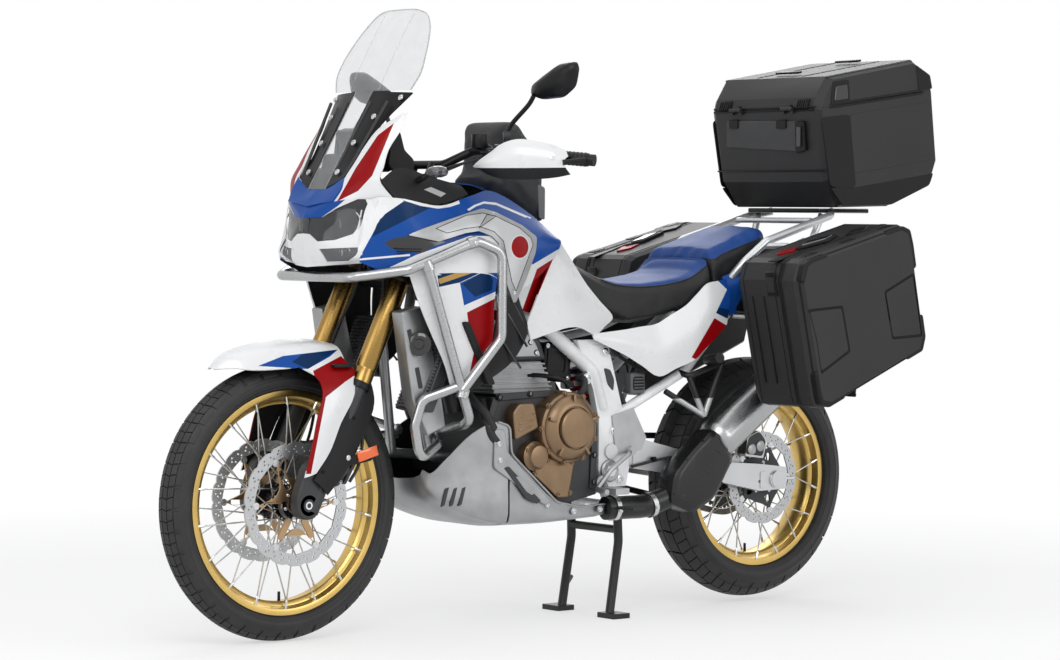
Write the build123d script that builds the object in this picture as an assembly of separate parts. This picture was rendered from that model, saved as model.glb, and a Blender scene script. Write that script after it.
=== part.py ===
from build123d import *
import math
import os

# Adventure motorcycle on its centre stand, with a top case and two side cases.
# Millimetres. Front is -Y, the bike's left is +X, up is +Z. The origin is on the floor.

os.makedirs("parts", exist_ok=True)

# ---------------------------------------------------------------- driving sizes
WHEELBASE = 1575.0
FRONT_AXLE_Y = -875.0
REAR_AXLE_Y = FRONT_AXLE_Y + WHEELBASE
REAR_WHEEL_LIFT = 11.5
RUNNING_GAP = 0.05  # radial clearance of a shaft in its bore

FRONT_TYRE_RADIUS, FRONT_TYRE_WIDTH = 347.5, 92.0
FRONT_FLANGE_RADIUS, FRONT_FLANGE_HALF = 281.5, 34.8
REAR_TYRE_RADIUS, REAR_TYRE_WIDTH = 333.5, 150.0
REAR_FLANGE_RADIUS, REAR_FLANGE_HALF = 244.5, 54.8
FRONT_AXLE_Z = FRONT_TYRE_RADIUS
REAR_AXLE_Z = REAR_TYRE_RADIUS + REAR_WHEEL_LIFT
AXLE_RADIUS, AXLE_BORE_RADIUS = 10.0, 6.0
SPOKE_RADIUS, SPOKE_COUNT = 2.0, 36

RAKE = 25.5  # degrees from upright
TRAIL = 113.0
FORK_SPREAD = 111.0  # fork leg from the middle plane
FORK_OFFSET = 26.6  # fork legs ahead of the steering axis
FORK_TUBE_RADIUS, FORK_SLIDER_RADIUS = 27.0, 22.5
STEM_RADIUS, HEAD_TUBE_RADIUS = 16.0, 30.0
HEAD_LOW, HEAD_HIGH = 1012.0, 1223.0  # head tube ends, along the steering axis
CLAMP_THICKNESS = 30.0
SLIDER_TOP, SLIDER_BOTTOM = 690.0, 345.0  # along the steering axis

FRONT_DISC_X, FRONT_DISC_RADIUS, FRONT_DISC_INNER = 71.5, 155.0, 118.0
REAR_DISC_X, REAR_DISC_RADIUS, REAR_DISC_INNER = 68.0, 128.0, 92.0
DISC_THICKNESS = 4.5
DISC_GAP = 3.0  # caliper slot clearance each side of a disc

CHAIN_X, CHAIN_WIDTH, CHAIN_HALF_HEIGHT = -95.0, 18.0, 8.0
SPROCKET_RADIUS, FRONT_SPROCKET_RADIUS = 106.2, 40.7
SPROCKET_THICKNESS = 7.5
FRONT_SPROCKET_Y, FRONT_SPROCKET_Z = 10.0, 440.0

PIVOT_Y, PIVOT_Z = 84.5, 446.0  # swingarm pivot
CRANKCASE_HALF = 150.0
PANEL = 5.0  # thickness of a body panel
BAR_TUBE_RADIUS = 12.5  # crash bars
CASE_WALL = 5.0
CASE_GAP = 0.6  # between a case and its lid

STAND_PIVOT_Y, STAND_PIVOT_Z, STAND_PIN_RADIUS = 150.0, 300.0, 8.0
SIDE_STAND_PIVOT = (-157.0, 90.0, 300.0)
SIDE_STAND_AXIS = (0.951, 0.0, -0.310)

PLATE_WIDTH, PLATE_HEIGHT = 200.0, 140.0  # number plate
PLATE_HOLE_SPACING, PLATE_HOLE_RADIUS = 120.0, 3.5

NODES = {}


# ---------------------------------------------------------------- making shapes
def keep(name, *solids):
    """Files solids under a node's name."""
    NODES[name] = [one for solid in solids for one in solid.solids()]


def rod(start, end, radius):
    """Round bar between two points."""
    start, end = Vector(*start), Vector(*end)
    return extrude(Plane(origin=start, z_dir=end - start) * Circle(radius), (end - start).length)


def tube(points, radius, bend):
    """Round bar along straight runs joined by bends."""
    path = FilletPolyline(*points, radius=bend)
    return sweep(Plane(origin=path @ 0, z_dir=path % 0) * Circle(radius), path=path)


def turned(profile, y, z):
    """Solid turned about the X line through y, z, from rows of x, radius."""
    return Pos(0, y, z) * revolve(make_face(Polyline(*profile, close=True)), Axis.X)


def side_plate(outline, x_low, x_high):
    """Flat plate whose outline is rows of y, z."""
    face = Plane.YZ.offset(x_low) * make_face(Polyline(*outline, close=True))
    return extrude(face, x_high - x_low)


def scaled(outline, share, shift=0.0):
    """An outline drawn in towards its middle."""
    y_mid = sum(y for y, z in outline) / len(outline)
    z_mid = sum(z for y, z in outline) / len(outline)
    return [(y_mid + (y - y_mid) * share + shift, z_mid + (z - z_mid) * share) for y, z in outline]


def across(stations):
    """Straight-sided body through outlines of y, z, each at its x."""
    faces = [Plane.YZ.offset(x) * make_face(Polyline(*outline, close=True)) for x, outline in stations]
    return loft(faces, ruled=True)


def pillow(outline, stations):
    """Body with one outline of y, z, drawn in by a share at each x."""
    return across([(x, scaled(outline, share)) for x, share in stations])


def along(stations):
    """Straight-sided symmetric body through half outlines of x, z, each at its y."""
    faces = []
    for y, half in stations:
        ring = list(half) + [(-x, z) for x, z in reversed(half) if x > 0]
        plane = Plane(origin=(0, y, 0), x_dir=(1, 0, 0), z_dir=(0, -1, 0))
        faces.append(plane * make_face(Polyline(*ring, close=True)))
    return loft(faces, ruled=True)


def skin(outer, inner):
    """Closed panel between two grids of points that match point for point."""
    faces = []

    def cell(a, b, c, d):
        for corners in ((a, b, c), (a, c, d)):
            if len(set(corners)) == 3:
                faces.append(Face(Wire.make_polygon([Vector(*p) for p in corners], close=True)))

    rows, columns = len(outer) - 1, len(outer[0]) - 1
    for i in range(rows):
        for j in range(columns):
            cell(outer[i][j], outer[i][j + 1], outer[i + 1][j + 1], outer[i + 1][j])
            cell(inner[i][j], inner[i + 1][j], inner[i + 1][j + 1], inner[i][j + 1])
    for j in range(columns):
        cell(outer[0][j + 1], outer[0][j], inner[0][j], inner[0][j + 1])
        cell(outer[rows][j], outer[rows][j + 1], inner[rows][j + 1], inner[rows][j])
    for i in range(rows):
        cell(outer[i][0], outer[i + 1][0], inner[i + 1][0], inner[i][0])
        cell(outer[i + 1][columns], outer[i][columns], inner[i][columns], inner[i + 1][columns])
    return Solid(Shell(faces))


def pushed(grid, step):
    """A grid of points moved by one step."""
    return [[tuple(a + b for a, b in zip(point, step)) for point in row] for row in grid]


def panel(grid, step):
    """Panel of even thickness: the grid is its outer face and the step leads inwards."""
    return skin(grid, pushed(grid, step))


def mirrored_rows(grid):
    """A grid from the middle plane outwards, continued to the other side."""
    return [[(-x, y, z) for x, y, z in reversed(row[1:])] + list(row) for row in grid]


def other_side(solid):
    """The same piece on the bike's right."""
    return mirror(solid, about=Plane.YZ)


def pair(solid):
    """A piece and its twin on the other side."""
    return solid.solids() + other_side(solid).solids()


def cut(solids, *tools):
    """Solids with the tools taken out of them."""
    whole = Compound(solids)
    for tool in tools:
        whole = whole - tool
    return whole.solids()


# ---------------------------------------------------------------- steering geometry
RAKE_SIN, RAKE_COS = math.sin(math.radians(RAKE)), math.cos(math.radians(RAKE))
AXIS_FOOT_Y = FRONT_AXLE_Y - TRAIL  # where the steering axis meets the floor


def steer(x, up, back):
    """Point at x, a way up the steering axis and square back from it."""
    return (x, AXIS_FOOT_Y + up * RAKE_SIN + back * RAKE_COS, up * RAKE_COS - back * RAKE_SIN)


def steer_plane(up):
    """Plane square to the steering axis: local x is the bike's x, local y is backwards."""
    return Plane(origin=steer(0, up, 0), x_dir=(1, 0, 0), z_dir=(0, RAKE_SIN, RAKE_COS))


# ---------------------------------------------------------------- wheels
def make_tyre(radius, width, flange_radius, flange_half, seat_drop, y, z):
    """Tyre seated between the rim's flanges."""
    lip = flange_half - 3.0
    seat, shoulder, middle = flange_radius - seat_drop, radius - 0.235 * width, radius - 0.45 * width
    left = ThreePointArc((-lip, flange_radius), (-width / 2, middle), (-0.43 * width, shoulder))
    crown = ThreePointArc((-0.43 * width, shoulder), (0, radius), (0.43 * width, shoulder))
    right = ThreePointArc((0.43 * width, shoulder), (width / 2, middle), (lip, flange_radius))
    bead = Polyline((lip, flange_radius), (lip, seat), (-lip, seat), (-lip, flange_radius))
    return Pos(0, y, z) * revolve(make_face([left, crown, right, bead]), Axis.X)


def make_rim(flange_radius, flange_half, seat_drop):
    """Rim channel: rows of x, radius, outer face then inner face."""
    lip, seat = flange_half - 3.0, flange_radius - seat_drop
    outer = [(lip, flange_radius), (lip, seat), (0.55 * lip, seat - 3), (0.32 * lip, seat - 15)]
    inner = [(flange_half, flange_radius), (flange_half, seat - 2), (0.75 * lip, seat - 9), (0.45 * lip, seat - 21)]
    left = [(-x, r) for x, r in outer]
    right = [(x, r) for x, r in reversed(outer)]
    inner_right = inner
    inner_left = [(-x, r) for x, r in reversed(inner)]
    return turned(left + right + inner_right + inner_left, 0, 0)


def make_spokes(flange_x, flange_r, rim_x, rim_r):
    """Crossed wire spokes from the hub's flanges to the rim's edges."""
    spokes = []
    lean = 52.0
    for k in range(SPOKE_COUNT):
        side = 1 if k % 2 else -1
        turn = lean if (k // 2) % 2 else -lean
        rim_angle = math.radians(360.0 / SPOKE_COUNT * k)
        hub_angle = rim_angle + math.radians(turn)
        start = (side * flange_x, flange_r * math.cos(hub_angle), flange_r * math.sin(hub_angle))
        end = (side * rim_x, rim_r * math.cos(rim_angle), rim_r * math.sin(rim_angle))
        spokes.append(rod(start, end, SPOKE_RADIUS))
    return spokes


def make_wheel(hub_profile, rim, spokes, y, z):
    """Hub, spokes and rim as one piece, bored for its axle."""
    whole = turned(hub_profile, 0, 0) + [rim, *spokes]
    whole = whole - rod((-200, 0, 0), (200, 0, 0), AXLE_RADIUS + RUNNING_GAP)
    return Pos(0, y, z) * whole


def make_disc(x_mid, outer_radius, inner_radius, seat_radius, arms, y, z):
    """Brake disc with its carrier's arms."""
    low, high = x_mid - DISC_THICKNESS / 2, x_mid + DISC_THICKNESS / 2
    ring = turned([(low, inner_radius), (high, inner_radius), (high, outer_radius), (low, outer_radius)], 0, 0)
    carrier = turned([(low, seat_radius - 12), (high, seat_radius - 12), (high, seat_radius + 12), (low, seat_radius + 12)], 0, 0)
    reach = inner_radius + 4
    arm = Pos(x_mid, 0, (reach + seat_radius) / 2) * Box(DISC_THICKNESS, 16, reach - seat_radius)
    spread = [Rot(360.0 / arms * k, 0, 0) * arm for k in range(arms)]
    return Pos(0, y, z) * (ring + [carrier, *spread])


def wheels():
    """Both wheels, their discs and the rear sprocket."""
    front_seat_drop, rear_seat_drop = 13.5, 13.5
    keep("front_tyre", make_tyre(FRONT_TYRE_RADIUS, FRONT_TYRE_WIDTH, FRONT_FLANGE_RADIUS, FRONT_FLANGE_HALF,
                                 front_seat_drop, FRONT_AXLE_Y, FRONT_AXLE_Z))
    front_disc_seat = FRONT_DISC_X - DISC_THICKNESS / 2
    front_hub = [(-front_disc_seat, 8), (-front_disc_seat, 40), (-52, 40), (-48, 27), (-36, 27), (-34, 46), (-30, 46),
                 (-28, 27), (28, 27), (30, 46), (34, 46), (36, 27), (48, 27), (52, 40), (front_disc_seat, 40),
                 (front_disc_seat, 8)]
    keep("front_wheel", make_wheel(
        front_hub, make_rim(FRONT_FLANGE_RADIUS, FRONT_FLANGE_HALF, front_seat_drop),
        make_spokes(32, 42, FRONT_FLANGE_HALF - 5, FRONT_FLANGE_RADIUS - front_seat_drop - 4), FRONT_AXLE_Y, FRONT_AXLE_Z))
    disc = make_disc(FRONT_DISC_X, FRONT_DISC_RADIUS, FRONT_DISC_INNER, 28, 6, FRONT_AXLE_Y, FRONT_AXLE_Z)
    keep("front_discs", disc, other_side(disc))

    keep("rear_tyre", make_tyre(REAR_TYRE_RADIUS, REAR_TYRE_WIDTH, REAR_FLANGE_RADIUS, REAR_FLANGE_HALF,
                                rear_seat_drop, REAR_AXLE_Y, REAR_AXLE_Z))
    rear_disc_seat = REAR_DISC_X - DISC_THICKNESS / 2
    sprocket_seat = CHAIN_X + SPROCKET_THICKNESS / 2
    rear_hub = [(sprocket_seat, 8), (sprocket_seat, 58), (-62, 58), (-58, 40), (-44, 40), (-42, 64), (-38, 64),
                (-36, 36), (36, 36), (38, 60), (42, 60), (44, 36), (rear_disc_seat, 50), (rear_disc_seat, 8)]
    keep("rear_wheel", make_wheel(
        rear_hub, make_rim(REAR_FLANGE_RADIUS, REAR_FLANGE_HALF, rear_seat_drop),
        make_spokes(40, 58, REAR_FLANGE_HALF - 7, REAR_FLANGE_RADIUS - rear_seat_drop - 4), REAR_AXLE_Y, REAR_AXLE_Z))
    keep("rear_disc", make_disc(REAR_DISC_X, REAR_DISC_RADIUS, REAR_DISC_INNER, 36, 5, REAR_AXLE_Y, REAR_AXLE_Z))
    low, high = CHAIN_X - SPROCKET_THICKNESS / 2, CHAIN_X + SPROCKET_THICKNESS / 2
    edge = SPROCKET_RADIUS - CHAIN_HALF_HEIGHT - 1.0
    keep("rear_sprocket", turned([(low, 12), (high, 12), (high, edge), (low, edge)], REAR_AXLE_Y, REAR_AXLE_Z))


# ---------------------------------------------------------------- steering body
def fork_boss(x, up, radius, thickness):
    """Disc around a fork leg or the stem, square to the steering axis."""
    return extrude(steer_plane(up) * Pos(x, -FORK_OFFSET) * Circle(radius), thickness)


def make_clamp(up):
    """Triple clamp: a plate round both fork legs and the stem."""
    outline = [(-30, 24), (30, 24), (FORK_SPREAD, 2), (FORK_SPREAD, -60), (-FORK_SPREAD, -60), (-FORK_SPREAD, 2)]
    plate = extrude(steer_plane(up) * make_face(Polyline(*outline, close=True)), CLAMP_THICKNESS)
    return plate + [fork_boss(side * FORK_SPREAD, up, FORK_TUBE_RADIUS + 10, CLAMP_THICKNESS) for side in (-1, 1)]


def fork():
    """Fork legs, clamps and stem, sliders, axle, calipers and front mudguard."""
    lower, upper = HEAD_LOW - 1 - CLAMP_THICKNESS, HEAD_HIGH + 1
    top = upper + CLAMP_THICKNESS + 8
    legs = [rod(steer(side * FORK_SPREAD, SLIDER_TOP, -FORK_OFFSET), steer(side * FORK_SPREAD, top, -FORK_OFFSET),
                FORK_TUBE_RADIUS) for side in (-1, 1)]
    stem = rod(steer(0, lower, 0), steer(0, upper + CLAMP_THICKNESS, 0), STEM_RADIUS)
    keep("fork_tubes", stem + [make_clamp(lower), make_clamp(upper), *legs])

    axle_half = FORK_SPREAD + 19
    axle = rod((-axle_half, FRONT_AXLE_Y, FRONT_AXLE_Z), (axle_half, FRONT_AXLE_Y, FRONT_AXLE_Z), AXLE_RADIUS)
    hollow = rod((-axle_half, FRONT_AXLE_Y, FRONT_AXLE_Z), (axle_half, FRONT_AXLE_Y, FRONT_AXLE_Z), AXLE_BORE_RADIUS)
    keep("front_axle", axle - hollow)

    # The foot's outline is measured from the axle.
    foot = [(-34, -18), (-34, 22), (-6, 96), (58, 112), (64, 60), (44, 8), (20, -34), (-14, -36)]
    foot_x = (FORK_SPREAD - 17, FORK_SPREAD + 19)
    # Radial caliper, behind the leg: middle from the axle, then its own outline about that middle.
    middle = (112, 92)
    block = [(-30, -58), (26, -50), (40, -20), (34, 34), (10, 62), (-30, 50)]
    lean = math.radians(-32)
    caliper = [(middle[0] + y * math.cos(lean) - z * math.sin(lean), middle[1] + y * math.sin(lean) + z * math.cos(lean))
               for y, z in block]
    lug = [(30, 60), (60, 118), (122, 132), (130, 78), (70, 40)]

    def placed(outline):
        return [(FRONT_AXLE_Y + y, FRONT_AXLE_Z + z) for y, z in outline]

    caliper_x = (FRONT_DISC_X - 20, FRONT_DISC_X + 24)
    disc_room = turned([(FRONT_DISC_X - DISC_THICKNESS / 2 - DISC_GAP, 0), (FRONT_DISC_X + DISC_THICKNESS / 2 + DISC_GAP, 0),
                        (FRONT_DISC_X + DISC_THICKNESS / 2 + DISC_GAP, FRONT_DISC_RADIUS + DISC_GAP),
                        (FRONT_DISC_X - DISC_THICKNESS / 2 - DISC_GAP, FRONT_DISC_RADIUS + DISC_GAP)],
                       FRONT_AXLE_Y, FRONT_AXLE_Z)
    caliper_solid = side_plate(placed(caliper), *caliper_x) - disc_room
    slider = rod(steer(FORK_SPREAD, SLIDER_BOTTOM, -FORK_OFFSET), steer(FORK_SPREAD, SLIDER_TOP, -FORK_OFFSET),
                 FORK_SLIDER_RADIUS)
    lug_solid = side_plate(placed(lug), caliper_x[1], foot_x[1] - 6)
    leg = slider + [side_plate(placed(foot), *foot_x), lug_solid]
    leg = leg - rod((0, FRONT_AXLE_Y, FRONT_AXLE_Z), (300, FRONT_AXLE_Y, FRONT_AXLE_Z), AXLE_RADIUS)
    keep("fork_sliders", *pair(leg))
    keep("front_calipers", *pair(caliper_solid - leg))

    # Mudguard: rows of angle ahead of upright, crown radius, half width, drop of its edge.
    crown_rows = [
        (-31.5, 397, 14, 4),
        (-24, 404, 44, 18),
        (-14, 409, 62, 34),
        (-2, 412, 72, 48),
        (9, 411, 84, 52),
        (17, 406, 96, 50),
        (22, 400, 98, 44),
    ]
    outer, inner = [], []
    for angle, radius, half, drop in crown_rows:
        sine, cosine = math.sin(math.radians(angle)), math.cos(math.radians(angle))
        row_out, row_in = [], []
        for share, fall in ((-1, 1), (-0.72, 0.36), (0, 0), (0.72, 0.36), (1, 1)):
            for row, reach in ((row_out, radius - drop * fall), (row_in, radius - drop * fall - PANEL)):
                inset = 1 - 0.03 * (row is row_in)
                row.append((share * half * inset, FRONT_AXLE_Y + reach * sine, FRONT_AXLE_Z + reach * cosine))
        outer.append(row_out)
        inner.append(row_in)
    mudguard = skin(outer, inner)
    # Side blades down the fork: rows of front edge y, z then rear edge y, z, at x.
    blade_rows = [
        (104, -872, 700, -742, 722),
        (120, -846, 655, -716, 668),
        (134, -838, 625, -742, 618),
        (140, -856, 555, -785, 548),
        (142, -874, 480, -826, 476),
        (142, -897, 418, -872, 424),
    ]
    blade = panel([[(x, y1, z1), (x + 3, (y1 + y2) / 2, (z1 + z2) / 2), (x, y2, z2)] for x, y1, z1, y2, z2 in blade_rows],
                  (-PANEL, 0, 0))
    guard_rows = [
        (120, -730, 692, -664, 640),
        (135, -752, 610, -690, 560),
        (140, -792, 520, -735, 480),
        (142, -835, 450, -800, 400),
        (142, -880, 408, -862, 372),
    ]
    guard = panel([[(x, y1, z1), (x + 2, (y1 + y2) / 2, (z1 + z2) / 2), (x, y2, z2)] for x, y1, z1, y2, z2 in guard_rows],
                  (-PANEL, 0, 0))
    bridge = side_plate([(-790, 690), (-735, 690), (-735, 700), (-790, 700)], 80, 138)
    fender = Compound(mudguard.solids()) + [*pair(blade), *pair(guard), *pair(bridge)]
    keep("front_fender", *cut(fender.solids(), Compound(NODES["fork_tubes"]), Compound(NODES["fork_sliders"])))


def bar_point(x):
    """Point on the straight end of the handlebar."""
    share = (x - BAR_BEND[0]) / (BAR_END[0] - BAR_BEND[0])
    return tuple(a + (b - a) * share for a, b in zip(BAR_BEND, BAR_END))


BAR_MIDDLE = (0.0, -430.0, 1195.0)
BAR_BEND = (175.0, -400.0, 1232.0)
BAR_END = (455.0, -238.0, 1206.0)
BAR_RADIUS, GRIP_RADIUS = 11.0, 17.0
MIRROR_MIDDLE = (400.0, -318.0, 1404.0)


def controls():
    """Handlebar with grips and levers, hand guards and mirrors."""
    left = [BAR_MIDDLE, (85, BAR_MIDDLE[1], BAR_MIDDLE[2]), BAR_BEND, bar_point(440)]
    points = [(-x, y, z) for x, y, z in reversed(left[1:])] + left[1:]
    bar = tube(points, BAR_RADIUS, 60)
    risers = [rod(steer(side * 48, HEAD_HIGH + 1 + CLAMP_THICKNESS, -10.8), (side * 48, BAR_MIDDLE[1], BAR_MIDDLE[2]), 17)
              for side in (-1, 1)]
    pieces = [bar, *risers]
    for side in (-1, 1):
        def at(x, y=0.0, z=0.0):
            px, py, pz = bar_point(x)
            return (side * px, py + y, pz + z)

        pieces.append(rod(at(310), at(440), GRIP_RADIUS))
        pieces.append(rod(at(440), BAR_END if side > 0 else (-BAR_END[0], BAR_END[1], BAR_END[2]), 15))
        pieces.append(rod(at(245), at(306), 24))
        pieces.append(rod(at(222), at(242), 19))
        pieces.append(rod(at(230), at(232, -46, -2), 11))
        pieces.append(tube([at(225, -44, -2), at(255, -62, -2), at(330, -70, -4), at(415, -56, -6)], 7, 14))
        # Reservoir over the perch, and the mirror's boss.
        pieces.append(rod(at(205, -26, 8), at(205, -26, 42), 21))
        pieces.append(rod(at(214), at(205, -26, 20), 11))
        pieces.append(rod(at(250), at(250, 0, 34), 9))
    whole = pieces[0] + pieces[1:]
    keep("handlebar", *cut(whole.solids(), Compound(NODES["fork_tubes"])))

    # Hand guard: rows of x, y, top z, middle z, lower z.
    guard_rows = [
        (226, -446, 1196, 1190, 1184),
        (262, -448, 1222, 1198, 1172),
        (296, -436, 1246, 1206, 1162),
        (330, -412, 1258, 1212, 1158),
        (372, -374, 1252, 1212, 1160),
        (408, -340, 1238, 1208, 1164),
        (428, -312, 1218, 1204, 1172),
    ]
    grid = [[(x, y + 26, top), (x, y, middle), (x, y + 20, low)] for x, y, top, middle, low in guard_rows]
    guard = panel(grid, (0, PANEL, 0))
    arm = rod((428, -318, 1200), (447, -262, 1206), 7) + [rod((226, -440, 1192), bar_point(216), 6)]
    keep("hand_guards", *cut(pair(guard) + pair(arm.solids()[0]) + pair(arm.solids()[1]), Compound(NODES["handlebar"])))

    # Mirror head: rows of y, then half width and half height about its middle.
    head_middle = MIRROR_MIDDLE
    outline = [(-100, -36), (-60, -46), (20, -42), (66, -16), (78, 30), (70, 46), (20, 44), (-46, 14), (-98, -12)]
    faces = []
    for y, share in ((-26, 0.45), (-12, 0.9), (6, 1.0), (12, 0.97)):
        plane = Plane(origin=(head_middle[0], head_middle[1] + y, head_middle[2]), x_dir=(1, 0, 0), z_dir=(0, -1, 0))
        faces.append(plane * make_face(Polyline(*[(x * share, z * share) for x, z in outline], close=True)))
    head = loft(faces, ruled=True)
    foot = bar_point(250)
    stem = tube([(foot[0], foot[1], foot[2] + 34), (foot[0] + 2, foot[1] + 6, foot[2] + 62),
                 (head_middle[0] - 74, head_middle[1] - 12, head_middle[2] - 34)], 6, 20)
    keep("mirrors", *cut(pair(head + stem), Compound(NODES["handlebar"])))


# ---------------------------------------------------------------- chassis
def frame():
    """Head tube, spars, down tubes, pivot plates, rear subframe and stand brackets."""
    head = rod(steer(0, HEAD_LOW, 0), steer(0, HEAD_HIGH, 0), HEAD_TUBE_RADIUS)
    half = [
        tube([(20, -520, 935), (72, -410, 892), (118, -150, 800), (130, 30, 660), (131, 62, 560)], 19, 40),
        tube([(14, -506, 962), (28, -484, 888), (55, -524, 784), (84, -465, 450), (84, -330, 440)], 13, 14),
        side_plate([(-30, 742), (40, 742), (84, 700), (142, 505), (152, 400), (140, 352), (66, 352), (46, 400),
                    (46, 530), (26, 610)], 120, 142),
        tube([(131, 20, 722), (122, 250, 758), (115, 480, 845), (105, 800, 950)], 12.5, 60),
        tube([(131, 110, 540), (146, 340, 652), (112, 600, 884)], 13, 60),
        side_plate([(110, 390), (150, 395), (178, 300), (165, 280), (138, 280), (118, 330)], 60, 74),
    ]
    pieces = []
    for solid in half:
        pieces += pair(solid)
    pieces.append(side_plate([(72, 362), (112, 362), (106, 282), (76, 282)], -142, -128))
    pieces.append(rod((-131, 130, 372), (131, 130, 372), 14))
    pieces.append(rod((-131, 62, 690), (131, 62, 690), 14))
    pieces.append(rod((-113, 500, 852), (113, 500, 852), 11))
    pieces.append(rod((-107, 770, 940), (107, 770, 940), 11))
    pin_half = 110
    pieces.append(rod((-pin_half, STAND_PIVOT_Y, STAND_PIVOT_Z), (pin_half, STAND_PIVOT_Y, STAND_PIVOT_Z), STAND_PIN_RADIUS))
    # Side stand pin, in line with its hinge.
    centre, axis = Vector(*SIDE_STAND_PIVOT), Vector(*SIDE_STAND_AXIS)
    pieces.append(rod(tuple(centre + axis * 24), tuple(centre - axis * 13), 7))
    whole = head + pieces
    whole = whole - rod(steer(0, HEAD_LOW - 5, 0), steer(0, HEAD_HIGH + 5, 0), STEM_RADIUS + RUNNING_GAP)
    pivot_bolt = rod((-150, PIVOT_Y, PIVOT_Z), (150, PIVOT_Y, PIVOT_Z), 12)
    keep("frame", whole - pivot_bolt)


def engine():
    """Crankcase with its round covers, cylinders and head."""
    crankcase = side_plate([(-320, 600), (-346, 520), (-340, 400), (-290, 334), (-60, 318), (30, 336), (35, 520), (-20, 600)],
                           -CRANKCASE_HALF, CRANKCASE_HALF)
    # Covers: side, y, z, then rows of x, radius.
    side = CRANKCASE_HALF
    covers = [
        (-92, 517, [(side - 5, 0), (side - 5, 94), (side + 30, 94), (side + 38, 86), (side + 58, 74), (side + 66, 52),
                     (side + 74, 50), (side + 74, 0)]),
        (-196, 446, [(side - 5, 0), (side - 5, 38), (side + 34, 34), (side + 46, 24), (side + 46, 0)]),
        (-190, 452, [(5 - side, 0), (5 - side, 84), (-side - 36, 78), (-side - 48, 60), (-side - 48, 0)]),
    ]
    pieces = [turned(profile, y, z) for y, z, profile in covers[:2]]
    pieces.append(side_plate([(-205, 404), (-116, 334), (-80, 334), (-60, 430), (-150, 440)], side - 5, side + 24))
    pieces.append(side_plate([(-276, 560), (-256, 584), (-206, 584), (-190, 520), (-266, 490)], side - 5, side + 34))
    drive_cover = side_plate([(-60, 380), (30, 372), (48, 440), (20, 500), (-40, 506), (-80, 440)], -side - 10, 5 - side)
    covers = (pieces[0] + pieces[1:]).solids() + turned(covers[2][2], covers[2][0], covers[2][1]).solids() + drive_cover.solids()
    keep("engine", *cut(crankcase.solids(), Compound(NODES["frame"])))
    keep("engine_covers", *cut(covers, Compound(NODES["engine"]), Compound(NODES["frame"])))
    cylinder = side_plate([(-285, 600), (-95, 600), (-132, 690), (-322, 690)], -122, 122)
    head = side_plate([(-330, 690), (-128, 690), (-150, 748), (-190, 782), (-318, 782), (-356, 748)], -140, 140)
    airbox = pillow([(-120, 640), (-30, 628), (-24, 700), (-60, 738), (-116, 738)], [(-118, 0.9), (-100, 1), (100, 1), (118, 0.9)])
    keep("cylinder_head", *cut((cylinder + [head]).solids() + airbox.solids(), Compound(NODES["frame"])))


def skid_plate():
    """Bash plate: rows of y, then x, z of middle, bottom edge, lower side and upper side."""
    rows = [
        (-513, (0, 390), (70, 396), (100, 406), (110, 420)),
        (-500, (0, 345), (84, 352), (118, 372), (130, 412)),
        (-470, (0, 312), (92, 317), (142, 340), (152, 446)),
        (-392, (0, 282), (100, 285), (158, 302), (164, 512)),
        (-319, (0, 265), (104, 267), (165, 283), (174, 540)),
        (-281, (0, 262), (104, 264), (166, 279), (176, 528)),
        (-277, (0, 262), (104, 264), (166, 279), (176, 456)),
        (-118, (0, 261), (104, 263), (164, 276), (170, 324)),
        (-39, (0, 264), (104, 266), (160, 279), (165, 309)),
        (56, (0, 268), (104, 270), (156, 282), (158, 310)),
    ]
    inwards = [(0, 0, PANEL), (0, 0, PANEL), (-PANEL, 0, PANEL), (-PANEL, 0, 0)]
    outer = [[(x, y, z) for x, z in points] for y, *points in rows]
    inner = [[tuple(a + b for a, b in zip(point, step)) for point, step in zip(row, inwards)] for row in outer]
    plate = skin(mirrored_rows(outer), mirrored_rows(inner))
    mounts = rod((-172, -300, 470), (-CRANKCASE_HALF, -300, 470), 12) + [
        rod((CRANKCASE_HALF, -300, 470), (172, -300, 470), 12),
        rod((-84, 0, 270), (-84, 0, 331), 10), rod((84, 0, 270), (84, 0, 331), 10)]
    keep("skid_plate", *cut((plate + mounts).solids(), Compound(NODES["engine"]), Compound(NODES["engine_covers"])))


def crash_bars():
    """Tubular bars round the nose and the side fairings, and their lower legs."""
    loop = [(150, -770, 910), (248, -662, 930), (290, -480, 1003), (300, -408, 975), (300, -408, 760), (266, -505, 628)]
    loop = [(-x, y, z) for x, y, z in reversed(loop)] + loop
    upright = [(262, -614, 940), (262, -478, 556), (225, -466, 540), (84, -448, 512)]
    lower = [(84, -446, 500), (158, -500, 486), (196, -584, 452), (200, -604, 540), (212, -588, 606), (260, -506, 640)]
    pieces = [tube(loop, BAR_TUBE_RADIUS, 34)]
    for points, bend in ((upright, 26), (lower, 30)):
        pieces += pair(tube(points, BAR_TUBE_RADIUS, bend))
    whole = pieces[0] + pieces[1:]
    keep("crash_bars", *cut(whole.solids(), Compound(NODES["frame"])))


TANK_PANEL_COLUMNS = [  # top, middle, bottom of the silver panel, front to rear
    [(224, -652, 1013), (226, -650, 1009), (227, -648, 1005)],
    [(240, -560, 1042), (256, -560, 1024), (260, -560, 1008)],
    [(250, -463, 1070), (270, -465, 1040), (276, -470, 1014)],
    [(244, -400, 1086), (268, -392, 1032), (278, -385, 992)],
    [(230, -300, 1056), (266, -318, 980), (281, -372, 854)],
    [(224, -234, 1028), (252, -262, 965), (275, -345, 848)],
]


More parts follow.
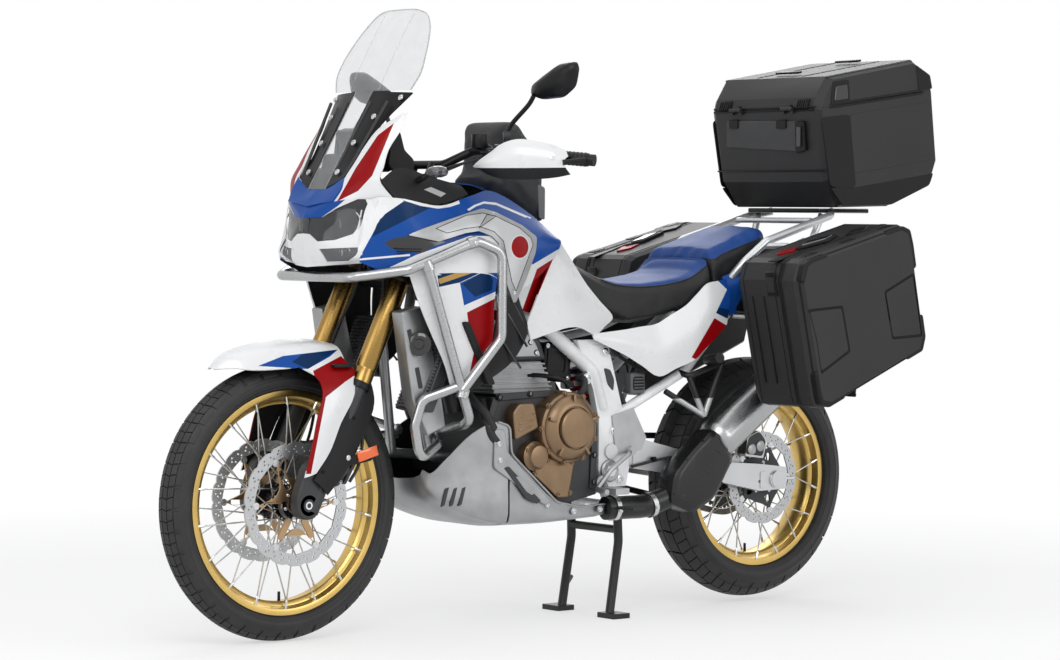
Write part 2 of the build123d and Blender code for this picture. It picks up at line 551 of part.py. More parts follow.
def radiators():
    """Radiator cores each side of the down tubes, with the shrouds behind the fairings."""
    core = side_plate([(-484, 806), (-452, 800), (-556, 570), (-588, 578)], 92, 214)
    bracket = side_plate([(-512, 700), (-470, 700), (-470, 720), (-512, 720)], 66, 100)
    shroud_rows = [  # front edge y, z, rear edge y, z, x
        (262, -392, 930, -352, 925),
        (268, -396, 850, -318, 840),
        (264, -402, 770, -290, 775),
        (254, -430, 690, -330, 700),
        (242, -475, 622, -420, 640),
    ]
    shroud = panel([[(x, y1, z1), (x + 6, (y1 + y2) / 2, (z1 + z2) / 2), (x - 8, y2, z2)]
                    for x, y1, z1, y2, z2 in shroud_rows], (-PANEL, 0, 0))
    wall = side_plate([(-500, 800), (-480, 800), (-395, 640), (-420, 640)], 200, 262)
    tank_panel = Compound(pair(panel(TANK_PANEL_COLUMNS, (-9, 0, 0))))
    keep("radiators", *cut(pair(core + [bracket]) + pair(shroud + [wall]), Compound(NODES["frame"]),
                           Compound(NODES["crash_bars"]), tank_panel))


NOSE_ROWS = [  # x, y, z from the middle outwards
    [(0, -796, 934), (60, -785, 938), (110, -760, 942), (172, -742, 946)],
    [(0, -802, 962), (62, -795, 958), (125, -772, 958), (178, -757, 963)],
    [(0, -807, 1000), (60, -802, 999), (130, -766, 1000), (176, -738, 1004)],
    [(0, -808, 1050), (30, -800, 1054), (120, -768, 1056), (182, -724, 1060)],
    [(0, -790, 1090), (95, -782, 1098), (140, -756, 1104), (190, -715, 1104)],
]
HEADLIGHT = [(27, 1052), (92, 1093), (142, 1100), (164, 1092), (152, 1012), (136, 1003), (62, 1001), (40, 1018)]
FOG_LAMP = [(62, 983), (146, 990), (132, 964), (78, 950)]


def front_bodywork():
    """Nose with its lamps, beak, screen wings, screen and cockpit."""
    def prism(outline):
        face = Plane(origin=(0, -900, 0), x_dir=(1, 0, 0), z_dir=(0, -1, 0)) * make_face(Polyline(*outline, close=True))
        return extrude(face, -300)

    grid = mirrored_rows(NOSE_ROWS)
    nose = skin(grid, pushed(grid, (0, PANEL, 0)))
    thick = skin(pushed(grid, (0, 1, 0)), pushed(grid, (0, 45, 0)))
    lamp_prisms = [prism(HEADLIGHT), prism(FOG_LAMP)]
    lamp_prisms += [other_side(solid) for solid in lamp_prisms]
    lamps = []
    for solid in lamp_prisms:
        lamps += (thick & solid).solids()
        nose = nose - solid
    lamps_solids = lamps

    beak_rows = [
        [(0, -796, 1092), (50, -793, 1096), (93, -790, 1101)],
        [(0, -782, 1110), (42, -778, 1114), (105, -768, 1130)],
        [(0, -768, 1127), (38, -764, 1130), (100, -752, 1158)],
    ]
    beak = panel(mirrored_rows(beak_rows), (0, PANEL, 2))
    wing_rows = [  # front edge, ridge, rear edge
        [(95, -781, 1104), (150, -742, 1110), (205, -675, 1110)],
        [(102, -752, 1158), (150, -740, 1150), (188, -708, 1152)],
        [(106, -726, 1195), (150, -716, 1192), (180, -690, 1186)],
        [(113, -700, 1237), (148, -690, 1234), (170, -668, 1228)],
        [(124, -666, 1281), (152, -656, 1279), (172, -634, 1276)],
        [(170, -622, 1320), (173, -618, 1321), (176, -612, 1322)],
    ]
    wing = panel(wing_rows, (-2, PANEL, 0))
    keep("front_cowl", *nose.solids(), *cut(pair(wing) + beak.solids(), nose))

    # Screen: rows of z, y on the middle line, half width, sweep back at the edge.
    screen_rows = [
        (1128, -770, 37, 2), (1200, -728, 37, 2), (1288, -675, 37, 2), (1378, -622, 38, 2),
        (1385, -622, 168, 32), (1420, -604, 180, 26), (1465, -580, 174, 22), (1510, -555, 158, 20),
        (1548, -533, 136, 18), (1575, -516, 108, 12), (1592, -505, 72, 6),
    ]
    grid = []
    for z, y, half, sweep_back in screen_rows:
        grid.append([(half * share, y + sweep_back * share * share, z) for share in (-1, -0.5, 0, 0.5, 1)])
    screen = panel(grid, (0, 4, 0))
    keep("windscreen", *cut(screen.solids(), Compound(NODES["front_cowl"])))

    surround_rows = [  # beside the screen's foot, then beside the wing
        [(39, -766, 1132), (70, -760, 1145), (98, -750, 1162)],
        [(39, -726, 1200), (74, -722, 1200), (103, -712, 1204)],
        [(39, -675, 1288), (80, -670, 1288), (118, -655, 1292)],
        [(39, -622, 1378), (100, -612, 1376), (160, -588, 1374)],
    ]
    surround = panel(surround_rows, (0, 8, 0))
    trim_rows = [
        [(186, -706, 1150), (198, -690, 1130), (204, -674, 1112)],
        [(176, -640, 1184), (196, -620, 1140), (212, -600, 1102)],
        [(176, -540, 1162), (198, -540, 1130), (212, -541, 1094)],
        [(168, -440, 1142), (184, -438, 1130), (194, -436, 1119)],
    ]
    trim = panel(trim_rows, (-PANEL, 0, 0))
    plane = Plane(origin=(0, -598, 1236), x_dir=(1, 0, 0), z_dir=(0, 0.93, 0.36))
    display = extrude(plane * Rectangle(176, 112), -34)
    column = Pos(0, -672, 1190) * Box(120, 100, 60)
    beam = Pos(0, -712, 1172) * Box(190, 24, 22)
    keep("cockpit", *cut(pair(surround) + pair(trim) + (display + [column, beam]).solids(),
                         Compound(NODES["front_cowl"]), Compound(NODES["windscreen"])))
    return lamps_solids


def make_indicator(x, y, z, root_x, root_y, root_z):
    """Turn signal on its stalk."""
    body = pillow([(y - 20, z - 12), (y + 16, z - 16), (y + 22, z), (y + 16, z + 16), (y - 20, z + 12)],
                  [(x - 30, 0.7), (x - 18, 1.0), (x + 18, 1.0), (x + 30, 0.7)])
    return body + rod((root_x, root_y, root_z), (x - 25, y, z), 7)


FAIRING_COLUMNS = [  # top, bulge, bottom of the upper fairing, front to rear
    [(160, -752, 1006), (172, -762, 975), (174, -756, 948)],
    [(176, -726, 1103), (192, -722, 1012), (192, -706, 928)],
    [(208, -668, 1108), (224, -665, 1010), (226, -652, 914)],
    [(215, -541, 1090), (254, -545, 1010), (256, -545, 918)],
    [(196, -428, 1116), (264, -430, 1018), (268, -425, 918)],
    [(160, -331, 1128), (254, -330, 1010), (266, -338, 880)],
    [(164, -215, 1074), (226, -222, 1000), (228, -240, 905)],
    [(152, -118, 1014), (176, -116, 1000), (186, -150, 950)],
]


def side_bodywork():
    """Fairings, silver tank panels, knee panels, side covers, tank and tail."""
    tank_panel = panel(TANK_PANEL_COLUMNS, (-9, 0, 0))
    keep("tank_panels", *pair(tank_panel))
    upper = panel(FAIRING_COLUMNS, (-PANEL, 0, 0))
    lower_rows = [  # front edge, middle, rear edge
        [(228, -644, 912), (258, -540, 916), (270, -397, 916)],
        [(232, -616, 845), (254, -520, 850), (266, -405, 850)],
        [(235, -585, 780), (250, -500, 775), (262, -412, 740)],
        [(240, -540, 690), (246, -500, 680), (250, -470, 668)],
        [(238, -522, 640), (240, -512, 630), (242, -504, 622)],
    ]
    lower = panel(lower_rows, (-PANEL, 0, 0))
    others = [Compound(NODES[name]) for name in ("tank_panels", "front_cowl", "cockpit", "radiators")]
    fairing = upper + lower
    keep("side_fairings", *cut(pair(fairing), *others))

    # Fuel tank: half outlines of x, z with a tunnel for the frame's spars.
    tank_rows = [
        (-340, [(0, 1152), (100, 1144), (150, 1122), (196, 1010), (196, 850), (150, 846), (140, 930), (0, 936)]),
        (-215, [(0, 1107), (96, 1100), (148, 1066), (190, 990), (188, 815), (150, 812), (140, 880), (0, 886)]),
        (-108, [(0, 1037), (78, 1031), (136, 1004), (150, 940), (150, 818), (146, 814), (134, 850), (0, 856)]),
        (-56, [(0, 1008), (68, 1000), (108, 980), (132, 900), (134, 818), (132, 814), (126, 836), (0, 842)]),
    ]
    tank = along(tank_rows)
    keep("fuel_tank", *cut(tank.solids(), *[Compound(NODES[n]) for n in ("side_fairings", "frame")]))

    knee_rows = [
        [(196, -168, 948), (176, -138, 980), (150, -98, 1000)],
        [(208, -214, 870), (186, -100, 880), (152, -10, 890)],
        [(211, -254, 790), (188, -95, 800), (150, 84, 800)],
        [(208, -240, 748), (184, -72, 778), (160, 20, 752)],
    ]
    knee = panel(knee_rows, (-PANEL, 0, 0))
    cover_columns = [  # top, bulge, bottom
        [(160, 6, 758), (164, 6, 752), (165, 8, 744)],
        [(166, 112, 768), (178, 110, 735), (174, 110, 700)],
        [(168, 222, 782), (188, 224, 712), (180, 222, 642)],
        [(174, 320, 830), (194, 330, 752), (190, 338, 684)],
        [(178, 392, 888), (196, 400, 820), (190, 398, 762)],
        [(176, 462, 900), (192, 462, 868), (188, 466, 838)],
    ]
    cover = panel(cover_columns, (-PANEL, 0, 0))
    taken = [Compound(NODES[name]) for name in ("fuel_tank", "side_fairings", "frame")]
    keep("side_covers", *cut(pair(knee) + pair(cover), *taken))

    tail_columns = [
        [(150, 470, 905), (178, 470, 868), (178, 474, 800)],
        [(146, 640, 960), (166, 640, 920), (160, 640, 860)],
        [(120, 800, 1012), (140, 800, 970), (130, 800, 920)],
    ]
    tail_side = panel(tail_columns, (-PANEL, 0, 0))
    arch = [(415, 690), (500, 778), (640, 838), (800, 868), (905, 838), (980, 700), (1040, 560)]
    under = side_plate(arch + [(y + 3, z + 6) for y, z in reversed(arch)], -88, 88)
    tail_end = pillow([(800, 880), (900, 850), (930, 900), (905, 985), (800, 1000)], [(-112, 0.85), (-80, 1), (80, 1), (112, 0.85)])
    stays = pair(side_plate([(470, 808), (560, 838), (560, 862), (470, 862)], 88, 176))
    plate_plane = Plane(origin=(0, 1012, 652), x_dir=(1, 0, 0), z_dir=(0, 0.905, 0.425))
    plate = extrude(plate_plane * Rectangle(PLATE_WIDTH, PLATE_HEIGHT), 5)
    for side in (-1, 1):
        hole = plate_plane * Pos(side * PLATE_HOLE_SPACING / 2, 0) * Circle(PLATE_HOLE_RADIUS)
        plate = plate - extrude(hole, 40, both=True)
        under = under - extrude(hole, 60, both=True)
    keep("tail", *cut((under + [tail_end, *stays, *pair(tail_side), plate]).solids(), Compound(NODES["frame"])))


def seats():
    """Rider's seat, passenger's seat and the tank bag: half outlines of x, z at each y."""
    rider = [
        (-52, [(0, 998), (52, 992), (70, 976), (72, 962), (0, 962)]),
        (20, [(0, 952), (66, 946), (98, 918), (112, 850), (0, 850)]),
        (140, [(0, 894), (112, 890), (148, 862), (158, 782), (0, 782)]),
        (290, [(0, 902), (134, 898), (164, 868), (166, 808), (0, 812)]),
        (395, [(0, 924), (138, 920), (164, 892), (168, 838), (0, 842)]),
        (436, [(0, 972), (126, 966), (150, 930), (158, 862), (0, 866)]),
    ]
    keep("rider_seat", *cut(along(rider).solids(), *[Compound(NODES[n]) for n in ("fuel_tank", "frame", "side_covers")]))
    pillion = [
        (440, [(0, 978), (124, 972), (148, 936), (156, 872), (0, 872)]),
        (520, [(0, 1004), (126, 998), (144, 966), (150, 905), (0, 905)]),
        (640, [(0, 1044), (112, 1038), (128, 1010), (130, 970), (0, 950)]),
        (690, [(0, 1050), (80, 1042), (98, 1020), (100, 985), (0, 966)]),
    ]
    keep("pillion_seat", *cut(along(pillion).solids(), *[Compound(NODES[n]) for n in ("frame", "side_covers", "tail")]))
    bag = [(-296, 1144), (-262, 1180), (-254, 1240), (-246, 1300), (-226, 1320), (-184, 1318), (-112, 1244), (-90, 1172),
           (-88, 1026), (-112, 1044), (-215, 1112)]
    keep("tank_bag", *cut(pillow(bag, [(-88, 0.88), (-72, 1), (72, 1), (88, 0.88)]).solids(), Compound(NODES["fuel_tank"])))


def exhaust():
    """Headers, link pipe, collector box and silencer."""
    header = tube([(46, -330, 714), (46, -386, 660), (46, -386, 344), (62, -330, 298), (122, -240, 298), (122, 66, 298)], 16, 30)
    second = tube([(-46, -330, 714), (-46, -386, 660), (-46, -386, 352), (-20, -352, 304), (64, -330, 298)], 16, 22)
    link = tube([(150, 58, 297), (158, 200, 297), (172, 300, 335), (172, 400, 430)], 32, 60)
    box = pillow([(240, 300), (322, 268), (404, 306), (478, 420), (398, 506), (318, 444), (252, 380)],
                 [(133, 0.82), (146, 1), (198, 1), (214, 0.82)])
    front, rear = Vector(166, 425, 455), Vector(166, 712, 656)
    direction = (rear - front).normalized()
    can = rod(tuple(front), tuple(rear), 57)
    tip = rod(tuple(rear), tuple(rear + direction * 26), 24)
    ring = rod(tuple(front), tuple(front + direction * 22), 59)
    can = can - rod(tuple(rear - direction * 30), tuple(rear + direction * 60), 20)
    tip = tip - rod(tuple(rear - direction * 30), tuple(rear + direction * 60), 20)
    keep("exhaust", *cut((header + [second, link, box]).solids(), Compound(NODES["cylinder_head"]), can, ring))
    keep("muffler", can + [tip, ring])


def rear_end():
    """Swingarm with axle, shock and caliper, chain, foot controls and stands."""
    left = across([
        (112, [(54, 408), (54, 478), (200, 480), (200, 396)]),
        (80, [(54, 408), (54, 478), (200, 480), (200, 396)]),
    ])
    arm_left = [  # y, x inner, x outer, z low, z high
        (190, 82, 114, 396, 480), (345, 90, 122, 372, 440), (500, 93, 125, 345, 400),
        (REAR_AXLE_Y - 60, 93, 125, REAR_AXLE_Z - 30, REAR_AXLE_Z + 44), (REAR_AXLE_Y + 40, 93, 125, REAR_AXLE_Z - 28, REAR_AXLE_Z + 32),
    ]
    arm_right = [
        (60, -84, -60, 414, 470), (205, -84, -60, 394, 446), (345, -143, -114, 366, 438), (500, -143, -114, 340, 410),
        (REAR_AXLE_Y - 60, -143, -114, REAR_AXLE_Z - 30, REAR_AXLE_Z + 44), (REAR_AXLE_Y + 40, -143, -114, REAR_AXLE_Z - 28, REAR_AXLE_Z + 32),
    ]

    def arm(rows):
        faces = []
        for y, x1, x2, z1, z2 in rows:
            plane = Plane(origin=(0, y, 0), x_dir=(1, 0, 0), z_dir=(0, -1, 0))
            faces.append(plane * make_face(Polyline((x1, z1), (x2, z1), (x2, z2), (x1, z2), close=True)))
        return loft(faces, ruled=True)

    boss = rod((-84, PIVOT_Y, PIVOT_Z), (116, PIVOT_Y, PIVOT_Z), 32)
    brace = Pos(12, 204, 420) * Box(150, 40, 44)
    bolt = rod((-150, PIVOT_Y, PIVOT_Z), (150, PIVOT_Y, PIVOT_Z), 12)
    axle = rod((-152, REAR_AXLE_Y, REAR_AXLE_Z), (134, REAR_AXLE_Y, REAR_AXLE_Z), AXLE_RADIUS)
    caps = [rod((125, REAR_AXLE_Y, REAR_AXLE_Z), (134, REAR_AXLE_Y, REAR_AXLE_Z), 22),
            rod((-152, REAR_AXLE_Y, REAR_AXLE_Z), (-143, REAR_AXLE_Y, REAR_AXLE_Z), 22),
            rod((142, PIVOT_Y, PIVOT_Z), (150, PIVOT_Y, PIVOT_Z), 20), rod((-150, PIVOT_Y, PIVOT_Z), (-142, PIVOT_Y, PIVOT_Z), 20)]
    shock = rod((0, 204, 430), (0, 92, 676), 30)
    caliper = side_plate([(610, 410), (676, 402), (690, 450), (660, 478), (618, 462)], 54, 98)
    disc_room = turned([(REAR_DISC_X - DISC_THICKNESS / 2 - DISC_GAP, 0), (REAR_DISC_X + DISC_THICKNESS / 2 + DISC_GAP, 0),
                        (REAR_DISC_X + DISC_THICKNESS / 2 + DISC_GAP, REAR_DISC_RADIUS + DISC_GAP),
                        (REAR_DISC_X - DISC_THICKNESS / 2 - DISC_GAP, REAR_DISC_RADIUS + DISC_GAP)],
                       REAR_AXLE_Y, REAR_AXLE_Z)
    caliper = caliper - disc_room
    # Paddock stand bobbins, threaded into the arms' undersides' outer faces.
    whole = left + [arm(arm_left), arm(arm_right), boss, brace, bolt, axle, *caps, shock, caliper]
    for x_face, inward in ((125, -1), (-143, 1)):
        whole = whole - rod((x_face, REAR_AXLE_Y - 62, REAR_AXLE_Z - 4), (x_face + inward * 22, REAR_AXLE_Y - 62, REAR_AXLE_Z - 4), 4.0)
    keep("swingarm", *cut(whole.solids(), Compound(NODES["frame"])))

    def loop(grow):
        rings = [Pos(FRONT_SPROCKET_Y, FRONT_SPROCKET_Z) * Circle(FRONT_SPROCKET_RADIUS + grow),
                 Pos(REAR_AXLE_Y, REAR_AXLE_Z) * Circle(SPROCKET_RADIUS + grow)]
        return make_hull([edge for ring in rings for edge in ring.edges()])

    ring = loop(CHAIN_HALF_HEIGHT) - loop(-CHAIN_HALF_HEIGHT)
    chain = extrude(Plane.YZ.offset(CHAIN_X - CHAIN_WIDTH / 2) * ring, CHAIN_WIDTH)
    keep("chain", *cut(chain.solids(), Compound(NODES["engine"]), Compound(NODES["swingarm"]), Compound(NODES["frame"])))

    peg_left = [rod((142, 52, 366), (150, 52, 366), 18), rod((150, 54, 366), (172, 46, 350), 10), Pos(207, 44, 348) * Box(72, 46, 16)]
    heel = side_plate([(96, 470), (88, 540), (160, 560), (206, 480), (190, 446), (104, 436)], 142, 148)
    left_peg = peg_left[0] + [peg_left[1], peg_left[2], heel]
    pillion_bracket = tube([(146, 322, 650), (176, 330, 640), (176, 452, 676)], 8, 14) + [
        rod((176, 452, 676), (176, 385, 532), 8), rod((176, 385, 532), (150, 270, 600), 8),
        rod((176, 330, 640), (176, 385, 532), 8), rod((170, 400, 682), (232, 392, 690), 14)]
    pedal = tube([(148, 150, 446), (166, 132, 440), (176, 60, 400), (182, 8, 352)], 6, 14) + [
        rod((182, 8, 352), (232, 0, 348), 7), rod((142, 150, 446), (160, 150, 446), 12)]
    shift = tube([(-148, 70, 380), (-168, 40, 372), (-172, -90, 380)], 6, 14) + [
        rod((-172, -90, 380), (-222, -92, 384), 8), rod((-142, 70, 380), (-156, 70, 380), 10)]
    pieces = left_peg.solids() + other_side(left_peg).solids() + pair(pillion_bracket) + pedal.solids() + shift.solids()
    merged = pieces[0] + pieces[1:]
    taken = [Compound(NODES[n]) for n in ("frame", "swingarm", "engine", "side_covers", "muffler")]
    keep("foot_controls", *cut(merged.solids(), *taken))


def stands():
    """Centre stand, down, and side stand, folded back."""
    foot_y = STAND_PIVOT_Y - 26
    half = []
    for side in (-1, 1):
        half.append(rod((side * 80, STAND_PIVOT_Y, STAND_PIVOT_Z), (side * 108, STAND_PIVOT_Y, STAND_PIVOT_Z), 18))
        half.append(tube([(side * 96, STAND_PIVOT_Y, STAND_PIVOT_Z), (side * 98, STAND_PIVOT_Y + 4, 200), (side * 100, foot_y, 12)], 12, 80))
        half.append(Pos(side * 116, foot_y, 7) * Box(68, 56, 14))
    half.append(rod((-97, STAND_PIVOT_Y + 2, 232), (97, STAND_PIVOT_Y + 2, 232), 11))
    half.append(tube([(-100, foot_y + 8, 60), (-120, foot_y + 30, 66), (-138, foot_y + 62, 84)], 7, 12))
    whole = half[0] + half[1:]
    whole = whole - rod((-200, STAND_PIVOT_Y, STAND_PIVOT_Z), (200, STAND_PIVOT_Y, STAND_PIVOT_Z), STAND_PIN_RADIUS + RUNNING_GAP)
    keep("centre_stand", whole)

    centre, axis = Vector(*SIDE_STAND_PIVOT), Vector(*SIDE_STAND_AXIS)
    eye = rod(tuple(centre + axis * 8), tuple(centre - axis * 8), 15)
    leg = tube([SIDE_STAND_PIVOT, (-165, 190, 303), (-167, 344, 322)], 11, 120)
    pad = Pos(-169, 348, 322) * Box(12, 52, 44)
    spur = rod((-166, 250, 310), (-194, 268, 312), 6)
    whole = eye + [leg, pad, spur]
    whole = whole - rod(tuple(centre + axis * 40), tuple(centre - axis * 40), 7 + RUNNING_GAP)
    keep("side_stand", whole)


# ---------------------------------------------------------------- luggage
SIDE_CASE = [(448, 900), (462, 946), (482, 958), (832, 1050), (860, 1040), (873, 1000), (925, 745), (914, 706), (560, 560),
             (528, 566), (518, 592)]
SIDE_CASE_X = [(230, 0.95), (248, 1.0), (452, 1.0), (480, 0.93)]  # x, share of the outline
SIDE_SEAM_X = 400.0
TOP_CASE = [(845, 1095), (792, 1165), (754, 1365), (762, 1396), (800, 1455), (1128, 1512), (1192, 1474), (1203, 1429),
            (1226, 1226), (1200, 1160), (1040, 1100)]
TOP_CASE_X = [(-222, 0.94), (-200, 1.0), (200, 1.0), (222, 0.94)]
TOP_SEAM = ((754.0, 1365.0), (1203.0, 1429.0))
TOP_HINGE_X = 105.0


HINGE_RADIUS, HINGE_PIN_RADIUS, HINGE_HALF = 6.0, 2.5, 12.0
HINGE_OUT = 8.0  # hinge axis from the case's wall
HINGE_SINK = 1.5  # how deep the lugs enter the wall


def make_hinge(plane):
    """Knuckles of one hinge. The plane's x is the axis, its y leads to the lid's side of the seam, its z to the wall."""
    lug_end = HINGE_HALF + CASE_GAP + 10
    reach = HINGE_OUT + HINGE_SINK
    lid = Cylinder(HINGE_RADIUS, 2 * HINGE_HALF, rotation=(0, 90, 0)) + [
        Pos(0, HINGE_RADIUS, reach / 2) * Box(2 * HINGE_HALF, 2 * HINGE_RADIUS, reach)]
    lid = lid - Cylinder(HINGE_PIN_RADIUS + RUNNING_GAP, 4 * lug_end, rotation=(0, 90, 0))
    fixed = Cylinder(HINGE_PIN_RADIUS, 2 * lug_end, rotation=(0, 90, 0))
    for side in (-1, 1):
        middle = side * (HINGE_HALF + CASE_GAP + 5)
        fixed = fixed + [Pos(middle, 0, 0) * Cylinder(HINGE_RADIUS, 10, rotation=(0, 90, 0)),
                         Pos(middle, -HINGE_RADIUS, reach / 2) * Box(10, 2 * HINGE_RADIUS, reach)]
    return plane * fixed, plane * lid


def luggage():
    """Carrier, hollow cases and their lids."""
    inner_share = 0.972
    outer = pillow(SIDE_CASE, SIDE_CASE_X)
    hollow = pillow(SIDE_CASE, [(230 + CASE_WALL, 0.95 * inner_share), (248 + CASE_WALL, inner_share),
                                (452 - CASE_WALL, inner_share), (480 - CASE_WALL, 0.93 * inner_share)])
    shell = outer - hollow
    base = split(shell, bisect_by=Plane.YZ.offset(SIDE_SEAM_X), keep=Keep.BOTTOM)
    lid = split(shell, bisect_by=Plane.YZ.offset(SIDE_SEAM_X + CASE_GAP), keep=Keep.TOP)
    (y1, z1), (y2, z2) = SIDE_CASE[8], SIDE_CASE[7]
    slope = math.atan2(z2 - z1, y2 - y1)
    for share in (0.22, 0.78):
        y, z = y1 + (y2 - y1) * share, z1 + (z2 - z1) * share
        origin = (SIDE_SEAM_X + CASE_GAP / 2, y + HINGE_OUT * math.sin(slope), z - HINGE_OUT * math.cos(slope))
        plane = Plane(origin=origin, x_dir=(0, -math.cos(slope), -math.sin(slope)), z_dir=(0, -math.sin(slope), math.cos(slope)))
        fixed, moving = make_hinge(plane)
        base, lid = base + fixed, lid + moving
    keep("side_cases", *pair(base))
    keep("left_lid", lid)
    keep("right_lid", other_side(lid))

    outer = pillow(TOP_CASE, TOP_CASE_X)
    hollow = pillow(scaled(TOP_CASE, inner_share), [(x - math.copysign(CASE_WALL, x), share) for x, share in TOP_CASE_X])
    shell = outer - hollow
    (y1, z1), (y2, z2) = TOP_SEAM
    slope = math.atan2(z2 - z1, y2 - y1)
    normal = (0, -math.sin(slope), math.cos(slope))
    base = split(shell, bisect_by=Plane(origin=(0, y1, z1), x_dir=(1, 0, 0), z_dir=normal), keep=Keep.BOTTOM)
    lid = split(shell, bisect_by=Plane(origin=(0, y1, z1 + CASE_GAP), x_dir=(1, 0, 0), z_dir=normal), keep=Keep.TOP)
    for x in (-TOP_HINGE_X, TOP_HINGE_X):
        plane = Plane(origin=(x, y1 - HINGE_OUT, z1 + CASE_GAP / 2), x_dir=(-1, 0, 0), z_dir=(0, 1, 0))
        fixed, moving = make_hinge(plane)
        base, lid = base + fixed, lid + moving
    keep("top_case", base)
    keep("top_lid", lid)

    rail = tube([(150, 500, 900), (166, 540, 948), (174, 612, 1002), (160, 862, 1072), (120, 905, 1084)], 11, 26)
    hanger = tube([(172, 600, 988), (212, 660, 990), (212, 760, 830), (212, 640, 790), (140, 520, 800)], 8, 18)
    pucks = [rod((206, 700, 920), (230, 700, 920), 12), rod((206, 690, 806), (230, 690, 806), 12)]
    stay = tube([(105, 780, 945), (120, 830, 1000), (130, 860, 1076)], 10, 20)
    bed = Pos(0, 930, 1086) * Box(290, 190, 12)
    front_bar = rod((-150, 800, 1058), (150, 800, 1058), 8)
    whole = bed + [front_bar]
    for solid in [rail, hanger, stay, *pucks]:
        whole = whole + pair(solid)
    taken = [Compound(NODES[n]) for n in ("frame", "tail", "side_covers", "pillion_seat", "side_cases", "top_case", "foot_controls")]
    keep("luggage_carrier", *cut(whole.solids(), *taken))


def lamps_node(front_lamps):
    """Headlights, fog lamps, turn signals and tail lamp."""
    front = make_indicator(262, -585, 1174, 196, -600, 1152)
    rear = make_indicator(170, 915, 905, 100, 900, 905)
    tail_lamp = Pos(0, 930, 925) * Box(130, 26, 46)
    taken = [Compound(NODES[n]) for n in ("cockpit", "tail", "front_cowl", "luggage_carrier")]
    keep("lamps", *front_lamps, *cut(pair(front) + pair(rear) + tail_lamp.solids(), *taken))


wheels()
fork()
controls()
frame()
engine()
skid_plate()
crash_bars()
radiators()
front_lamps = front_bodywork()
side_bodywork()
seats()
exhaust()
rear_end()
stands()
luggage()
lamps_node(front_lamps)

for node, solids in NODES.items():
    export_step(Compound(solids), f"parts/{node}.step")
print(len(NODES), "nodes")
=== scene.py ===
import math

import bmesh
import bpy
from mathutils import Matrix, Vector


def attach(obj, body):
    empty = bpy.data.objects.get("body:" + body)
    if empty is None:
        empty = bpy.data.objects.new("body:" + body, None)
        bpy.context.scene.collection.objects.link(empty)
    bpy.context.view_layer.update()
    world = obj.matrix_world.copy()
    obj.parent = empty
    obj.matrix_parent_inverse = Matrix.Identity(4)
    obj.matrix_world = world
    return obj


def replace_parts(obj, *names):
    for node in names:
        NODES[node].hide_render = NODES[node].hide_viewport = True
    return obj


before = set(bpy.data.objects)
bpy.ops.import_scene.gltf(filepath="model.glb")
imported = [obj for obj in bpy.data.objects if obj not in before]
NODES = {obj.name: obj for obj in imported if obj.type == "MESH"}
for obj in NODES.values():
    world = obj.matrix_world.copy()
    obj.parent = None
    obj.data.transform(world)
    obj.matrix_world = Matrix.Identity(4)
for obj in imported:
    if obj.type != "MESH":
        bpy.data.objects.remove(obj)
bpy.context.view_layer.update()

# Shapes are in millimetres in the shared frame, until Piece.make() turns them into metres.
MM = 0.001
FRONT_AXLE, REAR_AXLE = Vector((0, -875, 347.5)), Vector((0, 700, 345))
RAKE = math.radians(25.5)
FORK_SPREAD, FORK_OFFSET, TRAIL = 111, 26.6, 113


# ---------------------------------------------------------------- camera
CAMERA_AZIMUTH, CAMERA_ELEVATION, CAMERA_ROLL = (math.radians(a) for a in (51.116, 1.975, 0.431))
CAMERA_TARGET, CAMERA_DISTANCE = Vector((0, -74.98, 764.65)), 8958.54
CAMERA_FOCAL = 3392.73  # pixels
SENSOR_WIDTH, CLIP_END = 36, 100
PHOTO_WIDTH, PHOTO_HEIGHT = 1060, 660

BACK = Vector((math.sin(CAMERA_AZIMUTH) * math.cos(CAMERA_ELEVATION),
               -math.cos(CAMERA_AZIMUTH) * math.cos(CAMERA_ELEVATION), math.sin(CAMERA_ELEVATION)))
_right = (-BACK).cross(Vector((0, 0, 1))).normalized()
_up = _right.cross(-BACK)
RIGHT = _right * math.cos(CAMERA_ROLL) + _up * math.sin(CAMERA_ROLL)
UP = _up * math.cos(CAMERA_ROLL) - _right * math.sin(CAMERA_ROLL)
EYE = CAMERA_TARGET + BACK * CAMERA_DISTANCE


def ray(u, v):
    """Direction from the camera through a point of the 1060 x 660 picture."""
    return (RIGHT * (u - PHOTO_WIDTH / 2) + UP * (PHOTO_HEIGHT / 2 - v)) / CAMERA_FOCAL - BACK


def seen(point):
    """Where a point lies in the 1060 x 660 picture."""
    d = Vector(point) - EYE
    depth = -d.dot(BACK)
    u = PHOTO_WIDTH / 2 + CAMERA_FOCAL * d.dot(RIGHT) / depth
    v = PHOTO_HEIGHT / 2 - CAMERA_FOCAL * d.dot(UP) / depth
    return u, v


def add_camera():
    data = bpy.data.cameras.new("camera")
    data.lens, data.sensor_width = CAMERA_FOCAL * SENSOR_WIDTH / PHOTO_WIDTH, SENSOR_WIDTH
    data.clip_end = CLIP_END
    camera = bpy.data.objects.new("camera", data)
    turn = Matrix((RIGHT, UP, BACK)).transposed().to_4x4()
    camera.matrix_world = Matrix.Translation(EYE * MM) @ turn
    bpy.context.collection.objects.link(camera)
    bpy.context.scene.camera = camera


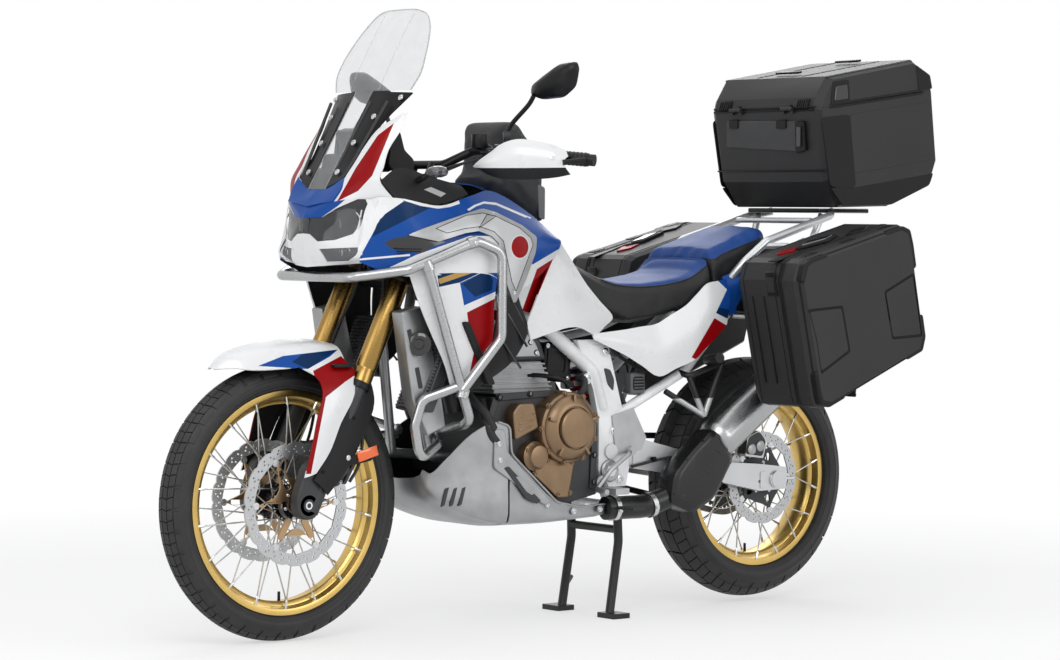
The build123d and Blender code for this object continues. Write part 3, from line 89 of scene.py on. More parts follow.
# ---------------------------------------------------------------- materials
class Nodes:
    """Short way to build a node tree."""

    def __init__(self, name):
        self.material = bpy.data.materials.new(name)
        self.material.use_nodes = True
        self.tree = self.material.node_tree
        self.shader = self.tree.nodes["Principled BSDF"]
        self.place = self.tree.nodes.new("ShaderNodeTexCoord").outputs["Object"]

    def add(self, kind, inputs=None, **settings):
        node = self.tree.nodes.new("ShaderNode" + kind)
        for key, value in settings.items():
            setattr(node, key, value)
        for key, value in (inputs or {}).items():
            self.link(value, node.inputs[key])
        return node

    def link(self, value, socket):
        if isinstance(value, bpy.types.NodeSocket):
            self.tree.links.new(value, socket)
        else:
            socket.default_value = value

    def math(self, operation, *values):
        node = self.tree.nodes.new("ShaderNodeMath")
        node.operation = operation
        for index, value in enumerate(values):
            self.link(value, node.inputs[index])
        return node.outputs[0]

    def stretched(self, scale):
        return self.add("Mapping", {"Vector": self.place, "Scale": scale}).outputs[0]

    def noise(self, scale, stretch=(1, 1, 1), detail=3.0):
        return self.add("TexNoise", {"Vector": self.stretched(stretch), "Scale": scale,
                                     "Detail": detail}).outputs[0]

    def ramp(self, value, low, high, out_low, out_high):
        return self.add("MapRange", {"Value": value, "From Min": low, "From Max": high, "To Min": out_low,
                                     "To Max": out_high}).outputs[0]

    def spread(self, noise, low, high):
        """A noise, which lies mostly between 0.3 and 0.7, spread over another range."""
        return self.ramp(noise, 0.3, 0.7, low, high)

    def mix(self, share, one, two):
        node = self.add("Mix", data_type="RGBA")
        self.link(share, node.inputs[0])
        self.link(one, node.inputs[6])
        self.link(two, node.inputs[7])
        return node.outputs[2]

    def set(self, **sockets):
        """Sets or links inputs of the shader, with _ for each space in a name."""
        for key, value in sockets.items():
            self.link(value, self.shader.inputs[key.replace("_", " ")])

    def bump(self, height, distance, strength=1.0):
        """Adds the relief, which is the last step, and gives the material."""
        node = self.add("Bump", {"Height": height, "Distance": distance, "Strength": strength})
        self.set(Normal=node.outputs[0])
        return self.material


def shade(colour, share):
    """A colour made darker or lighter by a share."""
    return (*[min(1.0, max(0.0, c * share)) for c in colour], 1.0)


def surface(name, colour, rough, metal=0.0, coat=0.0, cloud=9.0, vary=0.05, grain=900.0, depth=0.00003,
            stretch=(1, 1, 1), rough_vary=0.05, **sockets):
    """Finish with slow colour change, fine grain in its relief and uneven gloss."""
    n = Nodes(name)
    slow, fine = n.noise(cloud, stretch), n.noise(grain, stretch, 2.0)
    n.set(Base_Color=n.mix(n.spread(slow, 0, 1), shade(colour, 1 - vary), shade(colour, 1 + vary)),
          Roughness=n.spread(fine, rough - rough_vary, rough + rough_vary), Metallic=metal)
    if coat:
        n.set(Coat_Weight=coat, Coat_Roughness=0.06)
    n.set(**sockets)
    return n.bump(fine, depth)


WHITE, BLUE = (0.76, 0.765, 0.77), (0.006, 0.070, 0.33)
NAVY, RED = (0.002, 0.025, 0.090), (0.27, 0.001, 0.003)


def pearl(name, colour):
    """Gloss enamel with fine bright flakes."""
    n = Nodes(name)
    flakes = n.noise(2600.0, detail=1.0)
    bright = shade([c + 0.05 for c in colour], 1.4)
    n.set(Base_Color=n.mix(n.ramp(flakes, 0.58, 0.72, 0, 0.22), shade(colour, 0.92), bright),
          Roughness=n.spread(flakes, 0.26,
                             0.36), Specular_IOR_Level=0.15, Coat_Weight=0.08, Coat_Roughness=0.05)
    return n.bump(n.noise(40.0), 0.0001, 0.4)


M = {
    "white": surface("white_enamel", WHITE, 0.30, coat=0.3, vary=0.015, cloud=4, grain=24, depth=0.00002),
    "blue": pearl("blue_enamel", BLUE),
    **{key: surface(key + "_enamel", colour, 0.36, coat=0.05, grain=24, depth=0.00002,
                    Specular_IOR_Level=0.12)
       for key, colour in (("navy", NAVY), ("red", RED))},
    "silver": surface("silver_enamel", (0.50, 0.51, 0.52), 0.36, 0.55, coat=0.3, grain=2400,
                      depth=0.00002),
    "grain": surface("grained_plastic", (0.011, 0.011, 0.012), 0.55, grain=1500, depth=0.00012, vary=0.12,
                     Specular_IOR_Level=0.22),
    "satin": surface("satin_plastic", (0.007, 0.007, 0.008), 0.40, grain=500, depth=0.00002,
                     Specular_IOR_Level=0.22),
    "gloss": surface("gloss_plastic", (0.008, 0.008, 0.009), 0.12, coat=0.5, grain=60, depth=0.00002),
    "grey": surface("grey_plastic", (0.10, 0.105, 0.11), 0.5, grain=1300, depth=0.0001),
    "case": surface("case_plastic", (0.021, 0.021, 0.022), 0.50, grain=1700, depth=0.00016, vary=0.1,
                    cloud=5,
                    Specular_IOR_Level=0.3),
    "case_dark": surface("case_trim_plastic", (0.007, 0.007, 0.0075), 0.42, grain=1700, depth=0.0001,
                         vary=0.1, Specular_IOR_Level=0.2),
    "gold": surface("gold_anodised", (0.62, 0.43, 0.14), 0.30, 1.0, grain=900, depth=0.00002, vary=0.1,
                    cloud=14),
    "fork_gold": surface("gold_fork_tube", (0.33, 0.205, 0.062), 0.27, 1.0, grain=500, depth=0.000002,
                         vary=0.03, rough_vary=0.02),
    "bronze": surface("bronze_magnesium", (0.245, 0.162, 0.096), 0.40, 0.8, grain=900, depth=0.0001,
                      vary=0.1, cloud=18),
    "carrier": surface("bronze_anodised", (0.42, 0.28, 0.155), 0.36, 0.9, grain=900, depth=0.00003),
    "cast": surface("cast_aluminium", (0.35, 0.355, 0.36), 0.40, 0.85, grain=700, depth=0.00016, vary=0.1,
                    cloud=20),
    "alloy": surface("painted_alloy", (0.60, 0.61, 0.62), 0.34, 0.6, coat=0.2, grain=1400, depth=0.00004),
    "dark_cast": surface("dark_cast_alloy", (0.045, 0.046, 0.048), 0.46, 0.5, grain=800, depth=0.00016,
                         vary=0.15),
    "steel": surface("bright_steel", (0.62, 0.63, 0.64), 0.22, 1.0, grain=900, depth=0.00001, vary=0.08),
    "spoke": surface("spoke_steel", (0.50, 0.50, 0.49), 0.30, 1.0, grain=900, depth=0.00001, vary=0.15,
                     cloud=30),
    "tube": surface("brushed_tube", (0.42, 0.425, 0.43), 0.26, 0.95, grain=1200, stretch=(1, 1, 0.2),
                    depth=0.00003, vary=0.06),
    "can": surface("brushed_silencer", (0.40, 0.405, 0.41), 0.30, 1.0, grain=900, stretch=(1, 0.05, 0.05),
                   depth=0.00005),
    "black_steel": surface("black_steel", (0.018, 0.018, 0.019), 0.38, 0.4, grain=800, depth=0.00005,
                           vary=0.2),
    "rubber": surface("rubber", (0.013, 0.013, 0.014), 0.62, grain=1200, depth=0.0001, vary=0.15,
                      cloud=25),
    **{key: surface(name, colour, 0.2, coat=0.8, grain=260, depth=0.0003)
       for key, name, colour in (("orange", "orange_lens", (0.85, 0.13, 0.012)),
                                 ("red_lens", "red_lens", (0.55, 0.01, 0.008)))},
    "mirror": surface("mirror_glass", (0.75, 0.77, 0.8), 0.04, 1.0, grain=50, depth=0.000001,
                      rough_vary=0.02),
    "bright": surface("bright_reflector", (0.75, 0.76, 0.78), 0.18, 1.0, grain=240, depth=0.0005,
                      rough_vary=0.08),
}


def tyre_rubber():
    """Rubber, a little uneven in its colour and gloss."""
    n = Nodes("tyre_rubber")
    slow, fine = n.noise(18), n.noise(1400, detail=2)
    n.set(Base_Color=n.mix(n.spread(slow, 0, 1), (0.011, 0.011, 0.012, 1), (0.020, 0.020, 0.021, 1)),
          Roughness=n.spread(fine, 0.52, 0.70))
    return n.bump(fine, 0.00012)


def brake_steel(axle):
    """Disc steel with turning marks about an axle."""
    n = Nodes("brake_steel")
    centred = n.add("VectorMath", {0: n.place, 1: tuple(-axle * MM)}, operation="ADD").outputs[0]
    parts = n.add("SeparateXYZ", {"Vector": centred})
    squares = [n.math("POWER", parts.outputs[axis], 2.0) for axis in (1, 2)]
    radius = n.math("SQRT", n.math("ADD", *squares))
    rings = n.add("TexNoise", {"W": radius, "Scale": 1800.0}, noise_dimensions="1D").outputs[0]
    n.set(Base_Color=n.mix(n.spread(rings, 0, 1), (0.40, 0.41, 0.42, 1), (0.56, 0.57, 0.58, 1)),
          Roughness=n.spread(rings, 0.28, 0.40), Metallic=0.9)
    return n.bump(rings, 0.00003)


def clear(name, tint, alpha, rough=0.03):
    """Thin clear sheet, drawn by its alpha."""
    n = Nodes(name)
    dust = n.noise(30)
    n.set(Base_Color=(*tint, 1), Roughness=n.spread(dust, rough, rough + 0.04),
          Alpha=n.spread(dust, alpha * 0.9, alpha * 1.1), Coat_Weight=0.4, Coat_Roughness=0.02)
    return n.bump(dust, 0.00002)


def vinyl(name, colour, rough):
    """Grained seat cover."""
    n = Nodes(name)
    cells = n.add("TexVoronoi", {"Vector": n.place, "Scale": 900.0}).outputs["Distance"]
    slow = n.noise(14)
    n.set(Base_Color=n.mix(n.spread(slow, 0, 1), shade(colour, 0.88), shade(colour, 1.12)),
          Roughness=n.ramp(cells, 0.0, 0.8, rough - 0.06, rough + 0.06), Specular_IOR_Level=0.3)
    return n.bump(cells, 0.00025)


def woven(name, colour, threads):
    """Plain weave of bag cloth."""
    n = Nodes(name)
    parts = n.add("SeparateXYZ", {"Vector": n.place})
    across = n.math("ADD", parts.outputs[0], parts.outputs[1])
    warp, weft = (n.math("SINE", n.math("MULTIPLY", way, threads)) for way in (across, parts.outputs[2]))
    weave = n.math("MULTIPLY", warp, weft)
    n.set(Base_Color=n.mix(n.ramp(weave, -1, 1, 0, 1), shade(colour, 0.7), shade(colour, 1.35)),
          Roughness=n.spread(n.noise(20), 0.78, 0.92), Sheen_Weight=0.2)
    return n.bump(weave, 0.00035)


def two_finish(name, one, two, axis, edges, metal, rough):
    """One finish between two distances along an axis, in metres, and another beyond them."""
    n = Nodes(name)
    along = n.add("VectorMath", {0: n.place, 1: axis}, operation="DOT_PRODUCT").outputs["Value"]
    share = 0.0
    for low, high in edges:
        inside = n.math("MULTIPLY", n.math("GREATER_THAN", along, low), n.math("LESS_THAN", along, high))
        share = n.math("MAXIMUM", share, inside)
    cloud = n.spread(n.noise(16), 0.9, 1.1)
    colours = n.mix(share, (*one, 1), (*two, 1))
    scaled = n.add("VectorMath", {0: colours, "Scale": cloud}, operation="SCALE").outputs[0]
    n.set(Base_Color=scaled, Metallic=n.ramp(share, 0, 1, *metal), Roughness=n.ramp(share, 0, 1, *rough))
    return n.bump(n.noise(900, detail=2), 0.00008)


M["tyre"] = tyre_rubber()
M["front_brake"] = brake_steel(FRONT_AXLE)
M["rear_brake"] = brake_steel(REAR_AXLE)
M["screen"] = clear("clear_screen", (0.50, 0.52, 0.54), 0.22)
M["screen_edge"] = clear("screen_edge", (0.42, 0.43, 0.44), 0.40)
M["lens"] = clear("clear_lens", (0.9, 0.92, 0.95), 0.13)
M["dark_lens"] = clear("dark_lens", (0.05, 0.052, 0.055), 0.58)
M["seat_blue"] = vinyl("blue_vinyl", (0.004, 0.046, 0.215), 0.50)
M["seat_black"] = vinyl("black_vinyl", (0.012, 0.012, 0.013), 0.50)
M["cloth"] = woven("bag_cloth", (0.020, 0.020, 0.021), 4200.0)
M["carbon"] = woven("checked_plastic", (0.045, 0.045, 0.046), 1500.0)


# ---------------------------------------------------------------- shapes in millimetres
def rotation(axis, degrees):
    return Matrix.Rotation(math.radians(degrees), 4, axis)


def shift(x, y, z):
    return Matrix.Translation((x, y, z))


def facing(place, normal, top=(0, 0, 1)):
    """Matrix that puts a flat shape at a place, with its z along the normal and its y towards the top."""
    z = Vector(normal).normalized()
    x = Vector(top).cross(z).normalized()
    y = z.cross(x)
    return Matrix.Translation(place) @ Matrix((x, y, z)).transposed().to_4x4()


# Turns a flat shape's x, y and z into the bike's y, z and x.
SIDEWAYS = Matrix(((0, 0, 1, 0), (1, 0, 0, 0), (0, 1, 0, 0), (0, 0, 0, 1)))
# Turns a flat shape's x, y and z into the bike's x, z and -y.
BACKWARDS = Matrix(((1, 0, 0, 0), (0, 0, -1, 0), (0, 1, 0, 0), (0, 0, 0, 1)))
# The left as it is, and the right as its mirror image.
SIDES = ((1, Matrix.Identity(4)), (-1, Matrix.Diagonal((-1, 1, 1, 1))))


def polar(radius, a):
    return radius * math.cos(a), radius * math.sin(a)


def around(x, middle, radius, a):
    """Matrix that moves to x and a point of a circle about a (y, z) middle."""
    return shift(x, middle[0] + radius * math.cos(a), middle[1] + radius * math.sin(a))


def moved(shape, matrix):
    points, faces = shape
    return [matrix @ Vector(p) for p in points], faces


def spline(points, steps):
    """Smooth line through points, with a corner where a point is given twice. Steps for each span."""
    points = [Vector(p) for p in points]
    parts, part = [], [points[0]]
    for a, b in zip(points, points[1:]):
        if (a - b).length < 1e-6:
            parts.append(part)
            part = [b]
        else:
            part.append(b)
    parts.append(part)
    line = []
    for part in parts:
        if len(part) == 1:
            line.append(part[0])
            continue
        times = [0.0]
        for a, b in zip(part, part[1:]):
            times.append(times[-1] + math.sqrt((b - a).length))
        slopes = []
        for i in range(len(part)):
            if 0 < i < len(part) - 1:
                one = (part[i] - part[i - 1]) / (times[i] - times[i - 1])
                two = (part[i + 1] - part[i]) / (times[i + 1] - times[i])
                share = (times[i] - times[i - 1]) / (times[i + 1] - times[i - 1])
                slopes.append(one.lerp(two, share))
            else:
                a, b = (0, 1) if i == 0 else (-2, -1)
                slopes.append((part[b] - part[a]) / (times[b] - times[a]))
        for i in range(len(part) - 1):
            span = times[i + 1] - times[i]
            for k in range(steps):
                t = k / steps
                h = (2 * t**3 - 3 * t**2 + 1, t**3 - 2 * t**2 + t, 3 * t**2 - 2 * t**3, t**3 - t**2)
                line.append(part[i] * h[0] + slopes[i] * (h[1] * span)
                            + part[i + 1] * h[2] + slopes[i + 1] * (h[3] * span))
        line.append(part[-1])
    return line


def patch(rows, along=5, across=5):
    """Smooth sheet through a grid of points: a flat list of points and its quads."""
    lines = [spline(row, across) for row in rows]
    columns = [spline([line[j] for line in lines], along) for j in range(len(lines[0]))]
    count = len(columns[0])
    points = [columns[j][i] for i in range(count) for j in range(len(columns))]
    width = len(columns)
    faces = [(i * width + j, i * width + j + 1, (i + 1) * width + j + 1, (i + 1) * width + j)
             for i in range(count - 1) for j in range(width - 1)]
    return points, faces


def welded(shape):
    """Edit mesh of a sheet, with points that meet made into one."""
    mesh = bmesh.new()
    corners = [mesh.verts.new(p) for p in shape[0]]
    for face in shape[1]:
        used = [corners[i] for i in dict.fromkeys(face)]
        if len(used) > 2 and mesh.faces.get(used) is None:
            mesh.faces.new(used)
    bmesh.ops.remove_doubles(mesh, verts=mesh.verts, dist=0.01)
    return mesh


def thick(shape, depth):
    """A sheet given thickness along its normals, closed round its rim."""
    mesh = welded(shape)
    bmesh.ops.recalc_face_normals(mesh, faces=mesh.faces)
    mesh.normal_update()
    mesh.verts.index_update()
    outer = [v.co.copy() for v in mesh.verts]
    normals = [v.normal.copy() for v in mesh.verts]
    faces = [[v.index for v in f.verts] for f in mesh.faces]
    rim = [(e.verts[0].index, e.verts[1].index,
            e.link_faces[0]) for e in mesh.edges if len(e.link_faces) == 1]
    sides = []
    for a, b, face in rim:
        ring = [v.index for v in face.verts]
        i = ring.index(a)
        if ring[(i + 1) % len(ring)] == b:
            a, b = b, a
        sides.append((a, b))
    mesh.free()
    count = len(outer)
    inner = [p - n * depth for p, n in zip(outer, normals)]
    all_faces = faces + [[count + i for i in reversed(f)] for f in faces]
    all_faces += [(a, b, count + b, count + a) for a, b in sides]
    return outer + inner, all_faces


def stacked(rings):
    """Closed solid through rings of points."""
    count = len(rings[0])
    points = [p for ring in rings for p in ring]
    faces = [(i * count + k, i * count + (k + 1) % count, (i + 1) * count + (k + 1) % count,
              (i + 1) * count + k)
             for i in range(len(rings) - 1) for k in range(count)]
    return points, faces + [tuple(range(count)), tuple(range(len(points) - count, len(points)))]


def lathe(profile, segments=48, closed=False):
    """Solid turned about the X line from rows of x, radius. A closed profile makes a ring."""
    points, faces = [], []
    for x, r in profile:
        for k in range(segments):
            a = math.tau * k / segments
            points.append((x, r * math.cos(a), r * math.sin(a)))
    rows = len(profile)
    for i in range(rows if closed else rows - 1):
        for k in range(segments):
            a, b = i * segments + k, i * segments + (k + 1) % segments
            c, d = (i + 1) % rows * segments + k, (i + 1) % rows * segments + (k + 1) % segments
            faces.append((a, b, d, c))
    if not closed:
        if profile[0][1] > 0:
            faces.append(tuple(reversed(range(segments))))
        if profile[-1][1] > 0:
            faces.append(tuple(range((rows - 1) * segments, rows * segments)))
    return points, faces


def filleted(points, bend, steps=5):
    """Straight runs joined by bends."""
    points = [Vector(p) for p in points]
    line = [points[0]]
    for a, b, c in zip(points, points[1:], points[2:]):
        reach = min(bend, (b - a).length * 0.48, (c - b).length * 0.48)
        start, end = b + (a - b).normalized() * reach, b + (c - b).normalized() * reach
        for k in range(steps + 1):
            t = k / steps
            line.append(start.lerp(b, t).lerp(b.lerp(end, t), t))
    return line + [points[-1]]


def pipe(line, radius, sides=12):
    """Round bar along a line. The radius is one number or one for each point."""
    line = [Vector(p) for p in line]
    radii = radius if isinstance(radius, (list, tuple)) else [radius] * len(line)
    points, faces = [], []
    ahead = [(line[min(i + 1, len(line) - 1)] - line[max(i - 1,
                                                         0)]).normalized() for i in range(len(line))]
    side = ahead[0].orthogonal().normalized()
    for place, direction, r in zip(line, ahead, radii):
        side = (side - direction * side.dot(direction)).normalized()
        other = direction.cross(side)
        for k in range(sides):
            a = math.tau * k / sides
            points.append(place + (side * math.cos(a) + other * math.sin(a)) * r)
    for i in range(len(line) - 1):
        for k in range(sides):
            a, b = i * sides + k, i * sides + (k + 1) % sides
            faces.append((a, b, b + sides, a + sides))
    faces.append(tuple(reversed(range(sides))))
    faces.append(tuple(range((len(line) - 1) * sides, len(line) * sides)))
    return points, faces


def from_mesh(mesh):
    return [v.co.copy() for v in mesh.vertices], [tuple(p.vertices) for p in mesh.polygons]


def hose(points, steps, radius, sides=8):
    """Bar along a smooth line through points."""
    return pipe(spline(points, steps), radius, sides)


def hoop(points, bend, radius):
    """Bar along a closed line with rounded corners."""
    return pipe(filleted(points + points[:2], bend), radius, 8)


def flat(outlines, depth, edge=0.0, steps=1):
    """Flat shape with rounded edges, from z 0 to its depth. The outlines after the first are holes."""
    data = bpy.data.curves.new("outline", "CURVE")
    data.dimensions, data.fill_mode = "2D", "BOTH"
    data.extrude, data.bevel_depth, data.bevel_resolution = depth / 2 - edge, edge, steps
    data.offset = -edge
    for outline in outlines:
        line = data.splines.new("POLY")
        line.points.add(len(outline) - 1)
        for point, (x, y) in zip(line.points, outline):
            point.co = (x, y, 0, 1)
        line.use_cyclic_u = True
    carrier = bpy.data.objects.new("outline", data)
    bpy.context.collection.objects.link(carrier)
    bpy.context.view_layer.update()
    mesh = bpy.data.meshes.new_from_object(carrier.evaluated_get(bpy.context.evaluated_depsgraph_get()))
    shape = moved(from_mesh(mesh), shift(0, 0, depth / 2))
    bpy.data.objects.remove(carrier)
    bpy.data.curves.remove(data)
    bpy.data.meshes.remove(mesh)
    return shape


def block(size, edge=1.0, steps=2, taper=1.0):
    """Box about its centre with rounded edges. The taper is its top's share of its foot."""
    mesh = bmesh.new()
    bmesh.ops.create_cube(mesh, size=1)
    for v in mesh.verts:
        share = taper if v.co.z > 0 else 1.0
        v.co = Vector((v.co.x * size[0] * share, v.co.y * size[1] * share, v.co.z * size[2]))
    geometry = mesh.edges[:] + mesh.verts[:]
    bmesh.ops.bevel(mesh, geom=geometry, offset=edge, segments=steps, profile=0.5, affect="EDGES")
    mesh.verts.index_update()
    shape = ([v.co.copy() for v in mesh.verts], [tuple(v.index for v in f.verts) for f in mesh.faces])
    mesh.free()
    return shape


def circle(radius, sides=24, x=0.0, y=0.0):
    turns = [math.tau * k / sides for k in range(sides)]
    return [(x + radius * math.cos(a), y + radius * math.sin(a)) for a in turns]


def rounded(outline, radius, steps=3):
    """A closed outline with its corners rounded."""
    line = []
    count = len(outline)
    for i in range(count):
        a, b, c = Vector(outline[i - 1]), Vector(outline[i]), Vector(outline[(i + 1) % count])
        reach = min(radius, (a - b).length * 0.45, (c - b).length * 0.45)
        start, end = b + (a - b).normalized() * reach, b + (c - b).normalized() * reach
        for k in range(steps + 1):
            t = k / steps
            p = start.lerp(b, t).lerp(b.lerp(end, t), t)
            line.append((p.x, p.y))
    return line


def bolt(head=5.0, height=4.0):
    """Socket screw with a washer, its axis along x."""
    return lathe([(0, head * 1.35), (1, head * 1.35), (1, head), (height - 0.6, head),
                  (height, head * 0.85),
                  (height, head * 0.5), (height - 2.2, head * 0.45), (height - 2.2, 0)], 14)


def pointing(place, direction):
    """Matrix that turns the X line to a direction and moves it to a place."""
    turn = Vector((1, 0, 0)).rotation_difference(Vector(direction))
    return Matrix.Translation(place) @ turn.to_matrix().to_4x4()


def inside(outline, x, y):
    found = False
    for (x1, y1), (x2, y2) in zip(outline, outline[1:] + outline[:1]):
        if (y1 > y) != (y2 > y) and x < (x2 - x1) * (y - y1) / (y2 - y1) + x1:
            found = not found
    return found


def painted(shape, base, decals):
    """A sheet cut along outlines given in the picture: points, faces, and each face's finish."""
    mesh = welded(shape)
    for _, outline in decals:
        for one, two in zip(outline, outline[1:] + outline[:1]):
            low = [min(a, b) - 3 for a, b in zip(one, two)]
            high = [max(a, b) + 3 for a, b in zip(one, two)]
            near = []
            for face in mesh.faces:
                places = [seen(v.co) for v in face.verts]
                if (max(p[0] for p in places) > low[0] and min(p[0] for p in places) < high[0]
                        and max(p[1] for p in places) > low[1] and min(p[1] for p in places) < high[1]):
                    near.append(face)
            if not near:
                continue
            geometry = near + list({e for f in near for e in f.edges})
            geometry += list({v for f in near for v in f.verts})
            edge = ray(*one).cross(ray(*two)).normalized()
            bmesh.ops.bisect_plane(mesh, geom=geometry, dist=0.02, plane_co=EYE, plane_no=edge)
    chosen = {}
    for face in mesh.faces:
        u, v = seen(face.calc_center_median())
        chosen[face] = base
        for finish, outline in decals:
            if inside(outline, u, v):
                chosen[face] = finish
    bmesh.ops.delete(mesh, geom=[face for face, look in chosen.items() if look is None], context="FACES")
    mesh.verts.index_update()
    looks = [chosen[face] for face in mesh.faces]
    result = ([v.co.copy() for v in mesh.verts], [tuple(v.index for v in f.verts) for f in mesh.faces],
              looks)
    mesh.free()
    return result


class Piece:
    """Gathers shapes in millimetres and makes one object of them."""

    def __init__(self, name, body, slot, *replaced):
        self.name, self.body, self.slot, self.replaced = name, body, slot, replaced
        self.points, self.faces, self.looks, self.finishes = [], [], [], []

    def add(self, shape, finish, matrix=None, twin=False):
        """Adds a shape. The finish is one name or one for each face. The twin is its mirror image."""
        points, faces = shape[0], shape[1]
        if matrix is not None:
            points = [matrix @ Vector(p) for p in points]
        names = finish if isinstance(finish, list) else [finish] * len(faces)
        for name in names:
            if name not in self.finishes:
                self.finishes.append(name)
        for side in ((1, -1) if twin else (1,)):
            start = len(self.points)
            self.points += [Vector((p[0] * side, p[1], p[2])) for p in points]
            order = 1 if side == 1 else -1
            self.faces += [[start + i for i in face][::order] for face in faces]
            self.looks += [self.finishes.index(name) for name in names]

    def both(self, shape, finish, matrix=None):
        """Adds a shape and its mirror image on the other side."""
        self.add(shape, finish, matrix, twin=True)

    def sheet(self, rows, base, decals=(), depth=4.0, along=5, across=5):
        """Smooth painted panel through a grid of points, with thickness."""
        points, faces, looks = painted(patch(rows, along, across), base, list(decals))
        count = len(points)
        mesh = bmesh.new()
        corners = [mesh.verts.new(p) for p in points]
        for face in faces:
            mesh.faces.new([corners[i] for i in face])
        mesh.normal_update()
        mesh.verts.index_update()
        mesh.faces.index_update()
        outward = 1 if sum(f.normal.x * f.calc_area() for f in mesh.faces) > 0 else -1
        inner = [v.co - v.normal * depth * outward for v in mesh.verts]
        rim = [(e.verts[0].index, e.verts[1].index, looks[e.link_faces[0].index])
               for e in mesh.edges if len(e.link_faces) == 1]
        mesh.free()
        all_faces = [f[::outward] for f in faces] + [[count + i for i in f][::-outward] for f in faces]
        all_faces += [(a, b, count + b, count + a) for a, b, look in rim]
        all_looks = looks + ["grain"] * len(faces) + [look for a, b, look in rim]
        self.both((points + inner, all_faces), all_looks)

    def make(self, sharp=32.0):
        mesh = bpy.data.meshes.new(self.name)
        mesh.from_pydata([p * MM for p in self.points], [], self.faces)
        for name in self.finishes:
            mesh.materials.append(M[name])
        mesh.polygons.foreach_set("material_index", self.looks)
        work = bmesh.new()
        work.from_mesh(mesh)
        bmesh.ops.dissolve_degenerate(work, edges=work.edges, dist=0.000002)
        bmesh.ops.recalc_face_normals(work, faces=work.faces)
        work.to_mesh(mesh)
        work.free()
        mesh.shade_smooth()
        mesh.set_sharp_from_angle(angle=math.radians(sharp))
        thing = bpy.data.objects.new(self.name, mesh)
        bpy.context.collection.objects.link(thing)
        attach(thing, self.body)
        if self.replaced:
            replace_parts(thing, *self.replaced)
        return thing


def dress(node, finish, edge=0.0):
    """Gives a CAD node its finish and softens its edges."""
    thing = NODES[node]
    for index in range(len(thing.material_slots)):
        thing.material_slots[index].material = M[finish]
    if not thing.material_slots:
        thing.data.materials.append(M[finish])
    if edge:
        weld = thing.modifiers.new("weld", "WELD")
        weld.merge_threshold = 0.00001
        soft = thing.modifiers.new("soft", "BEVEL")
        soft.width, soft.segments = edge * MM, 2
        soft.limit_method, soft.angle_limit = "ANGLE", math.radians(28)
        soft.harden_normals = True
        soft.use_clamp_overlap = True


# ---------------------------------------------------------------- steering geometry
AXIS_FOOT_Y = FRONT_AXLE.y - TRAIL


def steer(x, up, back):
    """Point at x, a way up the steering axis and square back from it."""
    return Vector((x, AXIS_FOOT_Y + up * math.sin(RAKE) + back * math.cos(RAKE),
                   up * math.cos(RAKE) - back * math.sin(RAKE)))


STEER_AXIS = Vector((0, math.sin(RAKE), math.cos(RAKE)))
STEER_TURN = Matrix(((1, 0, 0), (0, math.cos(RAKE), -math.sin(RAKE)), STEER_AXIS)).transposed().to_4x4()
# Puts a turned shape on the left fork leg.
LEG = pointing(steer(FORK_SPREAD, 0, -FORK_OFFSET), STEER_AXIS)


# ---------------------------------------------------------------- wheels
def arc(one, two, three, steps):
    """Points of the circle through three points, from the first to the last."""
    (ax, ay), (bx, by), (cx, cy) = one, two, three
    d = 2 * (ax * (by - cy) + bx * (cy - ay) + cx * (ay - by))
    ux = ((ax**2 + ay**2) * (by - cy) + (bx**2 + by**2) * (cy - ay) + (cx**2 + cy**2) * (ay - by)) / d
    uy = ((ax**2 + ay**2) * (cx - bx) + (bx**2 + by**2) * (ax - cx) + (cx**2 + cy**2) * (bx - ax)) / d
    r = math.hypot(ax - ux, ay - uy)
    start, middle, end = (math.atan2(y - uy, x - ux) for x, y in (one, two, three))
    turn = (end - start) % math.tau
    if (middle - start) % math.tau > turn:
        turn -= math.tau
    turns = [start + turn * k / steps for k in range(steps + 1)]
    return [(ux + r * math.cos(a), uy + r * math.sin(a)) for a in turns]


LIP_DEPTH, SEAT_DROP = 3.0, 13.5  # the rim's lip and the drop to its bead seat, inwards from the flange
CROWN_SHARE = 0.43  # half the tread's width as a share of the tyre's width


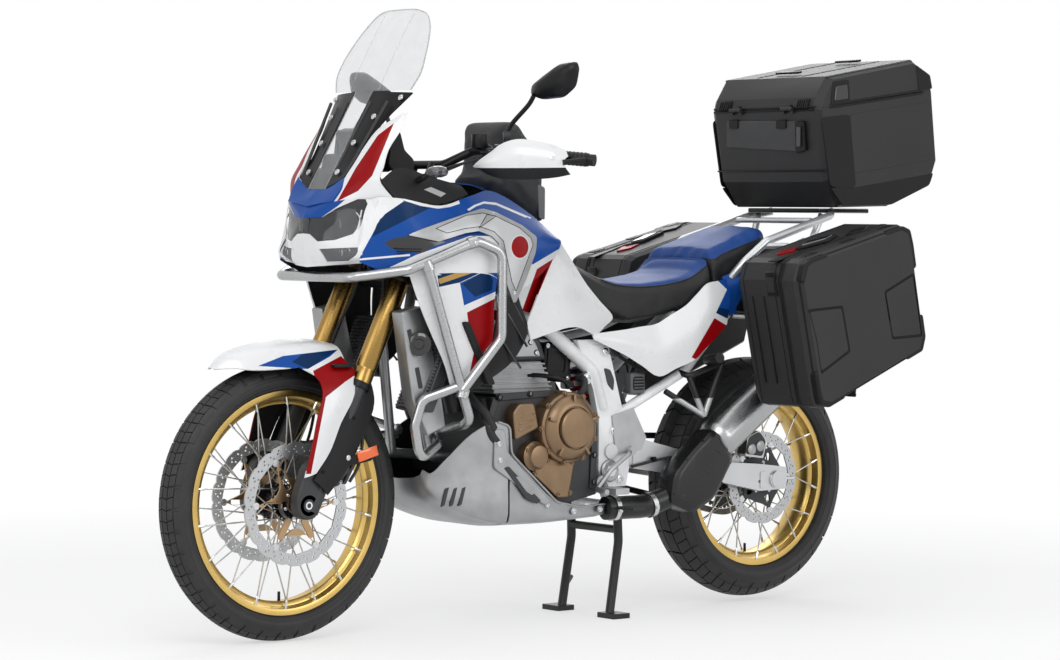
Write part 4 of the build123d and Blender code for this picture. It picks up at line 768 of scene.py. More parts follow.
def make_tyre(name, body, axle, radius, width, flange_radius, flange_half, pitches, blocks, groove):
    """Tyre carcass with its moulded tread blocks.

    A block is four corners of (share of the pitch, share of the crown's half width).
    """
    piece = Piece(name, body, "tyre_rubber", name)
    lip, shoulder, middle = flange_half - LIP_DEPTH, radius - 0.235 * width, radius - 0.45 * width
    seat = flange_radius - SEAT_DROP
    inset = 0.6
    base = groove + inset
    half = CROWN_SHARE * width
    crown = arc((-half, shoulder - base), (0, radius - base), (half, shoulder - base), 20)
    wall = arc((half, shoulder - base), (width / 2 - 0.8, middle), (lip, flange_radius + 1), 10)
    profile = crown + wall[1:] + [(lip, seat + 1), (-lip, seat + 1)]
    profile += [(-x, r) for x, r in reversed(wall[1:])]
    turn = shift(*axle)
    piece.add(lathe(profile, 180, closed=True), "tyre", turn)
    # Rib rings on the wall.
    for share, rise in ((0.30, 0.9), (0.62, 0.8), (0.80, 1.2)):
        x, r = wall[int(share * 10)]
        for side in (1, -1):
            foot, crest = side * (x - 0.6), side * (x + rise)
            ring = [(foot, r - 2.2), (crest, r - 1.2), (crest, r + 1.2), (foot, r + 2.2)]
            piece.add(lathe(ring, 120, closed=True), "tyre", turn)
    top = arc((-half, shoulder - inset), (0, radius - inset), (half, shoulder - inset), 40)

    def crown_point(share, low):
        place = (share + 1) / 2 * 40
        i = min(39, max(0, int(place)))
        t = place - i
        x, r = (a + (b - a) * t for a, b in zip(top[i], top[i + 1]))
        extra = max(0.0, abs(share) - 1.0)
        if extra:
            x = math.copysign(half + extra * 0.05 * width, share)
            r = shoulder - inset - extra * 0.26 * width
        return x, r - (base - inset + 1.0 if low else 0.0)

    wide = 4
    for k in range(pitches):
        for corners in blocks:
            sheet, floor = [], []
            for i in range(wide + 1):
                for j in range(3):
                    s, t = i / wide, j / 2
                    a, b = ([p + (q - p) * s for p, q in zip(corners[i1], corners[i2])] for i1,
                            i2 in ((0, 1), (3, 2)))
                    turn_share, across = (p + (q - p) * t for p, q in zip(a, b))
                    angle = math.tau * (k + turn_share) / pitches
                    for low, rows in ((False, sheet), (True, floor)):
                        x, r = crown_point(across, low)
                        rows.append(Vector((x, r * math.cos(angle), r * math.sin(angle))))
            faces = [(i * 3 + j, i * 3 + j + 1, (i + 1) * 3 + j + 1, (i + 1) * 3 + j)
                     for i in range(wide) for j in range(2)]
            ring = [i * 3 for i in range(wide + 1)] + [wide * 3 + 1, wide * 3 + 2]
            ring += [i * 3 + 2 for i in range(wide - 1, -1, -1)] + [1]
            count = len(sheet)
            faces += [(a, b, count + b, count + a) for a, b in zip(ring, ring[1:] + ring[:1])]
            piece.add((sheet + floor, faces), "tyre", turn)
    piece.make(sharp=28)


def make_spokes(piece, flange_x, flange_r, rim_x, rim_r, turn, count=36, lean=52.0):
    """Crossed spokes with their elbows at the hub and nipples at the rim."""
    for k in range(count):
        side = 1 if k % 2 else -1
        twist = lean if (k // 2) % 2 else -lean
        rim_angle = math.radians(360.0 / count * k)
        hub_angle = rim_angle + math.radians(twist)
        start = Vector((side * flange_x, *polar(flange_r, hub_angle)))
        end = Vector((side * rim_x, *polar(rim_r, rim_angle)))
        way = (end - start).normalized()
        bend = [start - way * 2, start + way * 14, end - way * 14, end]
        piece.add(pipe(bend, [2.6, 1.9, 1.9, 1.9], 8), "spoke", turn)
        piece.add(pipe([end - way * 20, end - way * 17, end + way * 2], [2.2, 3.2, 3.2], 6), "steel",
                  turn)
        elbow = start - way * 5 + Vector((side * 2, 0, 0))
        piece.add(pipe([elbow, start - way * 1], [3.6, 3.0], 8), "steel", turn)


def make_wheel(name, body, axle, flange_radius, flange_half, hub, spoke_place):
    """Gold rim, crossed spokes and black hub."""
    piece = Piece(name, body, "gold_rim", name)
    turn = shift(*axle)
    lip, seat = flange_half - LIP_DEPTH, flange_radius - SEAT_DROP
    shares = [(0.9, 0), (0.55, -3), (0.32, -15)]
    outer = [(lip, flange_radius - 0.5), (lip, seat + 3)] + [(share * lip, seat + drop) for share,
        drop in shares]
    shares = [(0.80, -8), (0.68, -9.5), (0.66, -12), (0.5, -19), (0.40, -21.5)]
    inner = [(flange_half - 0.2, flange_radius - 1.0), (flange_half - 0.2, seat + 2),
             (flange_half - 1.4, seat - 2.5)]
    inner += [(share * lip, seat + drop) for share, drop in shares]
    ring = [(-x, r) for x, r in outer] + [(x, r) for x, r in reversed(outer)]
    ring += [(lip + 1.4, flange_radius)] + inner + [(-x, r) for x,
                                                    r in reversed(inner)] + [(-lip - 1.4, flange_radius)]
    piece.add(lathe(ring, 144, closed=True), "gold", turn)
    piece.add(lathe(hub, 64), "gloss", turn)
    flange_x, flange_r = spoke_place
    for side in (1, -1):
        for k in range(18):
            place = shift(side * flange_x, *polar(flange_r, math.tau * k / 18))
            piece.add(lathe([(-2.5, 6), (2.5, 6), (3.2, 4.5), (3.2, 0)], 10), "gloss", turn @ place)
    make_spokes(piece, flange_x, flange_r, flange_half - 5, seat - 4, turn)
    piece.add(pipe([(0, 0, -(seat - 12)), (0, 0, -(seat - 44))], [4.2, 3.6], 10), "satin", turn)
    piece.make(sharp=30)


def wavy(radius, depth, lobes, sides):
    """Disc rim outline with scallops."""
    line = []
    for k in range(sides):
        a = math.tau * k / sides
        wave = abs(math.sin(a * lobes / 2))
        line.append(polar(radius - depth * (1 - wave) ** 2.2, a))
    return line


def drilled(inner, outer, lobes):
    """Holes of a brake disc, in leaning rows."""
    holes = []
    span = outer - inner
    for k in range(lobes * 2):
        for share, twist in ((0.24, 0.0), (0.50, 0.35), (0.76, 0.12)) if k % 2 else ((0.34, 0.0),
            (0.64, 0.3)):
            a = math.tau * (k + twist) / (lobes * 2)
            holes.append(circle(2.6, 8, *polar(inner + span * share, a)))
    return holes


def make_disc(piece, x, outer, inner, seat, arms, lobes, finish, carrier, axle, twin):
    """Wavy drilled disc on its carrier with bobbins."""
    middle = shift(*axle)
    ring = [wavy(outer - 0.3, 5.5, lobes, 240), wavy(inner + 5, -4.0, arms * 2, 144)] + drilled(inner + 6,
        outer - 4, lobes)
    piece.add(flat(ring, 4.2, 0.4), finish, middle @ shift(x - 2.1, 0, 0) @ SIDEWAYS, twin)
    star = []
    for k in range(arms * 8):
        near = abs(((k % 8) - 4) / 4)
        star.append(polar((inner - 2) * near**3 + (seat + 34) * (1 - near**3), math.tau * k / (arms * 8)))
    windows = []
    for k in range(arms):
        a = math.tau * k / arms
        r1, r2, w = seat + 16, inner - 20, 0.16
        window = [polar(r1, a - w * 1.2), polar(r2, a - w * 0.5), polar(r2, a + w * 0.5),
                  polar(r1, a + w * 1.2)]
        windows.append(rounded(window, 6))
    side = 1 if x > 0 else -1
    plate = flat([star, circle(seat - 4, 40)] + windows, 5.0, 0.6)
    piece.add(plate, carrier, middle @ shift(x + side * 1.0 - 2.5, 0, 0) @ SIDEWAYS, twin)
    bobbin = [(-3.4, 0), (-3.4, 9), (3.0, 9), (3.0, 6), (3.6, 6), (3.6, 2.5), (2.8, 2.5), (2.8, 0)]
    for k in range(arms):
        a = math.tau * k / arms
        piece.add(lathe(bobbin, 16), "steel", middle @ shift(x, *polar(inner + 1.5, a)), twin)
        piece.add(bolt(4.2, 4), "steel", middle @ shift(x + side * 3, *polar(seat + 6, a + 0.3)), twin)


def tread(pattern):
    """Tread blocks on both sides of the crown, from (share of the pitch, share of the half width)."""
    return [[(along, across * side) for along, across in corners] for side in (1,
        -1) for corners in pattern]


def wheels():
    """Tyres, spoked wheels, discs and the rear sprocket."""
    front_blocks = tread([
        [(0.04, 0.03), (0.50, 0.03), (0.56, 0.34), (0.12, 0.34)],
        [(0.54, 0.03), (1.0, 0.03), (1.06, 0.34), (0.62, 0.34)],
        [(0.10, 0.39), (0.52, 0.39), (0.44, 0.70), (0.04, 0.70)],
        [(0.58, 0.39), (1.02, 0.39), (0.96, 0.70), (0.50, 0.70)],
        [(0.08, 0.75), (0.92, 0.75), (0.88, 1.32), (0.14, 1.32)],
    ])
    rear_blocks = tread([
        [(0.03, 0.02), (0.95, 0.02), (1.05, 0.36), (0.17, 0.36)],
        [(0.20, 0.40), (0.62, 0.40), (0.50, 0.80), (0.04, 0.80)],
        [(0.68, 0.40), (1.14, 0.40), (0.98, 0.80), (0.56, 0.80)],
        [(0.06, 0.84), (0.94, 0.84), (0.86, 1.36), (0.12, 1.36)],
    ])
    # Radius and half width at the rims' flanges, and half the hubs' width at their bearings.
    front_flange, rear_flange = (281.5, 34.8), (244.5, 54.8)
    front_seat, rear_seat = 69.2, 65.7
    make_tyre("front_tyre", "front_wheel", FRONT_AXLE, 347.5, 92.0, *front_flange, 38, front_blocks, 4.5)
    make_tyre("rear_tyre", "rear_wheel", REAR_AXLE, 333.5, 150.0, *rear_flange, 30, rear_blocks, 5.5)
    half_hub = [(-front_seat, 11), (-front_seat, 39), (-52, 40), (-48, 27), (-36, 27), (-34.5, 46),
                (-29.5, 46), (-27, 26),
                (-12, 21)]
    front_hub = half_hub + [(-x, r) for x, r in reversed(half_hub)]
    make_wheel("front_wheel", "front_wheel", FRONT_AXLE, *front_flange, front_hub, (32, 42))
    rear_hub = [(-91, 11), (-91, 57), (-62, 57), (-58, 40), (-44, 40), (-42, 63), (-38, 63), (-36, 36),
                (36, 36), (38, 59),
                (42, 59), (44, 36), (rear_seat, 49), (rear_seat, 11)]
    make_wheel("rear_wheel", "rear_wheel", REAR_AXLE, *rear_flange, rear_hub, (40, 58))
    discs = Piece("front_discs", "front_wheel", "brushed_steel", "front_discs")
    make_disc(discs, 71.5, 155, 118, 28, 6, 18, "front_brake", "carrier", FRONT_AXLE, True)
    discs.make()
    disc = Piece("rear_disc", "rear_wheel", "brushed_steel", "rear_disc")
    make_disc(disc, 68, 128, 92, 36, 5, 15, "rear_brake", "dark_cast", REAR_AXLE, False)
    disc.make()
    sprocket = Piece("rear_sprocket", "rear_wheel", "dark_steel", "rear_sprocket")
    steps, chain_line = 42 * 4, -98.5  # four points for each tooth
    teeth = [polar(96.5 if k % 4 in (0, 1) else 88.5, math.tau * k / steps) for k in range(steps)]
    holes = [circle(13, 16, *polar(72, math.tau * k / 6)) for k in range(6)]
    place = shift(*REAR_AXLE) @ shift(chain_line, 0, 0)
    sprocket.add(flat([teeth, circle(13, 20)] + holes, 7, 0.5), "dark_cast", place @ SIDEWAYS)
    for k in range(5):
        where = shift(*REAR_AXLE) @ shift(chain_line, *polar(50, math.tau * k / 5))
        sprocket.add(bolt(6, 5), "steel", where @ rotation("Z", 180))
    sprocket.make()


# ---------------------------------------------------------------- fork and front mudguard
def on_axle(y, z, x=0.0):
    return Vector((x, FRONT_AXLE.y + y, FRONT_AXLE.z + z))


def fork():
    """Gold tubes, dark clamps, feet and calipers with their small parts."""
    legs = Piece("fork_legs", "steering", "fork_aluminium", "fork_tubes")
    for up in (981, 1224):
        outline = rounded([(-34, 22), (34, 22), (111, 4), (150, -8), (150, -46), (111, -60), (60, -34),
                           (-60, -34), (-111, -60),
                           (-150, -46), (-150, -8), (-111, 4)], 10)
        outline = [(x * (147.5 / 150), y) for x, y in outline]
        legs.add(flat([outline], 30, 3, 2), "satin", Matrix.Translation(steer(0, up, 0)) @ STEER_TURN)
        for side in (1, -1):
            legs.add(lathe([(2, 33), (4, 36.5), (26, 36.5), (28, 33), (28, 27.5), (2, 27.5)], 40,
                           closed=True), "satin",
                     pointing(steer(side * FORK_SPREAD, up, -FORK_OFFSET), STEER_AXIS))
    tube_profile = [(690, 0), (690, 24), (694, 26.8), (734, 26.8), (738, 25.0), (742, 25.0), (746, 26.8),
                    (1258, 26.8),
                    (1261, 25), (1261, 0)]
    legs.both(lathe(tube_profile, 48), "fork_gold", LEG)
    legs.both(lathe([(1256, 0), (1256, 16), (1262, 15), (1262, 0)], 6), "blue", LEG)
    legs.both(lathe([(688, 24), (688, 28.0), (704, 28.0), (706, 24)], 40), "satin", LEG)
    legs.add(lathe([(984, 0), (984, 20), (1256, 20), (1256, 0)], 32), "dark_cast",
             pointing(steer(0, 0, 0), STEER_AXIS))
    legs.make()

    foot = Piece("fork_feet", "steering", "black_plastic", "fork_sliders")
    outline = rounded([(-34, -18), (-34, 22), (-6, 96), (40, 128), (58, 112), (64, 60), (44, 8),
                       (20, -34), (-14, -36)], 12)
    leg = lathe([(352, 0), (352, 21), (676, 22.3), (690, 22.3), (690, 0)], 36)
    foot.both(leg, "dark_cast", LEG)
    foot.both(flat([outline], 35, 5, 3), "dark_cast", shift(94.5, FRONT_AXLE.y, FRONT_AXLE.z) @ SIDEWAYS)
    boss = lathe([(90, 26), (92, 30), (126, 30), (129.5, 26), (129.5, 16), (127, 15), (127, 10)], 36)
    foot.both(boss, "dark_cast", shift(*FRONT_AXLE))
    foot.both(lathe([(126, 9), (129.6, 9), (129.6, 6.4), (120, 6.4)], 24), "steel", shift(*FRONT_AXLE))
    lug = rounded([(30, 60), (60, 118), (122, 132), (130, 78), (70, 40)], 10)
    foot.both(flat([lug, circle(7, 14, 78, 96)], 27, 3, 2), "dark_cast",
              shift(96, FRONT_AXLE.y, FRONT_AXLE.z) @ SIDEWAYS)
    for y, z in ((40, 84), (118, 112), (22, -6), (-18, -14)):
        foot.both(bolt(5.5, 4), "steel", shift(*on_axle(y, z, 124)))
    foot.make()

    caliper = Piece("front_calipers", "steering", "caliper_grey", "front_calipers")
    middle, lean = Vector((112, 92)), math.radians(-32)

    def on_caliper(y, z, x=0.0):
        across = middle.x + y * math.cos(lean) - z * math.sin(lean)
        return on_axle(across, middle.y + y * math.sin(lean) + z * math.cos(lean), x)

    body = rounded([(-28, -56), (24, -49), (39, -20), (33, 33), (9, 60), (-28, 48)], 9)
    place = Matrix.Translation(on_caliper(0, 0)) @ rotation("X", math.degrees(lean)) @ SIDEWAYS
    for x, depth, edge in ((52, 15.5, 2), (75.5, 19.5, 3)):
        caliper.both(flat([body], depth, edge, 2), "dark_cast", shift(x, 0, 0) @ place)
    caliper.add(flat([rounded([(-26, -40), (34, -36), (30, 36), (-26, 36)], 8)], 48, 3), "dark_cast",
                shift(51, 0, 0) @ place @ shift(38, 0, 0) @ Matrix.Diagonal((0.16, 0.8, 1, 1)), True)
    for z in (-26, 20):
        caliper.add(lathe([(92, 0), (92, 16), (95.2, 15), (95.2, 12), (94.2, 11.5), (94.2, 0)], 28),
                    "satin",
                    Matrix.Translation(on_caliper(2, z)), True)
    for y, z in ((-22, -46), (-22, 40), (28, -30), (24, 34)):
        caliper.both(bolt(4.5, 4), "steel", Matrix.Translation(on_caliper(y, z, 93)))
    caliper.make()

    details = Piece("fork_details", "steering", "black_plastic")
    # Reflector on its bracket behind the guard, and the brake hose.
    bracket = rounded([(-790, 452), (-668, 492), (-664, 482), (-690, 452), (-786, 436)], 4)
    details.both(flat([bracket], 4, 0.8), "satin", shift(132, 0, 0) @ SIDEWAYS)
    details.both(block((5, 62, 26), 1.5), "orange", shift(138, -704, 470) @ rotation("X", 15))
    details.both(hose([(118, -745, 400), (124, -722, 440), (112, -700, 520), (92, -690, 640),
                       (82, -650, 760),
                       (60, -600, 880), (42, -590, 990)], 5, 4.2), "rubber")
    for y, z in ((-730, 476), (-762, 462)):
        details.both(bolt(5, 3), "steel", shift(136, y, z))
    # Lines between the legs.
    for x, r in ((-38, 5), (-14, 6), (16, 5), (40, 4)):
        line = [(x, -592, 1150), (x * 1.4, -612, 1080), (x * 1.2, -600, 980), (x * 1.7, -575, 900)]
        details.add(hose(line, 5, r), "rubber")
    details.make()


FENDER_CROWN = [  # middle line, shoulder and edge, from the tip back
    [(0, -1084, 690), (8, -1083, 689), (15, -1081, 686)],
    [(0, -1050, 722), (26, -1046, 712), (44, -1040, 688)],
    [(0, -988, 742), (44, -982, 728), (70, -1000, 684)],
    [(0, -905, 753), (58, -900, 738), (88, -910, 687)],
    [(0, -850, 756), (66, -848, 742), (96, -862, 692)],
    [(0, -800, 755), (68, -800, 742), (98, -800, 700)],
    [(0, -745, 748), (60, -742, 736), (96, -742, 700)],
]
FENDER_SIDE = [  # front edge, middle, rear edge, downwards
    [(92, -884, 691), (98, -812, 699), (96, -742, 700)],
    [(116, -842, 662), (116, -782, 672), (112, -722, 672)],
    [(131, -836, 627), (134, -782, 624), (130, -742, 612)],
    [(138, -858, 558), (141, -822, 554), (137, -785, 549)],
    [(140, -877, 482), (143, -850, 482), (140, -820, 480)],
    [(141, -897, 418), (143, -880, 422), (142, -862, 428)],
]
GUARD_ROWS = [  # front edge, middle, rear edge of the black fork guard, downwards
    [(88, -744, 704), (104, -716, 690), (112, -680, 662)],
    [(118, -742, 640), (126, -712, 622), (122, -672, 596)],
    [(130, -790, 545), (136, -755, 525), (130, -716, 505)],
    [(134, -824, 470), (139, -798, 455), (136, -766, 432)],
    [(136, -866, 410), (141, -848, 396), (140, -826, 372)],
]
FENDER_DECALS = [
    ("blue", [(258, 366), (283, 356), (338, 349.5), (330, 356.5), (308, 369)]),
    ("navy", [(303, 354), (338, 349.5), (308, 369), (292, 362)]),
    ("red", [(313, 371), (341, 356), (358, 373), (345, 382), (326, 397), (323, 412), (318, 386)]),
    ("red", [(320, 392), (326, 397), (311, 474), (306, 474)]),
]


def mudguard():
    piece = Piece("mudguard", "steering", "white_paint", "front_fender")
    crown = [[(x * 0.985, y, z - 1.0) for x, y, z in row] for row in FENDER_CROWN]
    piece.sheet(crown, "white", FENDER_DECALS, depth=3.5, along=6, across=8)
    piece.sheet(FENDER_SIDE, "white", FENDER_DECALS, depth=3.5, along=6, across=6)
    piece.make(sharp=40)
    guard = Piece("fork_guards", "steering", "black_plastic")
    guard.sheet(GUARD_ROWS, "grain", depth=3.5, along=5, across=4)
    for place in ((137, -838, 430), (133, -742, 560), (126, -722, 612)):
        guard.both(bolt(4.5, 3), "satin", shift(*place))
    guard.both(block((60, 60, 8), 2), "satin", shift(92, -764, 690))
    guard.make(sharp=40)


# ---------------------------------------------------------------- bodywork
# Decals are finishes with outlines in the 1060 x 660 picture. The finish None cuts an opening.
HEADLIGHT_EDGE = [(290, 219), (311, 218), (322, 217), (337, 208), (358, 199), (365.5, 199), (368, 205),
                  (362, 223), (353, 234),
                  (335, 240), (317, 241.5), (309, 234), (297, 233)]
FOG_EDGE = [(318.5, 249), (360, 247), (356, 255), (348, 262), (327, 262.5)]
NOSE_DECALS = [
    ("blue", [(280, 150), (404, 150), (336.5, 207), (322, 217), (316, 219.5), (280, 219.5)]),
    ("navy", [(404, 201), (429, 207.5), (372, 237), (380, 219)]),
    ("blue", [(404.5, 201), (500, 190), (500, 259), (412, 256.5), (359, 259), (373, 233), (380, 219)]),
    ("navy", [(404, 201), (429, 207.5), (372, 237), (380, 219)]),
    ("blue", [(326, 267), (410, 258), (470, 258), (470, 285), (330, 275)]),
    (None, HEADLIGHT_EDGE),
    (None, FOG_EDGE),
]
FAIRING_DECALS = [
    ("white", [(330, 190), (398, 195), (404, 201), (380, 219), (373, 233), (359, 258.5), (330, 262)]),
    ("navy", [(404, 201), (431, 207.5), (406, 220), (372, 237), (377, 224), (385, 214)]),
    ("white", [(398, 188), (398, 195), (404, 200.5), (421, 206), (438, 208.6), (450, 207), (460, 203.6),
               (458, 198), (449, 203.5),
               (436, 205.3), (423, 203), (406, 198)]),
    ("white", [(467, 209.5), (474, 205), (484, 201.4), (496, 202.6), (531, 217.5), (530, 219.5),
               (496, 205), (484, 203.6), (476, 206.5),
               (469, 211)]),
    ("white", [(359, 258.5), (410, 254), (410, 256), (359, 260.5)]),
    ("gloss", [(384, 243), (393, 238.5), (408, 236), (446, 242), (432, 247), (422, 253.5), (393, 249.5)]),
    ("white", [(382, 271), (416, 255), (470, 236), (533, 236), (533, 330), (382, 330)]),
    ("blue", [(527, 217), (548, 228), (559, 238), (558, 249), (532, 264.5), (500, 262), (515, 225)]),
    ("white", [(532, 265), (558, 249.5), (600, 240), (600, 340), (500, 340), (517, 300)]),
    ("red", [(553, 259), (537, 269), (522, 310.6), (527, 321.4)]),
]
LOWER_DECALS = [
    ("navy", [(437, 272), (476, 252), (499, 255), (500, 263.5), (460, 282.5), (439, 287)]),
    ("gold_paint", [(438, 279), (499, 258.5), (500, 263.5), (440, 284)]),
    ("blue", [(460, 283), (500, 264), (497, 291), (464, 305.5)]),
    ("navy", [(462.5, 284), (487, 270), (493, 280), (492, 290), (475, 297)]),
    ("red", [(467, 312.5), (497, 297.5), (500, 332), (486, 350), (469, 376), (474, 352), (470, 335)]),
]
TANK_DECALS = [
    ("white", [(500, 262), (532, 265), (558, 249.5), (600, 240), (600, 380), (480, 380)]),
    ("blue", [(527, 217), (548, 228), (559, 238), (558, 249), (532, 264.5), (500, 262), (515, 225)]),
    ("red", [(553, 259), (537, 269), (522, 310.6), (527, 321.4)]),
]
SILVER_EDGE = [(407.8, 235), (467.5, 210), (484, 208.6), (496, 212), (522, 225), (536, 236), (539, 243),
               (530.5, 267.5), (518, 302),
               (513.5, 302.5), (507, 284), (499, 243), (492, 236), (479, 231), (466, 233), (439, 241.5)]
SILVER_INNER = [(436, 228.5), (466, 215.5), (483, 213), (495, 216), (520, 228), (531, 238), (533, 245),
                (516, 291), (512, 282),
                (503.5, 241), (494, 231.5), (480, 226.5), (465, 228.5), (447, 233)]
SILVER_STEP = [(479, 228), (487, 214.5), (496.5, 216)]
BADGE_MIDDLE, BADGE_SIZE = (520, 247), (9.4, 12.2)


def corners_of(outline, step=4.0):
    """Closed picture outline with points close enough to follow a surface."""
    points = []
    for one, two in zip(outline, list(outline[1:]) + [outline[0]]):
        count = max(1, int(math.dist(one, two) / step))
        points += [(one[0] + (two[0] - one[0]) * k / count,
                    one[1] + (two[1] - one[1]) * k / count) for k in range(count)]
    return points + [outline[0]]


def ellipse(middle, size, share=1.0, count=28):
    turns = [math.tau * k / count for k in range(count)]
    return [(middle[0] + share * size[0] * math.cos(a),
             middle[1] + share * size[1] * math.sin(a)) for a in turns]


COVER_DECALS = [
    ("blue", [(716, 279), (740, 268), (745, 300), (736, 309), (727, 318.5), (716, 313), (727, 289.5)]),
    ("navy", [(719, 307.5), (740, 312), (727, 318.5), (716, 313)]),
    ("red", [(714.5, 318), (726, 325), (745, 316), (708.6, 352), (699, 361), (691.6, 357.5)]),
]
TAIL_DECALS = [
    ("blue", [(700, 240), (800, 240), (800, 309), (727, 318.5), (716, 313)]),
    ("red", [(714.5, 318), (726, 325), (800, 300), (800, 400), (691, 400)]),
]
GUARD_EDGE = [(455, 168), (480, 150), (497, 142), (503, 132), (540, 134), (566, 150), (572, 167.5),
              (520, 168)]
INNER_COWL = [  # y, z of the dark wall beside the instruments
    (-631, 1191), (-620, 1284), (-595, 1274), (-581, 1229), (-552, 1206), (-550, 1150), (-578, 1139)]
# Outline of a pale patch on the dark trim, a painted highlight.
TRIM_HIGHLIGHT_EDGE = [(424, 189.5), (431, 187), (446, 193.5), (441, 197)]
WING_DECALS = [("red", [(394, 123), (372, 176), (358, 191), (337, 201.5), (356, 167.5), (378, 135)])]

NOSE_ROWS = [  # x, y, z from the middle outwards, from the chin up
    [(0, -796, 934), (60, -785, 938), (110, -760, 942), (172, -742, 946)],
    [(0, -802, 962), (62, -795, 958), (125, -772, 958), (178, -757, 963)],
    [(0, -807, 1000), (60, -802, 999), (130, -766, 1000), (176, -738, 1004)],
    [(0, -808, 1050), (30, -800, 1054), (120, -768, 1056), (182, -724, 1060)],
    [(0, -790, 1090), (95, -782, 1098), (140, -756, 1104), (190, -715, 1104)],
]
BEAK_ROWS = [
    [(0, -797, 1086), (50, -793, 1094), (95, -786, 1099)],
    [(0, -783, 1110), (42, -779, 1112), (105, -768, 1130)],
    [(0, -768, 1128), (38, -765, 1130), (101, -752, 1160)],
]
WING_ROWS = [  # front edge, ridge, rear edge
    [(94, -781, 1098), (150, -742, 1102), (203, -675, 1104)],
    [(102, -752, 1158), (150, -740, 1150), (188, -708, 1152)],
    [(106, -726, 1195), (150, -716, 1192), (180, -690, 1186)],
    [(113, -700, 1237), (148, -690, 1234), (170, -668, 1228)],
    [(124, -666, 1281), (152, -656, 1279), (172, -634, 1276)],
    [(170, -621, 1321), (173, -618, 1321), (176, -612, 1321)],
]
SCREEN_ROWS = [  # z, y on the middle line, half width, sweep back at the edge
    (1129, -769, 36, 2), (1200, -728, 36, 2), (1288, -675, 36, 2), (1378, -622, 37, 2), (1379.5, -624,
        160, 31), (1420, -603, 178, 26),
    (1465, -579, 172, 22), (1510, -554, 156, 20), (1548, -532, 134, 18), (1575, -515, 106, 12), (1584,
        -510, 82, 7), (1588, -506.5, 56, 4)]
SURROUND_ROWS = [  # beside the screen's foot, then beside the wing
    [(39, -766, 1132), (70, -760, 1145), (98, -750, 1162)],
    [(39, -726, 1200), (74, -722, 1200), (103, -712, 1204)],
    [(39, -675, 1288), (80, -670, 1288), (118, -655, 1292)],
    [(39, -622, 1377), (100, -612, 1375), (160, -588, 1373)],
]
TRIM_ROWS = [
    [(186, -706, 1150), (198, -690, 1130), (204, -674, 1108)],
    [(176, -640, 1184), (196, -620, 1140), (210, -600, 1100)],
    [(176, -540, 1162), (198, -540, 1130), (212, -541, 1094)],
    [(168, -440, 1142), (184, -438, 1130), (194, -436, 1119)],
]
FAIRING_COLUMNS = [  # top, bulge, bottom of the upper fairing, front to rear
    [(160, -752, 1006), (172, -762, 975), (174, -756, 948)],
    [(176, -726, 1103), (192, -722, 1012), (192, -706, 928)],
    [(208, -668, 1108), (224, -665, 1010), (226, -652, 914)],
    [(215, -541, 1090), (254, -545, 1010), (256, -545, 918)],
    [(196, -428, 1116), (264, -430, 1018), (268, -425, 918)],
    [(160, -331, 1128), (254, -330, 1010), (266, -338, 880)],
    [(164, -215, 1074), (226, -222, 1000), (228, -240, 905)],
    [(152, -118, 1014), (176, -116, 1000), (186, -150, 950)],
]
LOWER_ROWS = [
    [(228, -644, 918), (258, -540, 922), (270, -397, 922)],
    [(232, -616, 845), (254, -520, 850), (266, -405, 850)],
    [(235, -585, 780), (250, -500, 775), (262, -412, 740)],
    [(240, -540, 690), (246, -500, 680), (250, -470, 668)],
    [(238, -522, 640), (240, -512, 630), (242, -504, 622)],
]
TANK_PANEL_COLUMNS = [
    [(224, -652, 1013), (226, -650, 1009), (227, -648, 1005)],
    [(240, -560, 1042), (256, -560, 1024), (260, -560, 1008)],
    [(250, -463, 1070), (270, -465, 1040), (276, -470, 1014)],
    [(244, -400, 1086), (268, -392, 1032), (278, -385, 992)],
    [(230, -300, 1056), (266, -318, 980), (281, -372, 854)],
    [(224, -234, 1028), (252, -262, 965), (275, -345, 848)],
]
KNEE_ROWS = [
    [(196, -168, 948), (176, -138, 980), (150, -98, 1000)],
    [(208, -214, 870), (186, -100, 880), (152, -10, 890)],
    [(211, -254, 790), (188, -95, 800), (150, 84, 800)],
    [(208, -240, 748), (184, -72, 778), (160, 20, 752)],
]
SIDE_COVER_COLUMNS = [
    [(160, 6, 758), (164, 6, 752), (165, 8, 744)],
    [(166, 112, 768), (178, 110, 735), (174, 110, 700)],
    [(168, 222, 782), (188, 224, 712), (180, 222, 642)],
    [(174, 320, 830), (194, 330, 752), (190, 338, 684)],
    [(178, 392, 888), (196, 400, 820), (190, 399, 730)],
    [(176, 462, 900), (192, 462, 850), (188, 455, 776)],
]
TAIL_COLUMNS = [
    [(150, 470, 905), (178, 470, 868), (178, 474, 800)],
    [(146, 640, 960), (166, 640, 920), (160, 640, 860)],
    [(120, 800, 1012), (140, 800, 970), (130, 800, 920)],
]
# Pale grey used as a painted highlight on the dark trim beside the screen.
M["trim_painted_highlight"] = surface("painted_trim_highlight", (0.45, 0.45, 0.45), 0.4, grain=70, depth=0.00002)
M["gold_paint"] = surface("gold_enamel", (0.42, 0.24, 0.03), 0.34, coat=0.7, grain=70, depth=0.00004)


def denser(rows):
    """Rows with a straight halfway row between each two, which keeps a sheet close to its flat form."""
    finer = []
    for one, two in zip(rows, rows[1:]):
        finer += [one, [tuple((a + b) / 2 for a, b in zip(p, q)) for p, q in zip(one, two)]]
    return finer + [rows[-1]]


def inwards(rows, x=0.0, y=0.0):
    return [[(p[0] + x, p[1] + y, p[2]) for p in row] for row in rows]


